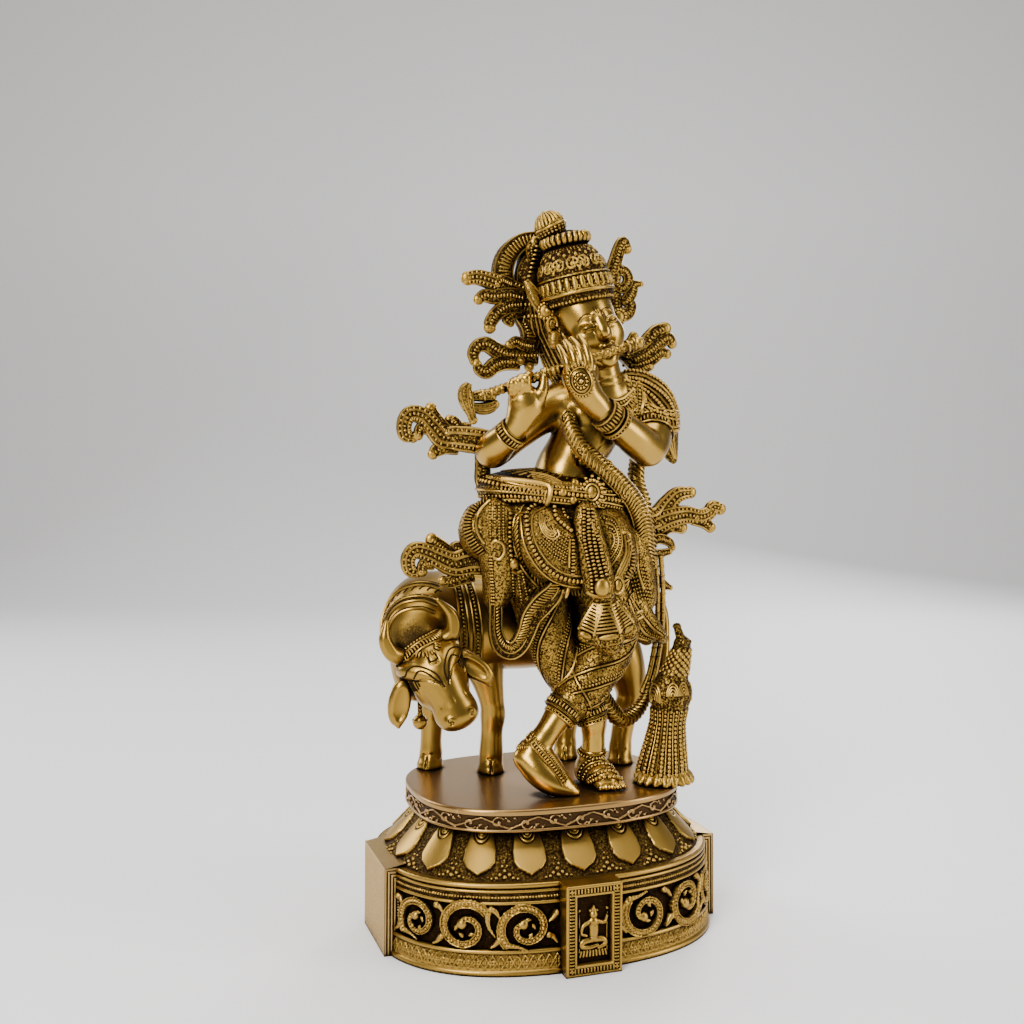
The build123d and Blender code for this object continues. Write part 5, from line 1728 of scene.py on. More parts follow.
head_up = unit([-0.33, -0.03, 0.944])
head_front = np.array([0.05, -0.99, -0.1])
head_front = unit(head_front - head_up * (head_front @ head_up))
head_left = np.cross(head_up, head_front) * -1.0
head_left = head_left * np.sign(head_left[0])
SKULL = np.stack([head_left, head_front, head_up], 1)
BROW_ROOM = np.array([16.6, -13.6, 193.0])


def on_face(side, front, up):
    return BROW_ROOM + SKULL @ np.array([side, front, up], float)


def make_head():
    clay = Clay((-4, -36, 166), (36, 8, 222), 0.27, far=4.0, pad=2.5)

    def egg(s, f, u, radii, k, carve=False):
        clay.egg(on_face(s, f, u), radii, SKULL, k, carve)

    def line(points, k, carve=False):
        clay.limb([tuple(on_face(*q[:3])) + (q[3],) for q in points], k, carve, step=0.5)

    egg(0, -3, 7, (12.8, 13.0, 14.0), 1)
    egg(0, 1.2, -3.5, (11.4, 10.8, 14.2), 4)
    egg(0, 4.0, -12.6, (7.0, 6.4, 5.8), 4)
    egg(0, 8.5, -15.3, (3.4, 2.4, 2.4), 3)
    for side in (-1, 1):
        egg(side * 6.0, 6.6, -4.8, (4.8, 3.4, 5.0), 4)
        egg(side * 4.9, 13.3, 0.6, (3.6, 1.8, 2.2), 2.4, carve=True)
    line([(0, 10.2, 3.6, 1.3), (0, 11.0, 0.8, 1.4), (0, 12.0, -2.0, 1.5), (0, 12.7, -3.8, 1.6)], 2.6)
    egg(0, 11.2, -3.6, (2.3, 2.0, 1.9), 1.8)
    for side in (-1, 1):
        egg(side * 1.5, 12.2, -4.8, (1.1, 1.3, 1.0), 1.0)
        egg(side * 4.9, 9.4, 0.5, (3.3, 2.5, 1.9), 0.9)
    line(
        [
            (-3.1, 10.5, -9.1, 0.45), (-1.4, 12.1, -8.6, 0.8), (0, 12.3, -8.9, 0.75),
            (1.4, 12.1, -8.6, 0.8), (3.1, 10.5, -9.1, 0.45)
        ],
        0.7
    )
    line([(-2.6, 10.7, -10.1, 0.55), (0, 12.0, -10.8, 1.05), (2.6, 10.7, -10.1, 0.55)], 0.7)
    egg(0, 12.6, -13.0, (2.4, 1.2, 0.8), 1.2, carve=True)
    for side in (-1, 1):
        egg(side * 12.2, -2.6, -1.5, (1.7, 2.9, 4.8), 0.8)
        egg(side * 13.8, -2.2, -1.2, (1.3, 1.7, 3.2), 0.5, carve=True)
        egg(side * 12.2, -1.4, -6.2, (1.5, 1.5, 1.8), 0.6)
    piece = Shape()
    clay.mesh(piece, patina=-0.15)
    # brows and lids stand proud; the lines between them are cut and dark
    for side in (-1, 1):
        def arc(*points):
            return [tuple(on_face(side * s, 13.6 - 0.045 * s * s, u)) for s, u in points]

        cord_on(piece, clay, arc((1.7, 4.3), (4.2, 5.7), (7.0, 5.4), (9.2, 3.9)), 0.42, step=0.4, lift=0.0)
        graver(piece, clay, arc((1.5, 5.0), (4.2, 6.5), (7.1, 6.1), (9.5, 4.4)), 0.2)
        cord_on(
            piece, clay, arc((2.1, 0.4), (3.3, 1.5), (5.0, 2.0), (6.9, 1.5), (8.4, 0.3)), 0.34, step=0.4,
            lift=0.1
        )
        cord_on(
            piece, clay, arc((2.2, 0.1), (3.8, -1.1), (5.8, -1.2), (7.6, -0.2), (8.3, 0.3)), 0.26, step=0.4,
            lift=0.1
        )
        graver(piece, clay, arc((2.4, 0.3), (4.0, 0.2), (5.8, 0.2), (7.8, 0.3)), 0.26)
        graver(piece, clay, arc((2.4, 2.0), (4.6, 3.1), (7.2, 2.5)), 0.17)
    graver(
        piece, clay,
        [
            on_face(a, 14, c)
            for a, c in ((-3.4, -9.45), (-1.5, -9.5), (0, -9.75), (1.5, -9.5), (3.4, -9.45))
        ],
        0.24
    )
    graver(
        piece, clay,
        [
            on_face(a, 14, c)
            for a, c in (
                (-0.95, 9.8), (-0.95, 7.8), (-0.6, 6.7), (0, 6.3), (0.6, 6.7), (0.95, 7.8), (0.95, 9.8)
            )
        ],
        0.24
    )
    finish_piece("head_cast", piece, ["head"], skin_metal)
    return clay


# ------------------------------------------------------------------ figure: feet
def make_feet():
    clay = Clay((-24, -38, -0.6), (10, -12, 38), 0.36, far=4.0, pad=2.0)
    clay.limb(
        [(3, -20.4, 34, 6.2), (-1.5, -21, 29, 5.0), (-5, -21.6, 24.5, 4.6), (-9, -22.4, 20, 5.0)], 1.5
    )
    clay.limb([(-12.5, -22.4, 17.0, 5.6), (-15.2, -22.4, 15.0, 4.6)], 2.5)
    clay.limb(
        [
            (-13.5, -23, 14.5, 5.4), (-9.5, -26.2, 9.0, 5.4), (-4.5, -29, 4.8, 4.4), (1, -31, 2.2, 2.5),
            (4.2, -32, 1.2, 1.2)
        ],
        2
    )
    clay.limb([(-8, -24.5, 16, 4.4), (-4, -27.2, 10, 3.8), (0, -29.8, 5, 2.6), (3.6, -31.6, 1.8, 1.2)], 1.5)
    clay.cut_below(0.0)
    piece = Shape()
    clay.mesh(piece, patina=-0.1)
    for shift, kind, r in (
        (0.0, "cord", 0.45), (0.75, "bead", 0.85), (1.5, "cord", 0.42), (2.175, "bead", 0.6)
    ):
        edge = [
            (-18.6, -36.0, 23.4), (-14.6, -36.0, 19.0), (-10.8, -38.0, 14.3), (-7.7, -39.0, 10.2),
            (-4.6, -40.0, 5.4)
        ]
        edge = shifted(edge, shift, 0, shift)
        if kind == "cord":
            drop_cord(piece, clay, edge, r)
        else:
            drop_beads(piece, clay, edge, r, r * 1.5, stretch=(0.62, 1.25, 0.8))
    back = [
        (-8.5, -17.0, 23.5), (-13.5, -17.2, 21.8), (-17.5, -19.0, 20.5), (-18.4, -22.5, 19.6),
        (-16.0, -27.0, 20.8)
    ]
    beads_on(piece, clay, back, 0.7, 1.15, stretch=(0.62, 1.3, 0.8), lift=0.3)
    cord_on(piece, clay, [(x, y, z + 1.5) for x, y, z in back], 0.4)
    finish_piece("left_foot_cast", piece, ["left_foot"], skin_metal)

    clay = Clay((6, -38, -0.6), (32, -8, 30), 0.36, far=4.0, pad=2.0)
    clay.limb(
        [(17.2, -17.8, 28, 5.6), (17.4, -17.4, 22, 4.4), (17.4, -17.2, 15, 4.4), (16.4, -15.5, 9, 5.2)], 1.5
    )
    clay.limb([(15.5, -13.5, 5.0, 4.9), (17.5, -21, 5.2, 5.2), (19.5, -26.5, 3.6, 4.6)], 2.5)
    for k in range(5):
        s = k - 2
        clay.limb(
            [
                (19.8 + s * 2.25, -27 + abs(s) * 0.3, 3.0, 1.9),
                (20.8 + s * 2.5, -31.2 + 0.5 * abs(s - 0.7), 1.5, 1.45 - 0.06 * k)
            ],
            0.5
        )
    clay.cut_below(0.0)
    piece = Shape()
    clay.mesh(piece, patina=-0.1)
    for y, z in ((-27.5, 7.2), (-24.5, 9.4), (-21.5, 11.0)):
        arc = [
            (11.5, y + 3, 3.5), (14.0, y + 0.8, z - 1.2), (18.8, y - 0.6, z), (23.5, y + 0.6, z - 1.6),
            (26.4, y + 3, 3.2)
        ]
        beads_on(piece, clay, arc, 0.8, 1.3, lift=0.2)
        cord_on(piece, clay, [(a, b + 1.4, c + 0.6) for a, b, c in arc], 0.4)
    scallop = [
        (11.0, -25.5, 2.4), (13.0, -28.2, 4.6), (16, -29.2, 5.6), (19.5, -29.8, 5.6), (23, -29.2, 5.2),
        (26, -27.6, 3.8), (27.2, -25.5, 2.2)
    ]
    beads_on(piece, clay, scallop, 1.05, 1.75, lift=0.1)
    around = [
        (17.3 + 5.6 * math.cos(a), -17.3 + 5.6 * math.sin(a), 13.2 + 0.9 * math.sin(a))
        for a in full_turn(16)
    ]
    beads_on(piece, clay, around, 0.85, 1.35, stretch=(0.7, 1.0, 1.2), closed=True)
    cord_on(piece, clay, [(x, y, z + 1.7) for x, y, z in around], 0.45, closed=True)
    finish_piece("right_foot_cast", piece, ["right_foot"], skin_metal)


body_clay = make_body()
make_hands()
make_head()
make_feet()


# ------------------------------------------------------------------ ornament vocabulary
def frond(shape, points, thick=0.62):
    """Scarf curl: a flat tapering stem with raised edges and a row of dots, closed by a round lobe."""
    p = curve(points, 0.55)
    t = tangents(p)
    up = np.array([0, -1.0, 0])
    side = unit(np.cross(t, up))
    r = p[:, 3]
    m = 14
    a = full_turn(m)
    prof = np.stack(
        [
            np.sign(np.cos(a)) * np.abs(np.cos(a)) ** 0.7,
            thick * np.sign(np.sin(a)) * np.abs(np.sin(a)) ** 0.8
        ],
        1
    )
    sweep(shape, p, prof, up=up, patina=0.8)
    beads(shape, p[-1:, :3], p[-1, 3] * 1.08, stretch=(1, thick, 1), fine=True, patina=0.25)
    for face in (-1, 1):
        y = np.array([0, 1.0, 0]) * face
        for e in ((-0.8, -0.42, 0.42, 0.8) if r.max() > 4.6 else (-0.76, 0.76)):
            edge = p[:, :3] + side * (r * e)[:, None] + y * (
                r * thick * (0.5 if abs(e) > 0.6 else 0.8)
            )[:, None]
            sweep(shape, np.column_stack([edge, r * 0.13 + 0.16]), circle_profile(6, 1, 1), up=y)
        pitch = max(1.0, float(r.mean()) * 0.42)
        q = resample(np.column_stack([p[:, :3], r]), pitch)
        for e in ((-0.6, 0.0, 0.6) if r.max() > 4.6 else (0.0,)):
            s2 = unit(np.cross(tangents(q), up))
            c = q[:, :3] + s2 * (q[:, 3] * e)[:, None] + y * (q[:, 3] * thick * 0.86)[:, None]
            beads(
                shape, c, np.minimum(0.27 * q[:, 3], 0.72), axes=bead_axes(c, y), stretch=(0.75, 1.1, 0.8)
            )


def ribbon(shape, points, thick=0.5, pitch=1.25, edge=0.3):
    """Flat band with a row of cross ribs and raised edges, seen from the front and the back."""
    p = curve(points, 0.6)
    up = np.array([0, -1.0, 0])
    a = full_turn(16)
    prof = np.stack(
        [
            np.sign(np.cos(a)) * np.abs(np.cos(a)) ** 0.5,
            thick * np.sign(np.sin(a)) * np.abs(np.sin(a)) ** 0.6
        ],
        1
    )
    sweep(shape, p, prof, up=up, patina=0.85)
    for face in (-1, 1):
        y = np.array([0, 1.0, 0]) * face
        t = tangents(p)
        side = unit(np.cross(t, up))
        for e in (-0.86, 0.86):
            line = p[:, :3] + side * (p[:, 3] * e)[:, None] + y * (p[:, 3] * thick * 0.8)[:, None]
            sweep(shape, line, circle_profile(6, edge, edge), up=y)
        q = resample(p, pitch)
        ax = bead_axes(q, y)
        for k in range(len(q)):
            r = q[k, 3]
            beads(
                shape, (q[k, :3] + y * r * thick * 0.9)[None], 1.0, axes=ax[k:k + 1],
                stretch=(pitch * 0.36, r * 0.62, 0.42),
            )


def tube(shape, points, step=0.6, facets=16, patina=0.7, flat=1.0, up=(0, -1, 0)):
    p = curve(points, step)
    sweep(shape, p, circle_profile(facets, 1, flat), up=up, patina=patina)
    return p


def rope_rings(shape, p, pitch=1.3, proud=0.35, lean=0.5, up=(0, -1, 0)):
    """Slanted ribs round a tube, like the leaves of a garland."""
    q = resample(p, pitch)
    t = tangents(q)
    upv = np.broadcast_to(np.asarray(up, float), t.shape)
    side = unit(np.cross(t, upv))
    out = np.cross(side, t)
    a = full_turn(18)
    for k in range(len(q)):
        r = q[k, 3]
        ring = q[k, :3] + r * (np.cos(a)[:, None] * side[k] + np.sin(a)[:, None] * out[k]) + t[k] * (
            (np.cos(a) if lean < 0 else np.abs(np.cos(a)) * 1.5 - 0.6) * r * lean
        )[:, None]
        sweep(shape, ring, circle_profile(6, proud, proud), up=unit(ring - q[k, :3]), closed=True)


def band_on_limb(shape, centre, axis, radius, width, rows="ribs", deep=0.55):
    """Bangle: a plain hoop with raised edges and a row of upright ribs or beads between them."""
    c = np.asarray(centre, float)
    ax = unit(axis)
    e1 = unit(np.cross(ax, [0.0, 0.3, 1.0]))
    e2 = np.cross(ax, e1)
    a = full_turn(56)
    ringdir = np.cos(a)[:, None] * e1 + np.sin(a)[:, None] * e2
    hoop = c + radius * ringdir
    prof = [
        (-width / 2, -1.2), (-width / 2, 0.25), (-width * 0.42, deep), (-width * 0.3, 0.2), (0, 0.1),
        (width * 0.3, 0.2), (width * 0.42, deep), (width / 2, 0.25), (width / 2, -1.2)
    ]
    sweep(shape, hoop, prof, up=unit(ringdir), closed=True, patina=0.8)
    for off in (-0.41, 0.41):
        sweep(
            shape, hoop + ax * width * off + ringdir * 0.25, circle_profile(8, 0.42, 0.42),
            up=unit(ringdir), closed=True
        )
    n = int(2 * math.pi * radius / (1.45 if rows == "ribs" else 1.6))
    b = full_turn(n)
    rd = np.cos(b)[:, None] * e1 + np.sin(b)[:, None] * e2
    pts = c + rd * (radius + 0.2)
    axes = np.stack([np.broadcast_to(ax, rd.shape), np.cross(unit(rd), ax), unit(rd)], -1)
    stretch = (width * 0.3, 0.44, 0.6) if rows == "ribs" else (0.62, 0.62, 0.55)
    beads(shape, pts, 1.0, axes=axes, stretch=stretch)


# ------------------------------------------------------------------ crown
crown_axis = unit([-0.20, 0.05, 0.98])
crown_foot = np.array([12.3, -10.5, 204.4])
crown_front = unit(np.array([0.05, -1.0, 0.0]) - crown_axis * (np.array([0.05, -1.0, 0.0]) @ crown_axis))


def turned(
    shape, profile, relief_fn, foot=crown_foot, axis=crown_axis, front=crown_front, cell=0.3, patina=0.3
):
    """Turned form with a relief; relief_fn(relief, length, height) draws on the unrolled skin."""
    prof = resample(np.asarray(profile, float), cell)
    run = np.concatenate([[0], np.cumsum(np.hypot(*np.diff(prof, axis=0).T))])
    mean_r = float(np.max(prof[:, 0]))
    length = 2 * math.pi * mean_r
    relief = Relief(length, run[-1], cell, wrap=True)
    relief_fn(relief, length, run[-1])
    s, t = relief.coordinates()
    r = np.interp(t, run, prof[:, 0])
    h = np.interp(t, run, prof[:, 1])
    d = np.gradient(prof, axis=0)
    nr = np.interp(t, run, d[:, 1])
    nh = np.interp(t, run, -d[:, 0])
    size = np.maximum(np.hypot(nr, nh), 1e-6)
    hgt = relief.h * np.clip(r / 2.5, 0, 1)
    r = r + hgt * nr / size
    h = h + hgt * nh / size
    a = 2 * math.pi * s / length
    side = np.cross(front, axis)
    v = foot + r[..., None] * (
        np.cos(a)[..., None] * front + np.sin(a)[..., None] * side
    ) + h[..., None] * axis
    dark = patina * (1 - np.clip(relief.h / 0.45, 0, 1))
    shape.add(
        v.reshape(-1, 3), grid_quads(relief.ns, relief.nt, wrap_rows=True)[:, ::-1], patina=dark.reshape(-1)
    )


def make_crown():
    piece = Shape()
    profile = [
        (11.4, -2.6), (14.4, -2.2), (15.3, -0.8), (15.6, 1.9), (15.5, 4.6), (15.0, 9.2), (13.6, 14.4),
        (11.4, 18.6), (9.3, 21.4), (8.0, 22.4), (8.0, 23.0), (9.4, 23.3), (10.2, 24.6), (9.8, 26.2),
        (7.6, 27.3), (5.4, 27.9), (3.6, 28.6), (1.2, 28.9)
    ]

    def draw(re, L, H):
        x = np.linspace(0, L, 200)
        t_bead, t_rim, t_stud, t_line = 5.0, 7.4, 11.2, 14.6
        re.row(np.stack([x, 0 * x + t_bead - 1.1], 1), 1.7, 0.72, 0.6)
        re.stroke(np.stack([x, 0 * x + t_rim], 1), 0.75, 0.75)
        n = 30
        for k in range(n):
            s = L * k / n
            for j in range(5):
                re.stroke(
                    [(s - 0.1, t_stud - 1.6 + j * 0.8), (s + 0.1, t_stud - 1.5 + j * 0.8)],
                    1.15 - 0.12 * abs(j - 2), 0.75
                )
            re.dot(s + L / n / 2, t_stud + 1.7, 0.5, 0.5)
            re.dot(s + L / n / 2, t_stud - 1.7, 0.5, 0.5)
        re.stroke(np.stack([x, 0 * x + t_line], 1), 0.45, 0.5)
        re.stroke(np.stack([x, 0 * x + 8.7], 1), 0.35, 0.35)
        # floral panel
        m = 8
        for k in range(m):
            s0 = L * k / m
            for turn, flip in ((0, 1), (0.5, -1)):
                s1 = s0 + turn * L / m
                w = np.linspace(0, 2.2 * math.pi, 26)
                rr = 3.3 * (1 - w / 9.5)
                re.stroke(np.stack([s1 + flip * rr * np.cos(w), 19.2 + rr * np.sin(w)], 1), 0.55, 0.65)
                re.dot(s1, 19.2, 1.0, 0.8)
                for j in range(6):
                    b = j * math.pi / 3
                    re.dot(s1 + 1.75 * math.cos(b), 19.2 + 1.75 * math.sin(b), 0.55, 0.45)
                for j in range(3):
                    re.stroke(
                        [(s1 + flip * (3.4 + j), 16.2 + j * 2), (s1 + flip * (2.4 + j), 18.0 + j * 1.9)],
                        0.5, 0.55
                    )
                re.dot(s1 + L / m / 4, 23.6, 0.9, 0.6)
                re.dot(s1, 25.0, 0.8, 0.55)
        for t in (26.2, 27.2):
            re.row(np.stack([x, 0 * x + t], 1), 2.3, 0.5, 0.4)
        # ribbed collar
        for k in range(26):
            s = L * k / 26
            re.stroke([(s, H - 12.8), (s, H - 9.2)], 1.5, 0.9)
        re.h += 0.05 * rng.standard_normal(re.h.shape)

    turned(piece, profile, draw, patina=0.95)
    finish_ornament(piece, "crown")

    piece = Shape()
    R = 6.4
    a = np.linspace(-0.5 * math.pi + 0.35, 0.5 * math.pi - 0.02, 40)
    profile = [(2.6, -3.6)] + [(R * math.cos(q) * 1.0, 3.6 + R * 0.98 * math.sin(q)) for q in a]

    def draw_ball(re, L, H):
        for k in range(22):
            s = L * k / 22
            re.stroke([(s, H * 0.56), (s, H * 0.9)], 0.75, 0.5)
            re.row([(s + L / 44, H * 0.2), (s + L / 44, H * 0.42)], 1.5, 0.55, 0.45)
        x = np.linspace(0, L, 160)
        re.stroke(np.stack([x, 0 * x + H * 0.48], 1), 0.55, 0.5)
        re.stroke(np.stack([x, 0 * x + H * 0.9], 1), 0.4, 0.4)
        re.row(np.stack([x, 0 * x + H * 0.53], 1), 1.3, 0.45, 0.4)

    lean = unit([-0.42, 0.05, 0.9])
    face = unit(np.array([0.05, -1.0, 0.0]) - lean * (np.array([0.05, -1.0, 0.0]) @ lean))
    seat = np.array([2.4, -8.7, 231.0])
    turned(piece, profile, draw_ball, foot=seat, axis=lean, front=face, patina=0.85)
    beads(piece, (seat + lean * (3.1 + R * 0.98))[None], 1.4, fine=True)
    finish_ornament(piece, "crown_finial")


def make_crest():
    piece = Shape()
    arch = [
        (-1.6, 2.0, 231.0, 3.0), (-8.1, 3.0, 229.2, 3.6), (-13.7, 4.0, 223.9, 4.4),
        (-16.1, 4.0, 217.5, 4.6), (-15.1, 4.0, 211.2, 4.4), (-11.5, 4.0, 205.0, 4.2),
        (-7.8, 4.0, 199.4, 4.2), (-4.7, 3.0, 193.6, 4.2), (-4.2, 3.0, 187.8, 4.0), (-7.8, 2.0, 183.0, 3.8),
        (-13.1, 1.0, 181.7, 3.2)
    ]
    ribbon(piece, arch, thick=0.62, pitch=1.5, edge=0.42)
    inner = [
        (1.1, 3.0, 225.0, 2.4), (-4.3, 3.5, 222.6, 2.6), (-7.5, 4.0, 216.7, 2.8), (-6.8, 4.0, 211.0, 2.8),
        (-2.8, 4.0, 205.3, 2.8), (1.5, 4.0, 197.3, 2.8), (2.8, 4.0, 189.2, 2.8), (2.2, 4.0, 182.2, 2.6)
    ]
    ribbon(piece, inner, thick=0.7, pitch=1.2, edge=0.3)
    for c, r in (
        ((-12.8, 0.0, 186.0), 2.4), ((-16.7, 0.0, 183.6), 2.2), ((-9.8, -0.0, 179.1), 2.4),
        ((-15.0, 0.0, 178.3), 2.2), ((-5.5, 0.0, 176.6), 2.2)
    ):
        w = full_turn(16)
        c = np.array(c)
        beads(piece, c[None], r, stretch=(1, 0.8, 1), fine=True, patina=0.25)
        ring = c + np.stack([np.cos(w) * r * 0.62, 0 * w - r * 0.62, np.sin(w) * r * 0.62], 1)
        sweep(piece, ring, circle_profile(6, 0.32, 0.32), up=(0, -1, 0), closed=True)
        beads(piece, (c + [0, -r * 0.7, 0])[None], 0.6)
    frond(
        piece,
        [(-3.2, 3.0, 216.8, 3.0), (-3.3, 2.0, 221.2, 2.6), (-4.5, 1.0, 226.2, 2.6), (-2.8, 0.0, 229.0, 2.4)]
    )
    for k in range(9):
        f = k / 8
        c = np.array([-1.9, -1.0, 227.2]) * (1 - f) + np.array([-5.5, -0.0, 212.8]) * f
        beads(piece, c[None], 1.3, stretch=(1.3, 0.7, 0.5))
    finish_ornament(piece, "crest_arch")


def make_hair():
    clay = Clay((-18, -16, 160), (38, 22, 232), 0.5, far=4.0, pad=3.0)
    clay.limb(
        [
            (3.1, 5.0, 231.8, 3.0), (-1.5, 6.0, 224.8, 4.6), (-3.4, 6.0, 216.0, 5.6),
            (-2.5, 5.0, 205.4, 6.4), (-0.4, 4.0, 196.1, 7.0)
        ],
        2
    )
    clay.limb([(6, 2, 200, 9.5), (11, 4, 190, 10.5), (16, 4.5, 178, 10.5), (21, 4, 169, 9.0)], 2)
    clay.egg((9, 3, 197), (12, 9, 10), k=4)
    piece = Shape()
    clay.mesh(piece, patina=0.9)
    for k in range(34):
        a = 2 * math.pi * k / 34
        line = [
            (6 + 11 * math.cos(a), 2 + 11 * math.sin(a), 203),
            (11 + 12 * math.cos(a), 4 + 12 * math.sin(a), 190),
            (16 + 11.5 * math.cos(a + 0.12), 4.5 + 11.5 * math.sin(a + 0.12), 178),
            (20.5 + 9 * math.cos(a + 0.3), 4 + 9 * math.sin(a + 0.3), 167)
        ]
        cord_on(piece, clay, line, 0.5, step=0.8, lift=0.1, patina=0.35)
    for z in (199, 194.5):
        ring = [
            (9 + 14 * math.cos(a), 2.5 + 13 * math.sin(a), z - 0.36 * 10 * math.cos(a))
            for a in full_turn(24)
        ]
        beads_on(piece, clay, ring, 0.9, 1.7, closed=True)
    finish_ornament(piece, "hair")


def make_ears():
    piece = Shape()
    plume = [
        (-2.7, -10.0, 199.3, 2.6), (-5.6, -9.0, 203.9, 2.9), (-7.8, -8.0, 208.4, 2.3),
        (-9.4, -7.0, 211.6, 1.2)
    ]
    p = curve(plume, 0.5)
    sweep(piece, p, circle_profile(14, 1, 0.5), up=(0, -1, 0), patina=0.35)
    for e in (-0.8, 0.8, 0.0):
        side = unit(np.cross(tangents(p), [0, -1.0, 0]))
        sweep(
            piece,
            np.column_stack(
                [
                    p[:, :3] + side * (p[:, 3] * e)[:, None] + [0, -1, 0] * (p[:, 3:4] * 0.34),
                    0.22 + 0.09 * p[:, 3]
                ]
            ),
            circle_profile(6, 1, 1)
        )
    boss = np.array([-3.0, -13.0, 198.8])
    beads(piece, boss[None], 3.0, stretch=(1, 0.7, 1), fine=True, patina=0.2)
    w = full_turn(14)
    beads(piece, boss + np.stack([3.1 * np.cos(w), 0 * w - 0.5, 3.1 * np.sin(w)], 1), 0.75)
    beads(piece, (boss + [0, -2.0, 0])[None], 1.1)
    ear = np.array([-0.1, -13.0, 193.5])
    w = np.linspace(-0.3, 4.4, 22)
    sweep(
        piece, ear + np.stack([2.1 * np.cos(w), 0 * w - 0.5, 3.0 * np.sin(w)], 1),
        circle_profile(8, 0.75, 0.75)
    )
    w = np.linspace(0.3, 3.6, 14)
    sweep(
        piece, ear + np.stack([0.9 * np.cos(w), 0 * w - 1.0, 1.5 * np.sin(w)], 1),
        circle_profile(8, 0.5, 0.5)
    )
    beads(piece, ear[None], 2.3, stretch=(0.8, 0.5, 1.2), fine=True, patina=0.3)
    drop_c = np.array([0.7, -14.0, 187.2])
    beads(piece, drop_c[None], 3.2, stretch=(0.85, 0.8, 1.2), fine=True, patina=0.3)
    for k in range(-2, 3):
        w = full_turn(16)
        rr = 3.0 * math.cos(k * 0.45)
        sweep(
            piece,
            drop_c + np.stack(
                [0.85 * rr * np.cos(w), 0.8 * rr * np.sin(w), 0 * w + 3.5 * math.sin(k * 0.45)], 1
            ),
            circle_profile(6, 0.3, 0.3), closed=True
        )
    # other ear: disc with a hanging bead row
    other = np.array([29.8, -12.5, 197.5])
    beads(piece, other[None], 3.1, stretch=(1, 0.8, 1), fine=True, patina=0.2)
    w = full_turn(14)
    beads(piece, other + np.stack([3.0 * np.cos(w), 0 * w - 1.2, 3.0 * np.sin(w)], 1), 0.7)
    beads(piece, curve([(30.5, -13, 193.5), (31.2, -13, 189.0), (31.3, -12.6, 185)], 1.5), 1.3)
    finish_ornament(piece, "ear_ornaments")


def make_flute():
    piece = Shape()
    a, b = np.array([31.0, -31, 185.5]), np.array([-37.0, -28.5, 162.5])
    n = 150
    path = a + (b - a) * np.linspace(0, 1, n)[:, None]
    size = 1.95 + 0.22 * np.sin(np.arange(n) * 1.35)
    sweep(piece, np.column_stack([path, size]), circle_profile(18, 1, 1), patina=0.45)
    for f in (0.03, 0.07, 0.42, 0.6, 0.97):
        c = a + (b - a) * f
        ax = unit(b - a)
        w = full_turn(24)
        e1 = unit(np.cross(ax, [0, 1.0, 0]))
        e2 = np.cross(ax, e1)
        sweep(
            piece, c + 2.3 * (np.cos(w)[:, None] * e1 + np.sin(w)[:, None] * e2),
            circle_profile(8, 0.5, 0.45), up=unit(np.cos(w)[:, None] * e1 + np.sin(w)[:, None] * e2),
            closed=True
        )
    beads(piece, a[None], 2.5, fine=True)
    for lobe in (
        [
            (-40.6, -28.5, 167.8, 1.5), (-41.8, -28.5, 165.2, 3.1), (-41.7, -28.5, 162.2, 3.5),
            (-40.9, -28.5, 158.9, 2.8), (-39.8, -28.5, 156.1, 2.0), (-38.9, -28.5, 153.6, 1.9)
        ],
        [(-39.7, -28.5, 162.8, 1.8), (-35.8, -28.5, 163.1, 2.4), (-31.5, -28.5, 163.4, 2.5)],
        [
            (-39.5, -28.5, 158.7, 1.8), (-35.5, -28.5, 158.0, 2.5), (-31.8, -28.5, 158.6, 2.5),
            (-29.9, -28.5, 159.7, 1.9)
        ],
    ):
        p = tube(piece, lobe, patina=0.5, flat=0.62)
        beads(piece, p[-1:, :3], p[-1, 3] * 1.02, stretch=(1, 0.62, 1), fine=True, patina=0.3)
        side = unit(np.cross(tangents(p), [0, -1.0, 0]))
        for e in (-0.62, 0.0, 0.62):
            line = p[:, :3] + side * (p[:, 3] * e)[:, None] - [0, 1, 0] * (
                p[:, 3:4] * 0.62 * math.sqrt(1 - e * e)
            )
            sweep(piece, line, circle_profile(6, 0.36, 0.36), up=(0, -1, 0))
    finish_ornament(piece, "flute")


def make_bands():
    piece = Shape()
    band_on_limb(piece, (-21.2, -22.6, 148.0), (4.2, -5.5, 5.4), 5.9, 5.0)
    band_on_limb(piece, (17.2, -31.8, 155.4), (-8.5, -3.0, 5.3), 6.1, 7.0)
    band_on_limb(piece, (17.2 + 4.4, -30.4, 152.7), (-8.5, -3.0, 5.3), 6.9, 2.0)
    band_on_limb(piece, (45.2, -13.4, 149.2), (-2.5, -8, -8), 9.0, 6.4)
    finish_ornament(piece, "arm_bands")


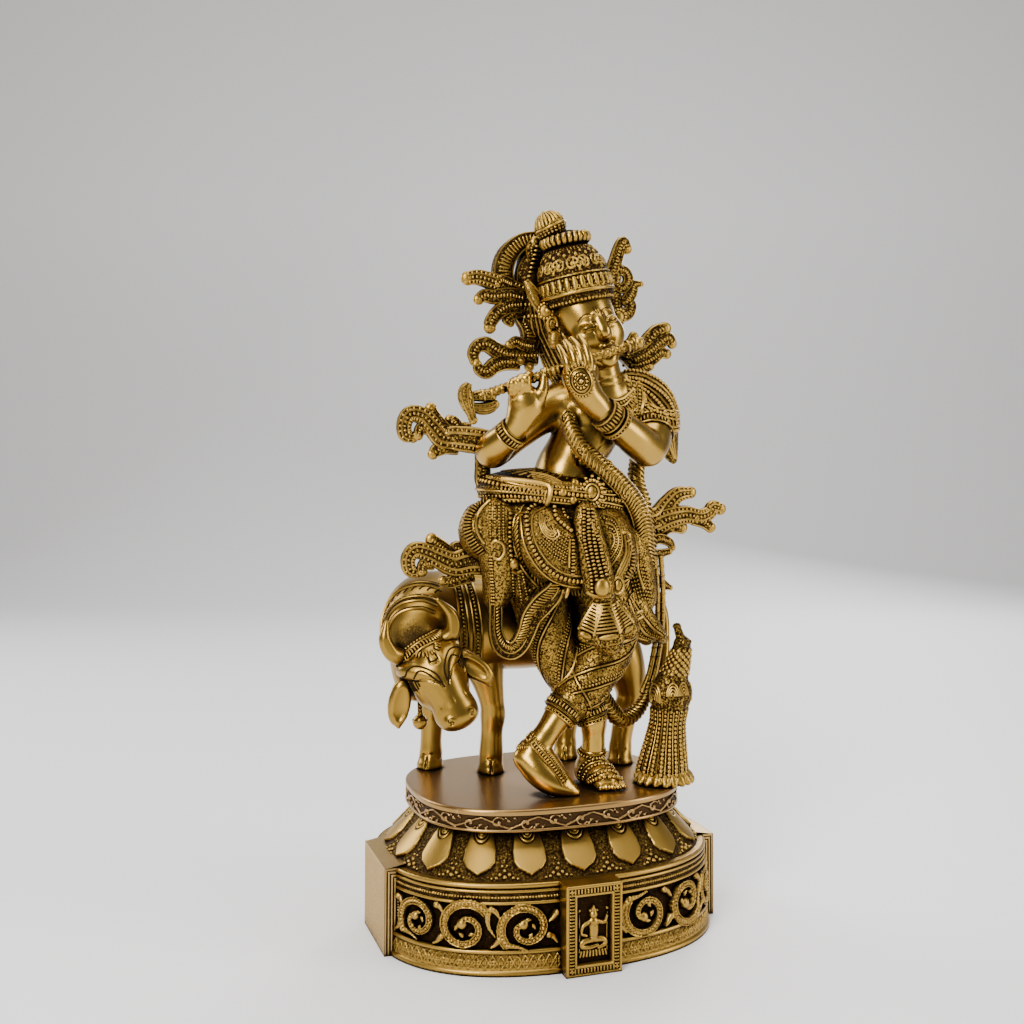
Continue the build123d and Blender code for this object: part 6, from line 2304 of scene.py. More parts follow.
def make_necklace():
    piece = Shape()
    top = [
        (12.5, -13.0, 166.0), (16.0, -17.8, 163.8), (23.0, -19.8, 162.2), (30.0, -18.6, 163.0),
        (35.5, -13.5, 166.6)
    ]
    cord_on(piece, body_clay, top, 0.55)
    beads_on(piece, body_clay, [(x, y, z - 1.6) for x, y, z in top], 0.72, 1.5)
    cord_on(piece, body_clay, [(x, y, z - 3.0) for x, y, z in top], 0.42)
    beads_on(
        piece, body_clay, [(x, y - 0.5, z - 4.8) for x, y, z in top], 0.85, 1.35, stretch=(0.55, 1.9, 0.8)
    )
    cord_on(piece, body_clay, [(x, y - 1.0, z - 6.9) for x, y, z in top], 0.4)
    beads_on(piece, body_clay, [(x, y - 1.0, z - 8.3) for x, y, z in top[1:-1]], 0.85, 1.9)
    # long string down the chest with a round boss
    for s in (0, 2.4, 4.8):
        beads_on(
            piece, body_clay,
            [(38.5 - s, -11, 168), (37.5 - s, -16, 160), (35.0 - s, -19, 152), (31.0 - s, -20, 145)], 0.8,
            1.5, stretch=(0.8, 1.1, 0.8)
        )
        cord_on(
            piece, body_clay,
            [(39.7 - s, -11, 168), (38.7 - s, -16, 160), (36.2 - s, -19, 152), (32.2 - s, -20, 145)], 0.3
        )
    boss = body_clay.snap(np.array([[30.5, -24.0, 155.5]]), toward=np.array([0, 1.0, 0]), rounds=30)[0]
    beads(piece, boss[None], 2.0, stretch=(1, 0.8, 1), fine=True)
    w = full_turn(24)
    sweep(
        piece, boss + np.stack([3.0 * np.cos(w), 0 * w - 0.6, 3.0 * np.sin(w)], 1),
        circle_profile(8, 0.45, 0.45), closed=True
    )
    finish_ornament(piece, "necklace")


def make_garland():
    piece = Shape()
    front = [
        (3.7, -19.0, 156.5, 2.9), (5.6, -21.5, 149.2, 3.5), (9.7, -23.5, 141.8, 3.9),
        (16.6, -24.5, 135.1, 4.0), (25.9, -23.0, 127.5, 4.3), (33.9, -20.0, 119.3, 4.5),
        (38.8, -17.0, 109.7, 4.6), (41.0, -15.0, 100.1, 4.4), (43.1, -14.0, 92.7, 3.6)
    ]
    p = tube(piece, front, patina=0.35)
    rope_rings(piece, p, pitch=1.75, proud=0.5, lean=0.55)
    t = tangents(p)
    side = unit(np.cross(t, [0, -1.0, 0]))
    out = np.cross(side, t)
    for k, turn in ((5, 0.2), (28, 0.6), (47, -0.8), (70, 0.5), (92, -0.4), (112, 0.5), (132, -0.4)):
        if k < len(p):
            c = p[k, :3] + out[k] * p[k, 3] * 0.9 + side[k] * turn
            beads(piece, c[None], 1.2, stretch=(1, 0.7, 1), fine=True)
            for f in (2.1, 3.1):
                w = full_turn(22)
                ring = c + (
                    np.cos(w)[:, None] * side[k] + np.sin(w)[:, None] * t[k]
                ) * f - out[k] * (f * f * 0.09)
                sweep(piece, ring, circle_profile(6, 0.34, 0.34), up=out[k], closed=True)
            w = full_turn(12)
            beads(piece, c + (np.cos(w)[:, None] * side[k] + np.sin(w)[:, None] * t[k]) * 2.2, 0.5)
    for off in (-0.85, 0.9):
        line = p[:, :3] + side * (p[:, 3] * off)[:, None] + out * (p[:, 3] * 0.5)[:, None]
        sweep(piece, line, circle_profile(6, 0.4, 0.4), up=out)
    back = [
        (43, -4, 137, 3.2), (41.6, -6.0, 128.0, 3.5), (43.5, -7.0, 119.7, 3.8), (44.4, -8.0, 111.4, 3.8),
        (45.4, -10.0, 100.8, 3.6), (46.0, -11.0, 91.4, 3.0)
    ]
    p = tube(piece, back, patina=0.4)
    rope_rings(piece, p, pitch=2.0, proud=0.5, lean=-0.6)
    # leaves hanging from the end
    for pts in (
        [
            (47.3, -8.0, 101.2, 2.0), (52.4, -7.0, 102.6, 2.4), (57.5, -6.0, 100.8, 2.0),
            (59.1, -6.0, 98.3, 1.4)
        ],
        [(48.0, -8.0, 97.0, 2.0), (52.4, -7.0, 96.2, 2.0), (57.5, -6.0, 96.8, 1.5)],
        [
            (45.7, -9.0, 87.6, 2.4), (51.4, -8.0, 84.3, 2.4), (55.1, -7.0, 82.0, 2.0),
            (57.7, -7.0, 81.0, 1.2)
        ],
        [(43.0, -12.0, 90.4, 3.0), (41.9, -13.0, 84.6, 3.0), (43.1, -12.0, 78.5, 2.6)],
    ):
        frond(piece, pts, thick=0.8)
    finish_ornament(piece, "garland")

    piece = Shape()
    for dx in (-1.3, 1.3):
        p = tube(
            piece,
            [
                (49.5 + dx, -12, 95, 1.15), (51 + dx, -11, 80, 1.1), (51.2 + dx, -10, 64, 1.1),
                (48.8 + dx, -9, 46, 1.2), (45 + dx, -9, 36, 1.3)
            ],
            patina=0.1, facets=10
        )
        q = resample(p, 4.0)
        beads(piece, q[:, :3], 1.45, stretch=(1, 1, 0.5))
    p = tube(
        piece,
        [
            (47.0, -9, 40, 1.6), (45, -9, 33, 2.4), (40, -9, 27, 3.3), (33.5, -9, 25, 3.6),
            (27.5, -9, 31, 3.6), (23, -7, 40, 3.3), (20, -5, 48, 3.0)
        ],
        patina=0.35
    )
    rope_rings(piece, p, pitch=1.7, proud=0.5, lean=0.45)
    finish_ornament(piece, "garland_cords")


def make_shawl():
    clay = Clay((24, -28, 128), (70, 14, 182), 0.42, far=4.0, pad=2.5)
    clay.limb(
        [
            (32, -7, 169, 4.2), (39, -6, 167.5, 7.6), (45.6, -6, 163.5, 9.2), (48.4, -8.0, 157.5, 9.3),
            (48.6, -11.0, 151.5, 8.9)
        ],
        2
    )
    clay.limb([(56, -2, 152, 6.0), (58, -2, 144, 4.2), (61, -2.5, 136.5, 1.4)], 2)
    piece = Shape()
    clay.mesh(piece, patina=0.6)
    for k in range(10):
        a = -1.5 + k * 0.3
        c, s = math.cos(a), math.sin(a)
        line = [
            (34 + 1.5 * s, -12 * c - 4, 170 + 5 * s), (41 + 3 * s, -15 * c - 5, 167 + 8 * s),
            (48 + 8 * s, -15 * c - 6, 160 + 6 * s), (51 + 11 * s, -14 * c - 9, 151 + s)
        ]
        if k % 2:
            beads_on(piece, clay, line, 0.95, 1.6)
        else:
            cord_on(piece, clay, line, 0.5)
    for line in (
        [(39, -22, 156.5), (46, -23, 152.5), (54, -22, 150.8), (62, -14, 152.0), (63, -6, 154)],
        [(38, -18, 163.0), (46, -20, 159.5), (54, -18, 158.0), (62, -11, 159.0), (62, -4, 160)],
    ):
        cord_on(piece, clay, line, 0.6)
        beads_on(piece, clay, [(x, y, z - 1.9) for x, y, z in line], 0.95, 1.6)
        cord_on(piece, clay, [(x, y, z - 3.6) for x, y, z in line], 0.55)
    for off in (-1.8, 0, 1.8):
        cord_on(
            piece, clay, [(56 + off, -9, 150), (58 + off * 0.8, -8.5, 143), (60.8 + off * 0.3, -5, 137.5)],
            0.5
        )
    finish_piece("shawl_cast", piece, ["shawl"], cloth_metal)


SCROLLS = {
    "scarf_scroll_head_right": [
        [
            (-4.8, 2.0, 205.0, 5.0), (-10.9, 2.0, 207.7, 4.8), (-17.1, 1.0, 210.2, 4.2),
            (-23.1, 0.0, 212.1, 3.6), (-28.5, -0.0, 213.3, 3.2), (-32.5, 0.0, 212.7, 2.8)
        ],
        [
            (-9.2, 0.0, 205.3, 3.8), (-15.6, -1.0, 206.1, 3.6), (-21.6, -1.0, 205.3, 3.2),
            (-25.8, -1.0, 205.7, 2.8), (-28.1, -1.0, 204.1, 2.2)
        ],
        [
            (-9.8, 0.0, 202.4, 3.8), (-15.6, -1.0, 201.5, 3.6), (-20.2, -1.0, 198.5, 3.2),
            (-22.8, -1.0, 195.0, 2.9), (-23.3, -1.0, 192.7, 2.6)
        ],
        [
            (-8.8, 1.0, 200.2, 3.0), (-12.8, 0.0, 198.8, 2.8), (-15.6, -0.0, 196.4, 2.2),
            (-13.8, 0.0, 194.7, 1.6)
        ],
        [(-14.0, 0.0, 210.8, 2.8), (-18.0, -1.0, 212.2, 2.4), (-19.8, -1.0, 210.5, 2.0)],
    ],
    "scarf_scroll_shoulder_right": [
        [
            (-1.7, 2.0, 181.4, 4.2), (-8.8, 1.0, 181.2, 4.0), (-15.2, -0.0, 181.5, 3.8),
            (-20.4, -1.0, 183.1, 3.6), (-24.6, -1.0, 185.4, 3.4), (-28.5, -1.0, 184.8, 3.0),
            (-30.5, -1.0, 181.7, 2.7), (-30.0, -1.0, 178.7, 2.2)
        ],
        [
            (-10.0, 1.0, 178.3, 3.4), (-16.5, 0.0, 178.3, 3.6), (-21.4, -1.0, 176.8, 3.6),
            (-25.0, -2.0, 174.1, 3.2), (-28.2, -2.0, 174.9, 2.6), (-29.1, -2.0, 177.0, 2.0)
        ],
        [
            (-3.9, 1.0, 185.3, 3.0), (-8.5, -0.0, 185.7, 2.8), (-11.9, -1.0, 187.0, 2.4),
            (-14.6, -1.0, 185.4, 2.0)
        ],
    ],
    "scarf_scroll_elbow_right": [
        [
            (-20.3, -8.0, 142.9, 4.6), (-25.0, -6.0, 144.4, 5.2), (-32.2, -4.0, 145.6, 5.6),
            (-39.3, -2.0, 146.4, 5.2), (-44.3, -1.0, 146.9, 4.6), (-48.4, -1.0, 151.5, 4.2),
            (-52.8, 0.0, 155.7, 3.8), (-57.6, 0.0, 156.2, 3.4), (-59.9, 0.0, 152.5, 3.2),
            (-59.5, 0.0, 147.8, 2.9), (-56.2, 0.0, 146.7, 2.2)
        ],
        [
            (-41.4, -1.0, 146.9, 4.2), (-45.5, -1.0, 152.0, 3.6), (-47.8, 0.0, 156.0, 3.0),
            (-48.6, 0.0, 158.6, 2.4)
        ],
        [
            (-32.8, -2.0, 149.2, 3.6), (-37.0, -1.0, 150.6, 3.2), (-39.0, -1.0, 153.2, 2.6),
            (-40.5, 0.0, 154.0, 2.0)
        ],
        [
            (-37.8, -1.0, 143.5, 4.2), (-43.2, -1.0, 143.0, 3.6), (-46.4, 0.0, 141.2, 3.0),
            (-47.8, -0.0, 139.8, 2.2)
        ],
        [(-49.0, -1.0, 150.1, 2.8), (-53.0, -1.0, 150.5, 2.6), (-54.4, -1.0, 147.7, 2.2)],
        [
            (-27.4, -4.0, 140.1, 3.4), (-27.4, -4.0, 134.4, 3.4), (-27.2, -4.0, 128.6, 3.6),
            (-24.7, -5.0, 125.8, 3.2)
        ],
    ],
    "scarf_scroll_hip_right": [
        [
            (-25.6, -2.0, 95.7, 7.0), (-32.6, -1.0, 95.2, 6.2), (-39.2, -1.0, 94.0, 5.4),
            (-45.1, -1.0, 96.2, 4.6), (-50.7, 0.0, 98.9, 4.0), (-55.7, 0.0, 99.9, 3.5),
            (-58.6, -0.0, 96.5, 3.1), (-57.9, -0.0, 91.8, 2.8), (-54.8, 0.0, 90.8, 2.2)
        ],
        [
            (-38.6, -1.0, 95.2, 3.8), (-42.4, -0.0, 99.4, 3.4), (-46.6, -0.0, 102.7, 3.0),
            (-48.4, 0.0, 104.2, 2.6)
        ],
        [(-34.4, -1.0, 98.2, 3.4), (-37.7, 0.0, 100.5, 3.0), (-40.2, -0.0, 99.0, 2.2)],
        [
            (-31.4, -1.0, 90.0, 4.2), (-36.8, -1.0, 88.2, 3.6), (-41.0, -1.0, 86.3, 2.8),
            (-43.8, -1.0, 86.9, 2.0)
        ],
        [(-48.0, -1.0, 94.3, 2.8), (-52.2, -1.0, 94.0, 2.6), (-52.8, -1.0, 91.2, 2.2)],
    ],
    "scarf_scroll_head_left": [
        [
            (35.0, 2.0, 192.2, 3.8), (34.3, 2.0, 199.3, 3.8), (33.9, 1.0, 206.3, 3.6),
            (32.1, 0.0, 212.0, 3.4), (32.4, 0.0, 217.9, 3.4), (34.0, -0.0, 223.2, 3.2),
            (35.6, 0.0, 228.0, 3.0), (37.4, 0.0, 231.0, 2.7), (39.2, 0.0, 228.2, 2.2)
        ],
        [
            (38.6, 0.0, 205.2, 3.0), (41.4, -0.0, 209.4, 2.8), (42.4, 0.0, 212.6, 2.4),
            (45.8, 0.0, 213.4, 1.3)
        ],
        [
            (36.0, -0.0, 199.8, 3.2), (39.7, 0.0, 200.5, 3.0), (41.2, -0.0, 204.1, 2.6),
            (38.6, 0.0, 205.8, 2.2)
        ],
        [
            (34.9, 0.0, 219.2, 2.6), (38.1, -1.0, 218.0, 2.4), (39.4, -1.0, 214.5, 2.4),
            (36.8, -1.0, 210.9, 2.2), (34.0, -1.0, 212.5, 2.0), (34.5, -1.0, 215.3, 1.6)
        ],
    ],
    "scarf_scroll_neck_left": [
        [
            (40.1, 3.0, 178.2, 4.6), (44.8, 2.0, 183.0, 4.2), (48.9, 1.0, 187.8, 3.8),
            (53.0, 0.0, 192.6, 3.4), (57.6, 0.0, 194.5, 2.8)
        ],
        [
            (43.1, 1.0, 180.5, 3.8), (49.1, -0.0, 183.5, 3.6), (54.4, 0.0, 187.8, 3.2),
            (59.0, 0.0, 190.3, 2.8), (61.0, -0.0, 188.0, 2.2)
        ],
        [
            (44.4, 1.0, 178.1, 3.6), (50.5, -0.0, 180.6, 3.2), (55.1, 0.0, 183.7, 2.8),
            (58.4, -0.0, 183.4, 2.2)
        ],
        [(41.8, 1.0, 175.7, 3.4), (45.9, -0.0, 176.3, 3.0), (49.8, 0.0, 178.2, 2.6)],
        [(39.2, 1.0, 181.6, 3.0), (40.6, 0.0, 186.3, 2.8), (42.6, 0.0, 190.5, 2.2)],
    ],
    "scarf_scroll_hip_left": [
        [
            (46.9, -3.0, 109.3, 6.4), (53.5, -3.0, 111.5, 5.6), (57.7, -3.0, 116.9, 4.4),
            (62.2, -4.0, 121.5, 3.6), (68.6, -4.0, 122.5, 2.6)
        ],
        [
            (50.9, -3.0, 108.6, 5.6), (58.3, -4.0, 111.5, 4.8), (66.3, -4.0, 112.6, 4.2),
            (72.5, -5.0, 111.7, 3.6), (77.2, -5.0, 113.3, 3.2), (79.2, -5.0, 116.0, 3.0),
            (82.8, -5.0, 115.0, 2.6)
        ],
        [(52.2, -3.0, 105.5, 4.0), (58.4, -4.0, 107.9, 3.4), (64.4, -4.0, 106.9, 2.6)],
        [(69.9, -5.0, 111.3, 3.4), (74.6, -5.0, 109.4, 3.0), (78.0, -5.0, 106.9, 2.4)],
    ],
}


def make_scrolls():
    for name, fronds in SCROLLS.items():
        piece = Shape()
        for pts in fronds:
            frond(piece, pts)
        finish_piece(name + "_cast", piece, [name], figure_metal)


make_crown()
make_crest()
make_hair()
make_ears()
make_flute()
make_bands()
make_necklace()
make_garland()
make_shawl()
make_scrolls()


# ------------------------------------------------------------------ cloth on hips and legs
def speckle(shape, clay, amount=0.16, pitch=1.1):
    """Hammered ground: pushes the newest vertices in and out in a fine random pattern."""
    v = shape.v[-1]
    n = clay.normal(v)
    w = 2 * math.pi / pitch
    a = np.sin(
        v[:, 0] * w + 1.7 * np.sin(v[:, 2] * w * 0.31)
    ) * np.sin(
        v[:, 2] * w + 1.3 * np.sin(v[:, 0] * w * 0.43)
    ) * np.sin(v[:, 1] * w * 0.9 + v[:, 0] * w * 0.37)
    shape.v[-1] = v + n * (amount * a)[:, None]


LEFT_LEG = [
    (14, -8, 112, 15), (17, -8.5, 104, 14.5), (22, -11, 84, 12), (25.5, -14, 62, 10.4),
    (15, -17.5, 45, 8.8), (4.5, -20, 34, 6.6)
]
RIGHT_LEG = [(-6, -6, 110, 15), (-4, -7, 85, 12), (1, -8, 62, 9.4), (9, -13, 43, 7.8), (15.8, -17, 31, 6.2)]


def helix(leg, start, end, a0, turns):
    p = curve(leg, 0.8)
    i0, i1 = int(start * (len(p) - 1)), int(end * (len(p) - 1))
    p = p[i0:i1]
    t = tangents(p)
    side = unit(np.cross(t, [0.0, -1.0, 0.0]))
    out = np.cross(side, t)
    a = a0 + np.linspace(0, turns * 2 * math.pi, len(p))
    return p[:, :3] + p[:, 3:4] * (np.sin(a)[:, None] * side + np.cos(a)[:, None] * out)


def make_cloth():
    clay = Clay((-40, -42, 26), (62, 16, 134), 0.5, far=5.0, pad=3.0)
    clay.egg((8, -5, 115), (25.5, 17, 17), k=1)
    clay.limb([(-14, -5, 113, 13), (8, -6, 114, 15), (26, -6, 111, 14)], 5)
    clay.limb(LEFT_LEG, 3, step=2)
    clay.limb(RIGHT_LEG, 2, step=2)
    # aprons: two rounded lappets
    clay.limb(
        [
            (-10.7, -20.0, 113.8, 4.0), (-11.4, -22.0, 106.8, 6.0), (-6.9, -24.0, 98.0, 6.5),
            (0.6, -26.0, 91.9, 6.0), (8.2, -26.0, 90.0, 4.0)
        ],
        4
    )
    clay.limb([(-5.1, -19.0, 112.5, 7.0), (-2.7, -22.0, 104.3, 9.0), (1.3, -24.0, 96.7, 8.0)], 4)
    clay.limb(
        [
            (19.5, -20.0, 111.5, 6.0), (23.8, -20.0, 103.5, 8.0), (25.3, -21.0, 94.5, 7.0),
            (23.2, -23.0, 89.2, 5.0)
        ],
        4
    )
    # side drapes
    clay.limb([(-30.6, -8.0, 114.0, 5.5), (-30.6, -8.0, 106.2, 7.0), (-26.0, -10.0, 101.8, 6.0)], 3)
    clay.limb(
        [
            (-24.3, -12.0, 116.3, 7.0), (-22.6, -12.0, 104.1, 7.5), (-22.0, -12.0, 90.2, 6.5),
            (-24.7, -13.0, 79.2, 4.0)
        ],
        3
    )
    clay.limb([(-16.8, -14.0, 98.5, 5.0), (-14.5, -14.0, 88.4, 4.5), (-12.7, -14.0, 81.6, 3.0)], 2)
    clay.limb(
        [
            (34.4, -14.0, 105.1, 6.0), (38.0, -13.0, 93.4, 6.5), (40.4, -12.0, 83.4, 6.0),
            (43.0, -12.0, 76.4, 4.5)
        ],
        3
    )
    clay.limb(
        [
            (34.7, -15.0, 79.9, 4.0), (40.9, -14.0, 70.9, 4.0), (47.7, -13.0, 62.9, 3.2),
            (52.0, -12.0, 59.6, 2.2)
        ],
        2
    )
    clay.limb([(33.7, -16.0, 77.2, 3.6), (37.3, -15.0, 67.1, 3.6), (43.4, -14.0, 59.8, 2.6)], 2)
    piece = Shape()
    clay.mesh(piece, patina=0.52)
    speckle(piece, clay, 0.2)

    def cord(points, r, **kw):
        drop_cord(piece, clay, points, r, **kw)

    def dots(points, r, pitch, **kw):
        drop_beads(piece, clay, points, r, pitch, **kw)

    # right-hand lappet: round edge, big square beads, ribbed outer frill, nested inner leaves
    rim = [
        (-6.9, -24.0, 121.0), (-14.6, -26.0, 117.4), (-16.1, -28.0, 111.6), (-15.4, -30.0, 104.7),
        (-11.5, -32.0, 96.7), (-5.6, -33.0, 91.4), (1.0, -34.0, 88.9), (6.8, -34.0, 88.4)
    ]
    dots(rim, 1.15, 1.75, stretch=(0.72, 0.95, 0.8), lift=0.35)
    cord(
        [
            (-4.6, -24.0, 119.4), (-12.3, -26.0, 115.8), (-14.0, -28.0, 111.0), (-13.2, -30.0, 104.7),
            (-9.5, -32.0, 97.7), (-4.1, -33.0, 93.0), (1.6, -34.0, 90.9), (6.8, -34.0, 90.4)
        ],
        0.42
    )
    cord(
        [
            (-9.3, -24.0, 122.7), (-17.2, -26.0, 118.6), (-18.4, -28.0, 111.7), (-17.7, -30.0, 103.7),
            (-13.5, -32.0, 95.1), (-7.3, -33.0, 89.3), (0.1, -34.0, 86.5), (7.1, -34.0, 86.0)
        ],
        0.5
    )
    frill = curve(
        [
            (-16.5, -25.0, 116.1), (-19.4, -26.0, 113.7), (-20.4, -28.0, 107.4), (-19.5, -29.0, 99.9),
            (-16.0, -30.0, 92.8), (-10.6, -31.0, 87.3), (-2.9, -32.0, 83.9), (7.6, -32.0, 82.7)
        ],
        1.7
    )
    q, n = drop(clay, frill, 1.7)
    axes = bead_axes(q, n)
    c, s = math.cos(0.7), math.sin(0.7)
    axes = np.stack(
        [axes[..., 0] * c + axes[..., 1] * s, -axes[..., 0] * s + axes[..., 1] * c, axes[..., 2]], -1
    )
    beads(piece, q + n * 0.25, 1.0, axes=axes, stretch=(0.62, 2.3, 0.6))
    cord(
        [
            (-17.4, -25.0, 116.6), (-20.6, -26.0, 113.8), (-21.5, -27.0, 107.4), (-20.5, -28.0, 99.3),
            (-17.0, -29.0, 91.7), (-11.4, -30.0, 85.6)
        ],
        0.6
    )
    cord(
        [
            (-10.3, -27.0, 116.3), (-11.0, -29.0, 111.6), (-9.1, -30.0, 107.3), (-5.6, -30.0, 105.6),
            (-3.3, -30.0, 107.1), (-3.9, -30.0, 109.3)
        ],
        0.42
    )
    inner = [
        (-10.3, -27.0, 116.3), (-11.0, -29.0, 111.6), (-9.1, -30.0, 107.3), (-5.6, -30.0, 105.6),
        (-3.9, -30.0, 107.7)
    ]
    for k in (1, 2, 3):
        cord(shrunk(inner, (-6.4, -29.0, 112.0), 0.16 * k), 0.42)
    for k in range(9):
        dots(
            [
                (-11.4 + 0.7 * k, -30.0, 104.1 + 0.784 * k), (-7.1 + 0.84 * k, -31.0, 99.7 + 0.896 * k),
                (-1.7 + 0.336 * k, -32.0, 96.4 + 1.12 * k)
            ],
            0.42, 1.15
        )
    cord([(0.6, -32.0, 105.6), (0.3, -32.0, 99.6), (-0.1, -33.0, 94.2)], 0.5)
    dots([(2.0, -32.0, 105.0), (1.8, -33.0, 99.6), (1.7, -33.0, 91.5)], 0.95, 1.35, stretch=(0.6, 1.2, 0.8))
    # necklet of beads that hangs from the buckle
    dots(
        [
            (-0.9, -28.0, 128.2), (-4.2, -30.0, 125.1), (-5.3, -31.0, 119.7), (-5.2, -32.0, 114.9),
            (-2.7, -33.0, 111.7), (0.4, -34.0, 109.0)
        ],
        1.0, 1.7, lift=0.4
    )
    dots([(-1.4, -31.0, 117.5), (-0.9, -32.0, 114.8), (1.3, -33.0, 113.7)], 0.8, 1.5)
    # left-hand lappet: concentric dotted leaf with feathered edge
    leaf = [
        (17.6, -26.0, 115.2), (22.6, -27.0, 113.0), (24.9, -28.0, 106.3), (24.4, -28.0, 99.7),
        (19.6, -30.0, 93.3)
    ]
    for k in range(5):
        nested = shrunk(leaf, (20.4, -28.0, 104.2), 0.17 * k)
        if k % 2:
            dots(nested, 0.5, 1.1)
        else:
            cord(nested, 0.4)
    for k in range(3):
        cord(
            shifted(
                [(27.6, -24.0, 106.0), (27.8, -25.0, 99.3), (24.5, -27.0, 92.9), (20.7, -29.0, 87.6)],
                1.21 * k, 0, 0.22 * k
            ),
            0.55
        )
    q, n = drop(
        clay,
        [
            (30.9, -20.0, 103.9), (33.0, -20.0, 98.8), (32.5, -20.0, 92.5), (29.1, -22.0, 87.7),
            (31.6, -22.0, 82.0)
        ],
        1.5
    )
    beads(piece, q + n * 0.2, 1.0, axes=bead_axes(q, n), stretch=(0.55, 1.9, 0.7))
    # frill on the hip and rows of dots down the side drapes
    fan = curve(
        [
            (-27.2, -10.0, 121.3), (-30.9, -9.0, 119.1), (-34.1, -8.0, 115.2), (-35.3, -8.0, 109.7),
            (-33.0, -8.0, 104.0), (-29.2, -9.0, 99.0)
        ],
        1.3
    )
    q, n = drop(clay, fan, 1.3)
    beads(piece, q + n * 0.2, 1.0, axes=bead_axes(q, n), stretch=(0.45, 2.5, 0.7))
    cord(
        [
            (-26.7, -12.0, 120.8), (-29.8, -11.0, 117.5), (-32.1, -11.0, 113.1), (-31.6, -11.0, 107.6),
            (-29.0, -12.0, 103.1)
        ],
        0.6
    )
    cord(
        [
            (-27.4, -16.0, 103.4), (-25.6, -16.0, 104.5), (-22.7, -16.0, 103.3), (-21.9, -16.0, 100.0),
            (-23.9, -16.0, 97.0), (-26.2, -16.0, 97.9), (-25.9, -16.0, 100.1)
        ],
        0.7
    )
    for across in (0.0, 2.03, 3.77, 5.51):
        dots(
            shifted([(-27.9, -16.0, 119.4), (-28.2, -17.0, 112.8), (-28.0, -17.0, 105.1)], across, 0, 0),
            0.55, 1.2
        )
    dots(
        [(-19.9, -18.0, 115.5), (-20.4, -19.0, 109.0), (-20.3, -19.0, 102.4), (-19.7, -19.0, 96.8)], 1.0,
        1.8, stretch=(0.7, 1.1, 0.8)
    )
    beads(
        piece, drop(clay, [(-18.5, -19.0, 95.1), (-17.6, -19.0, 94.0)], 1)[0][:1], 2.3,
        stretch=(1, 0.8, 1.1), fine=True
    )
    cord([(-20.0, -19.0, 92.2), (-17.9, -19.0, 91.3), (-15.6, -19.0, 92.0)], 0.9)
    for head, foot in ((0.0, 0.8625), (0.575, 1.725), (9.315, 10.35), (10.925, 13.8), (12.3625, 16.675)):
        dots(
            [
                (-28.9 + head, -19.0, 98.2), (-28.9 + (head + foot) / 2, -19.0, 88.3),
                (-28.9 + foot, -19.0, 78.5)
            ],
            0.7, 1.3, stretch=(0.8, 1.0, 0.8)
        )
    # right of the sash: hanging leaves
    for line in (
        [(34.5, -18.0, 105.4), (36.1, -18.0, 97.4), (37.1, -18.0, 89.9), (40.1, -17.0, 82.3)],
        [(32.3, -19.0, 79.9), (37.2, -18.0, 73.3), (43.9, -17.0, 66.0), (49.5, -16.0, 61.5)],
        [(31.7, -19.0, 78.8), (35.3, -18.0, 71.1), (40.8, -17.0, 63.2), (47.6, -16.0, 60.4)],
        [(30.7, -20.0, 76.1), (33.0, -19.0, 69.0), (36.6, -18.0, 62.4), (42.1, -17.0, 60.0)],
    ):
        cord(line, 0.6)
        dots([(a + 1.3, b, c + 0.5) for a, b, c in line], 0.5, 1.15)
    for z in np.arange(0, 1, 0.11):
        a = np.array([35.8, -18.0, 92.8]) * (1 - z) + np.array([40.1, -17.0, 77.7]) * z
        dots([tuple(a + [-3.4, 0, -0.6]), tuple(a + [0, -1, 0.4]), tuple(a + [4.0, 0, -0.4])], 0.62, 1.3)
    # leggings: helical bands with dots between them
    for leg, start, end, phases in (
        (LEFT_LEG, 0.42, 0.97, (0.0, 0.9, 1.8, 3.1, 4.2, 5.2)),
        (RIGHT_LEG, 0.3, 0.97, (0.3, 1.5, 2.8, 4.0, 5.1))
    ):
        for k, a0 in enumerate(phases):
            h = helix(leg, start, end, a0 - 1.2, 0.62)
            h = clay.snap(h)
            n = clay.normal(h)
            sweep(piece, h + n * 0.15, circle_profile(6, 0.42, 0.42), up=n)
            for off in (-0.09, 0.09):
                q = clay.snap(helix(leg, start, end, a0 - 1.2 + off, 0.62))
                sweep(piece, q, circle_profile(6, 0.34, 0.3), up=clay.normal(q), patina=1.4)
            if k % 2 == 0:
                for off in (0.2, 0.38):
                    g = clay.snap(resample(helix(leg, start, end, a0 - 1.2 + off, 0.62), 1.35))
                    n = clay.normal(g)
                    beads(piece, g + n * 0.1, 0.62, axes=bead_axes(g, n), stretch=(0.75, 1.1, 0.7))
            else:
                g = clay.snap(resample(helix(leg, start, end, a0 - 1.2 + 0.35, 0.62), 3.4))
                n = clay.normal(g)
                axes = bead_axes(g, n)
                for lean in (-0.6, 0.0, 0.6):
                    c, s = math.cos(lean), math.sin(lean)
                    ax = np.stack(
                        [
                            axes[..., 0] * c + axes[..., 1] * s, -axes[..., 0] * s + axes[..., 1] * c,
                            axes[..., 2]
                        ],
                        -1
                    )
                    beads(piece, g + n * 0.1 + ax[..., 0] * 0.8, 1.0, axes=ax, stretch=(1.1, 0.34, 0.4))
    # folds round the left knee
    for k, (z, r) in enumerate(((71.5, 11.2), (68.6, 11.2), (65.5, 11), (62.5, 10.8))):
        arc = [
            (
                25 + (r + 1) * math.sin(a), -13.5 - (r + 1) * math.cos(a),
                z - 1.4 * math.cos(a) + 2.0 * math.sin(a)
            )
            for a in np.linspace(-1.5, 1.9, 12)
        ]
        cord_on(piece, clay, arc, 0.75, lift=0.2)
        beads_on(piece, clay, [(x, y, zz - 1.5) for x, y, zz in arc], 0.5, 1.1)
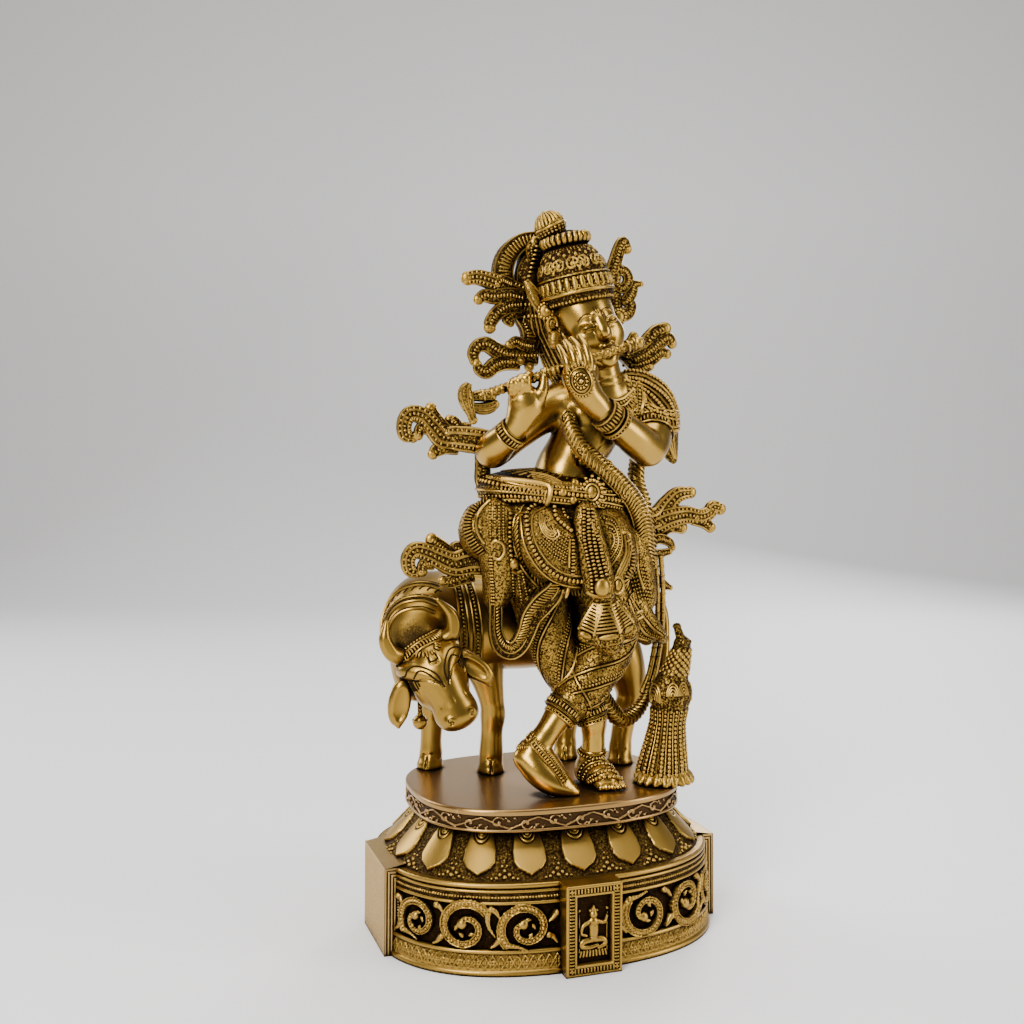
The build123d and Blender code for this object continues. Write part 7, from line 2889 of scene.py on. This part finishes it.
    # ruled folds at the back and sides
    for k in range(15):
        a = math.pi * (0.12 + 0.76 * k / 14)
        line = [
            (8 + 27 * math.cos(a), -4 + 20 * math.sin(a), 124),
            (8 + 28 * math.cos(a), -4 + 20 * math.sin(a), 112),
            (8 + 24 * math.cos(a), -5 + 17 * math.sin(a), 98),
            (8 + 20 * math.cos(a), -6 + 14 * math.sin(a), 84)
        ]
        if k % 2:
            beads_on(piece, clay, line, 0.7, 1.35)
        else:
            cord_on(piece, clay, line, 0.6)
    # hem on each lappet bottom
    q, n = drop(clay, [(-1.7, -32.0, 84.1), (1.4, -33.0, 83.3), (7.2, -33.0, 82.5)], 1.3)
    beads(piece, q + n * 0.3, 1.0, axes=bead_axes(q, n), stretch=(0.5, 2.3, 0.8))
    finish_piece(
        "cloth_cast", piece,
        [
            "dhoti_hips", "left_leg", "right_leg", "apron_right", "apron_left", "right_side_drape",
            "left_side_drape"
        ],
        cloth_metal
    )
    return clay


def make_girdle():
    piece = Shape()
    lump = Clay((-34, -36, 112), (44, 20, 136), 0.5, far=4.0, pad=2.5)
    lump.limb(
        [(-17, -5, 124.5, 11.5), (6, -6, 122.8, 15.6), (25, -6, 121.2, 12.5)], 4,
        flat=((0.12, 0, 0.99), 0.5)
    )
    lump.egg((5, -6, 123.2), (29.0, 19.2, 6.6), k=3)
    lump.mesh(piece, patina=0.6)
    piece.p[-1] = piece.p[-1] + 0.9 * np.clip((piece.v[-1][:, 2] - 126.0) / 2.0, 0, 1)
    speckle(piece, lump)
    # gathered folds running in from the girdle to the waist
    for a in full_turn(34):
        c, d = math.cos(a), math.sin(a)
        cord_on(
            piece, lump,
            [
                (8 + 11 * c, -6 + 9 * d, 131), (7 + 17 * c, -6 + 13 * d, 130),
                (5 + 23.5 * c, -6 + 16 * d, 128)
            ],
            0.5, step=0.8, lift=0.0, patina=0.25
        )
    for off, kind, r in (
        (8.6, "cord", 0.5), (7.2, "bead", 0.7), (6.0, "cord", 0.5), (4.6, "cord", 0.55),
        (3.1, "bead", 0.85), (1.5, "cord", 0.5), (-0.2, "bead", 1.05), (-2.0, "cord", 0.5),
        (-3.6, "bead", 0.9), (-5.2, "cord", 0.6)
    ):
        ring = []
        for a in full_turn(40):
            x, y = 5 + 31 * math.cos(a), -6 + 21 * math.sin(a)
            ring.append((x, y, 123.4 - 0.12 * (x - 5) + off * 0.9))
        if kind == "cord":
            cord_on(piece, lump, ring, r, step=0.8, closed=True)
        else:
            beads_on(piece, lump, ring, r, r * 1.75, stretch=(0.8, 1.05, 0.8), closed=True)

    def stuck(u_v_points, r, kind="cord", pitch=1.5, **kw):
        q = curve(u_v_points, pitch if kind == "bead" else 0.5)[:, :3]
        hit = lump.snap(q - SIGHT * 14, toward=SIGHT, rounds=36)
        miss = np.abs(lump.sample(hit)) > 0.6
        hit[miss] = q[miss]
        n = lump.normal(hit)
        n[miss] = -SIGHT
        if kind == "bead":
            beads(piece, hit + n * r * 0.4, r, axes=bead_axes(hit, n), **kw)
        else:
            sweep(piece, hit + n * r * 0.5, circle_profile(8, r, r), up=n)

    # draped edge that turns down at the buckle
    stuck(
        [
            (-25.3, -24.0, 129.4), (-16.1, -27.0, 128.6), (-8.8, -29.0, 127.5), (-6.8, -30.0, 125.9),
            (-7.1, -30.0, 122.9), (-8.3, -30.0, 119.7)
        ],
        1.25
    )
    stuck(
        [
            (-25.3, -24.0, 127.5), (-16.1, -27.0, 126.4), (-9.3, -29.0, 125.4), (-8.8, -30.0, 123.0),
            (-9.7, -30.0, 120.3)
        ],
        0.55
    )
    stuck(
        [(-25.3, -24.0, 125.9), (-17.2, -27.0, 124.8), (-9.9, -29.0, 123.9)], 0.95, "bead", 1.5,
        stretch=(0.6, 1.2, 0.8)
    )
    stuck(
        [(-27.6, -24.0, 121.9), (-21.2, -27.0, 121.4), (-14.7, -28.0, 121.9), (-8.8, -29.0, 120.7)], 0.95,
        "bead", 1.8
    )
    for c in (
        (3.6, -30.0, 125.8), (3.3, -30.0, 121.2), (4.2, -30.0, 128.2), (6.0, -30.0, 118.9),
        (-1.1, -30.0, 124.5)
    ):
        hit = lump.snap(np.array([c]) - SIGHT * 10, toward=SIGHT, rounds=30)[0]
        beads(piece, hit[None], 1.7, stretch=(1, 0.8, 1.15), fine=True)
    disc = lump.snap(
        np.array([(11.5, -30.0, 124.3)]) - SIGHT * 10, toward=SIGHT, rounds=30
    )[0] - SIGHT * 0.6
    e1 = unit(np.cross(SIGHT, [0, 0, 1.0]))
    e2 = np.cross(e1, SIGHT)
    w = full_turn(30)
    ring = np.cos(w)[:, None] * e1 * 0.8 + np.sin(w)[:, None] * e2
    beads(
        piece, disc[None], 2.9, axes=np.stack([e1, e2, SIGHT], -1)[None], stretch=(0.8, 1.0, 0.45),
        fine=True, patina=0.2
    )
    sweep(piece, disc + ring * 3.4 - SIGHT * 0.6, circle_profile(8, 0.5, 0.5), up=-SIGHT, closed=True)
    w2 = full_turn(18)
    ring2 = np.cos(w2)[:, None] * e1 * 0.82 + np.sin(w2)[:, None] * e2
    beads(piece, disc + ring2 * 5.0 - SIGHT * 0.2, 0.95)
    w3 = full_turn(12)
    beads(piece, disc + (np.cos(w3)[:, None] * e1 * 0.8 + np.sin(w3)[:, None] * e2) * 6.6, 0.75)
    # folded waist cloth above the rows
    stuck([(-13.2, -22.0, 132.5), (-7.3, -25.0, 131.5), (-1.5, -28.0, 128.8)], 0.42)
    for k in (1, 2, 3, 4):
        stuck(
            shifted(
                [(-13.2, -22.0, 133.1), (-7.3, -25.0, 131.7), (-1.5, -28.0, 128.8)], 0.5 * k, 0, -0.85 * k
            ),
            0.42
        )
    finish_piece("girdle_cast", piece, ["girdle"], cloth_metal)


def make_sash():
    piece = Shape()
    body = Clay((0, -44, 52), (52, -14, 132), 0.42, far=4.0, pad=2.5)
    body.limb(
        [
            (8.7, -29.0, 116.6, 3.6), (9.1, -31.0, 106.9, 4.6), (10.7, -33.0, 97.2, 5.2),
            (12.7, -34.0, 86.8, 5.0), (14.5, -34.0, 82.4, 4.0)
        ],
        2, flat=((0.3, 0.95, 0), 0.6)
    )
    body.limb(
        [(13.1, -33.0, 79.5, 3.2), (9.6, -33.0, 72.0, 3.4), (7.3, -33.0, 66.1, 3.0)], 1.2,
        flat=((0.3, 0.95, 0), 0.6)
    )
    body.limb(
        [
            (15.1, -34.0, 80.1, 3.4), (15.3, -35.0, 72.0, 5.0), (16.5, -35.0, 64.8, 6.0),
            (17.2, -34.0, 62.4, 5.0)
        ],
        1.2, flat=((0.3, 0.95, 0), 0.6)
    )
    body.limb(
        [(18.4, -33.0, 79.9, 3.2), (22.6, -33.0, 73.1, 4.2), (27.0, -32.0, 67.2, 4.0)], 1.2,
        flat=((0.3, 0.95, 0), 0.6)
    )
    body.mesh(piece, patina=0.6)

    def snap_front(points, step):
        q = curve(points, step)[:, :3]
        hit = body.snap(q - SIGHT * 12, toward=SIGHT, rounds=36)
        miss = np.abs(body.sample(hit)) > 0.6
        hit[miss] = q[miss]
        n = body.normal(hit)
        n[miss] = -SIGHT
        return hit, n

    lines = (
        [
            (7.7, -30.0, 117.8), (6.6, -33.0, 107.1), (7.1, -36.0, 97.6), (8.2, -37.0, 91.1),
            (8.8, -37.0, 84.6)
        ],
        [
            (9.1, -31.0, 117.3), (8.2, -34.0, 107.1), (8.8, -37.0, 97.6), (9.8, -38.0, 91.7),
            (10.4, -38.0, 87.9)
        ],
        [
            (10.8, -31.0, 117.3), (10.2, -34.0, 107.1), (10.8, -37.0, 97.5), (12.2, -38.0, 91.6),
            (12.8, -38.0, 87.8)
        ],
        [(9.2, -30.0, 114.5), (12.7, -33.0, 104.8), (13.3, -36.0, 97.4), (14.6, -37.0, 91.4)],
    )
    for line in lines:
        q, n = snap_front(line, 1.5)
        beads(piece, q + n * 0.35, 1.0, axes=bead_axes(q, n), stretch=(0.62, 0.98, 0.8))
    knot, n = snap_front([(12.5, -38.0, 86.2), (12.5, -38.0, 84.3)], 0.5)
    beads(piece, knot[:1] + n[:1] * 0.4, 3.0, stretch=(1.1, 0.6, 1.25), fine=True)
    edge, n = snap_front([(6.8, -37.0, 84.1), (10.9, -37.0, 82.6), (15.6, -37.0, 82.7)], 0.5)
    sweep(piece, edge + n * 0.3, circle_profile(8, 0.9, 0.9), up=n)
    oval, n = snap_front([(20.4, -36.0, 86.5), (21.6, -36.0, 86.4)], 0.5)
    e1 = unit(np.cross(SIGHT, [0, 0, 1.0]))
    e2 = np.cross(e1, SIGHT)
    w = full_turn(28)
    c = oval[0]
    beads(
        piece, c[None], 2.2, axes=np.stack([e1, e2, SIGHT], -1)[None], stretch=(0.75, 1.15, 0.5), fine=True
    )
    sweep(
        piece, c - SIGHT * 0.5 + 2.9 * (np.cos(w)[:, None] * e1 * 0.78 + np.sin(w)[:, None] * e2 * 1.15),
        circle_profile(8, 0.5, 0.5), up=-SIGHT, closed=True
    )
    # tassel: three strips with cross bars and rounded ends, ribs between
    for a, b, half0, half1 in (
        ((11.5, -37.0, 79.0), (6.4, -37.0, 67.8), 1.6, 3.0),
        ((13.4, -38.0, 79.6), (14.8, -39.0, 67.1), 2.0, 4.6),
        ((17.3, -37.0, 78.8), (24.0, -36.0, 69.0), 1.8, 3.2)
    ):
        a, b = np.array(a), np.array(b)
        n_bar = 9
        d = unit(b - a)
        side = unit(np.cross(d, SIGHT))
        for k in range(n_bar):
            f = (k + 0.3) / n_bar
            half = half0 + (half1 - half0) * f
            mid = a * (1 - f) + b * f
            hit, nn = snap_front([tuple(mid - side * half), tuple(mid), tuple(mid + side * half)], 0.5)
            sweep(piece, hit + nn * 0.2, circle_profile(6, 0.62, 0.62), up=nn)
        for e in (-1, 1):
            hit, nn = snap_front(
                [tuple(a + side * half0 * e * 1.15), tuple(b + side * half1 * e * 1.12)], 0.5
            )
            sweep(piece, hit + nn * 0.2, circle_profile(6, 0.6, 0.6), up=nn)
        hit, nn = snap_front([tuple(b + d * 1.2 - side * half1 * 0.4), tuple(b + d * 1.2)], 0.4)
        beads(
            piece, hit[-1:] + nn[-1:] * 0.3, 1.0, axes=np.stack([side, d, -SIGHT], -1)[None],
            stretch=(half1 * 0.9, 1.25, 1.0), fine=True
        )
    finish_piece("sash_cast", piece, ["sash"], cloth_metal)


def make_scarf_loop():
    piece = Shape()
    path = [
        (-26.2, -14.0, 95.5, 2.2), (-26.2, -15.0, 85.1, 2.4), (-25.6, -15.0, 75.6, 2.8),
        (-25.9, -16.0, 67.4, 3.0), (-24.2, -17.0, 61.4, 3.6), (-20.5, -18.0, 59.1, 3.9),
        (-16.8, -19.0, 61.3, 3.9), (-14.5, -21.0, 67.0, 4.0), (-13.3, -24.0, 73.5, 4.6),
        (-10.3, -27.0, 78.7, 5.0), (-6.4, -29.0, 83.1, 4.4), (-4.4, -30.0, 86.5, 3.4)
    ]
    p = curve(path, 0.55)
    up = np.array([0.0, -1.0, 0.0])
    a = full_turn(16)
    prof = np.stack(
        [
            np.sign(np.cos(a)) * np.abs(np.cos(a)) ** 0.6,
            0.55 * np.sign(np.sin(a)) * np.abs(np.sin(a)) ** 0.7
        ],
        1
    )
    sweep(piece, p, prof, up=up, patina=0.85)
    t = tangents(p)
    side = unit(np.cross(t, up))
    for e, r in ((-0.86, 0.42), (0.86, 0.42), (0.25, 0.36)):
        sweep(
            piece, p[:, :3] + side * (p[:, 3] * e)[:, None] - [0, 1, 0] * (p[:, 3:4] * 0.48),
            circle_profile(6, r, r), up=up
        )
    q = resample(p, 1.35)
    ts = tangents(q)
    sd = unit(np.cross(ts, up))
    ax = bead_axes(q, up)
    c, s = math.cos(0.55), math.sin(0.55)
    ax = np.stack([ax[..., 0] * c + ax[..., 1] * s, -ax[..., 0] * s + ax[..., 1] * c, ax[..., 2]], -1)
    k = int(len(q) * 0.62)
    centre = q[:, :3] + sd * (q[:, 3] * -0.3)[:, None] - [0, 1, 0] * (q[:, 3:4] * 0.52)
    beads(piece, centre[:k], 1.0, axes=ax[:k], stretch=(0.42, 1.3, 0.5))
    beads(piece, centre[k:], 1.0, axes=ax[k:], stretch=(0.42, 2.4, 0.6))
    finish_ornament(piece, "scarf_loop")


def make_anklets():
    piece = Shape()
    band_on_limb(piece, (2.6, -20.2, 33.6), (0.66, 0.1, 0.75), 7.4, 4.6, deep=0.9)
    band_on_limb(piece, (0.6, -20.8, 30.4), (0.66, 0.1, 0.75), 6.4, 1.8, deep=0.5)
    band_on_limb(piece, (15.8, -17.2, 30.8), (-0.3, 0.2, 0.93), 7.0, 4.6, deep=0.9)
    band_on_limb(piece, (16.6, -17.6, 27.4), (-0.25, 0.15, 0.95), 6.0, 1.8, deep=0.5)
    finish_ornament(piece, "anklets")


make_cloth()
make_girdle()
make_sash()
make_scarf_loop()
make_anklets()


# ------------------------------------------------------------------ stage, light, camera
VIEW_TURN = -18.47
VIEW_DROP = 3.233
FLOOR_REACH = 2.2
FLOOR_TURN = -18.5


def stage_material(name, colour, rough):
    mat = bpy.data.materials.new(name)
    mat.use_nodes = True
    shader = mat.node_tree.nodes["Principled BSDF"]
    shader.inputs["Base Color"].default_value = (*colour, 1)
    shader.inputs["Roughness"].default_value = rough
    return mat


def make_stage():
    me = bpy.data.meshes.new("floor")
    pts = []
    prof = [(-1.6, 0.0), (1.0, 0.0)] + [
        (1.0 + 0.6 * math.sin(a), 0.6 - 0.6 * math.cos(a)) for a in np.linspace(0.1, math.pi / 2, 24)
    ] + [(1.6, 2.6)]
    for x in (-FLOOR_REACH, FLOOR_REACH):
        pts += [(x, y, z) for y, z in prof]
    m = len(prof)
    me.from_pydata(pts, [], [(i, i + m, i + m + 1, i + 1) for i in range(m - 1)])
    me.shade_smooth()
    me.materials.append(stage_material("floor_paper", (0.86, 0.855, 0.85), 0.55))
    floor = bpy.data.objects.new("floor", me)
    floor.rotation_euler = (0, 0, math.radians(FLOOR_TURN))
    bpy.context.scene.collection.objects.link(floor)


def area_light(name, place, target, size, power, colour=(1, 1, 1)):
    data = bpy.data.lights.new(name, "AREA")
    data.shape = "RECTANGLE"
    data.size, data.size_y = size
    data.energy = power
    data.color = colour
    ob = bpy.data.objects.new(name, data)
    ob.location = place
    ob.rotation_euler = (Vector(target) - Vector(place)).to_track_quat("-Z", "Y").to_euler()
    bpy.context.scene.collection.objects.link(ob)


for name in ("drum_screws", "deck_screws", "figure_screws"):
    for slot in bpy.data.objects[name].material_slots:
        slot.material = screw_metal

make_stage()
mid = (0, 0, 0.16)
area_light("key_left", (-0.75, -0.75, 0.75), mid, (0.42, 0.8), 19.0, (1.0, 0.98, 0.94))
area_light("fill_right", (0.95, -0.65, 0.45), mid, (0.35, 0.9), 8.0, (1.0, 0.98, 0.95))
area_light("top", (0.05, 0.0, 1.15), mid, (0.9, 0.9), 11.0)
area_light("back_left", (-0.7, 0.75, 0.6), mid, (0.4, 0.8), 7.0)
area_light("back_right", (0.7, 0.8, 0.6), mid, (0.4, 0.8), 7.0)
world = bpy.data.worlds.new("studio")
world.use_nodes = True
world.node_tree.nodes["Background"].inputs[0].default_value = (0.80, 0.805, 0.815, 1)
world.node_tree.nodes["Background"].inputs[1].default_value = 0.27
bpy.context.scene.world = world

cam_data = bpy.data.cameras.new("camera")
cam_data.lens = 44.36
cam_data.sensor_width = 36.0
cam_data.clip_start = 0.01
camera = bpy.data.objects.new("camera", cam_data)
camera.location = (-0.1827, -0.5076, 0.2078)
camera.rotation_euler = (math.radians(90 - VIEW_DROP), 0, math.radians(VIEW_TURN))
bpy.context.scene.collection.objects.link(camera)
bpy.context.scene.camera = camera
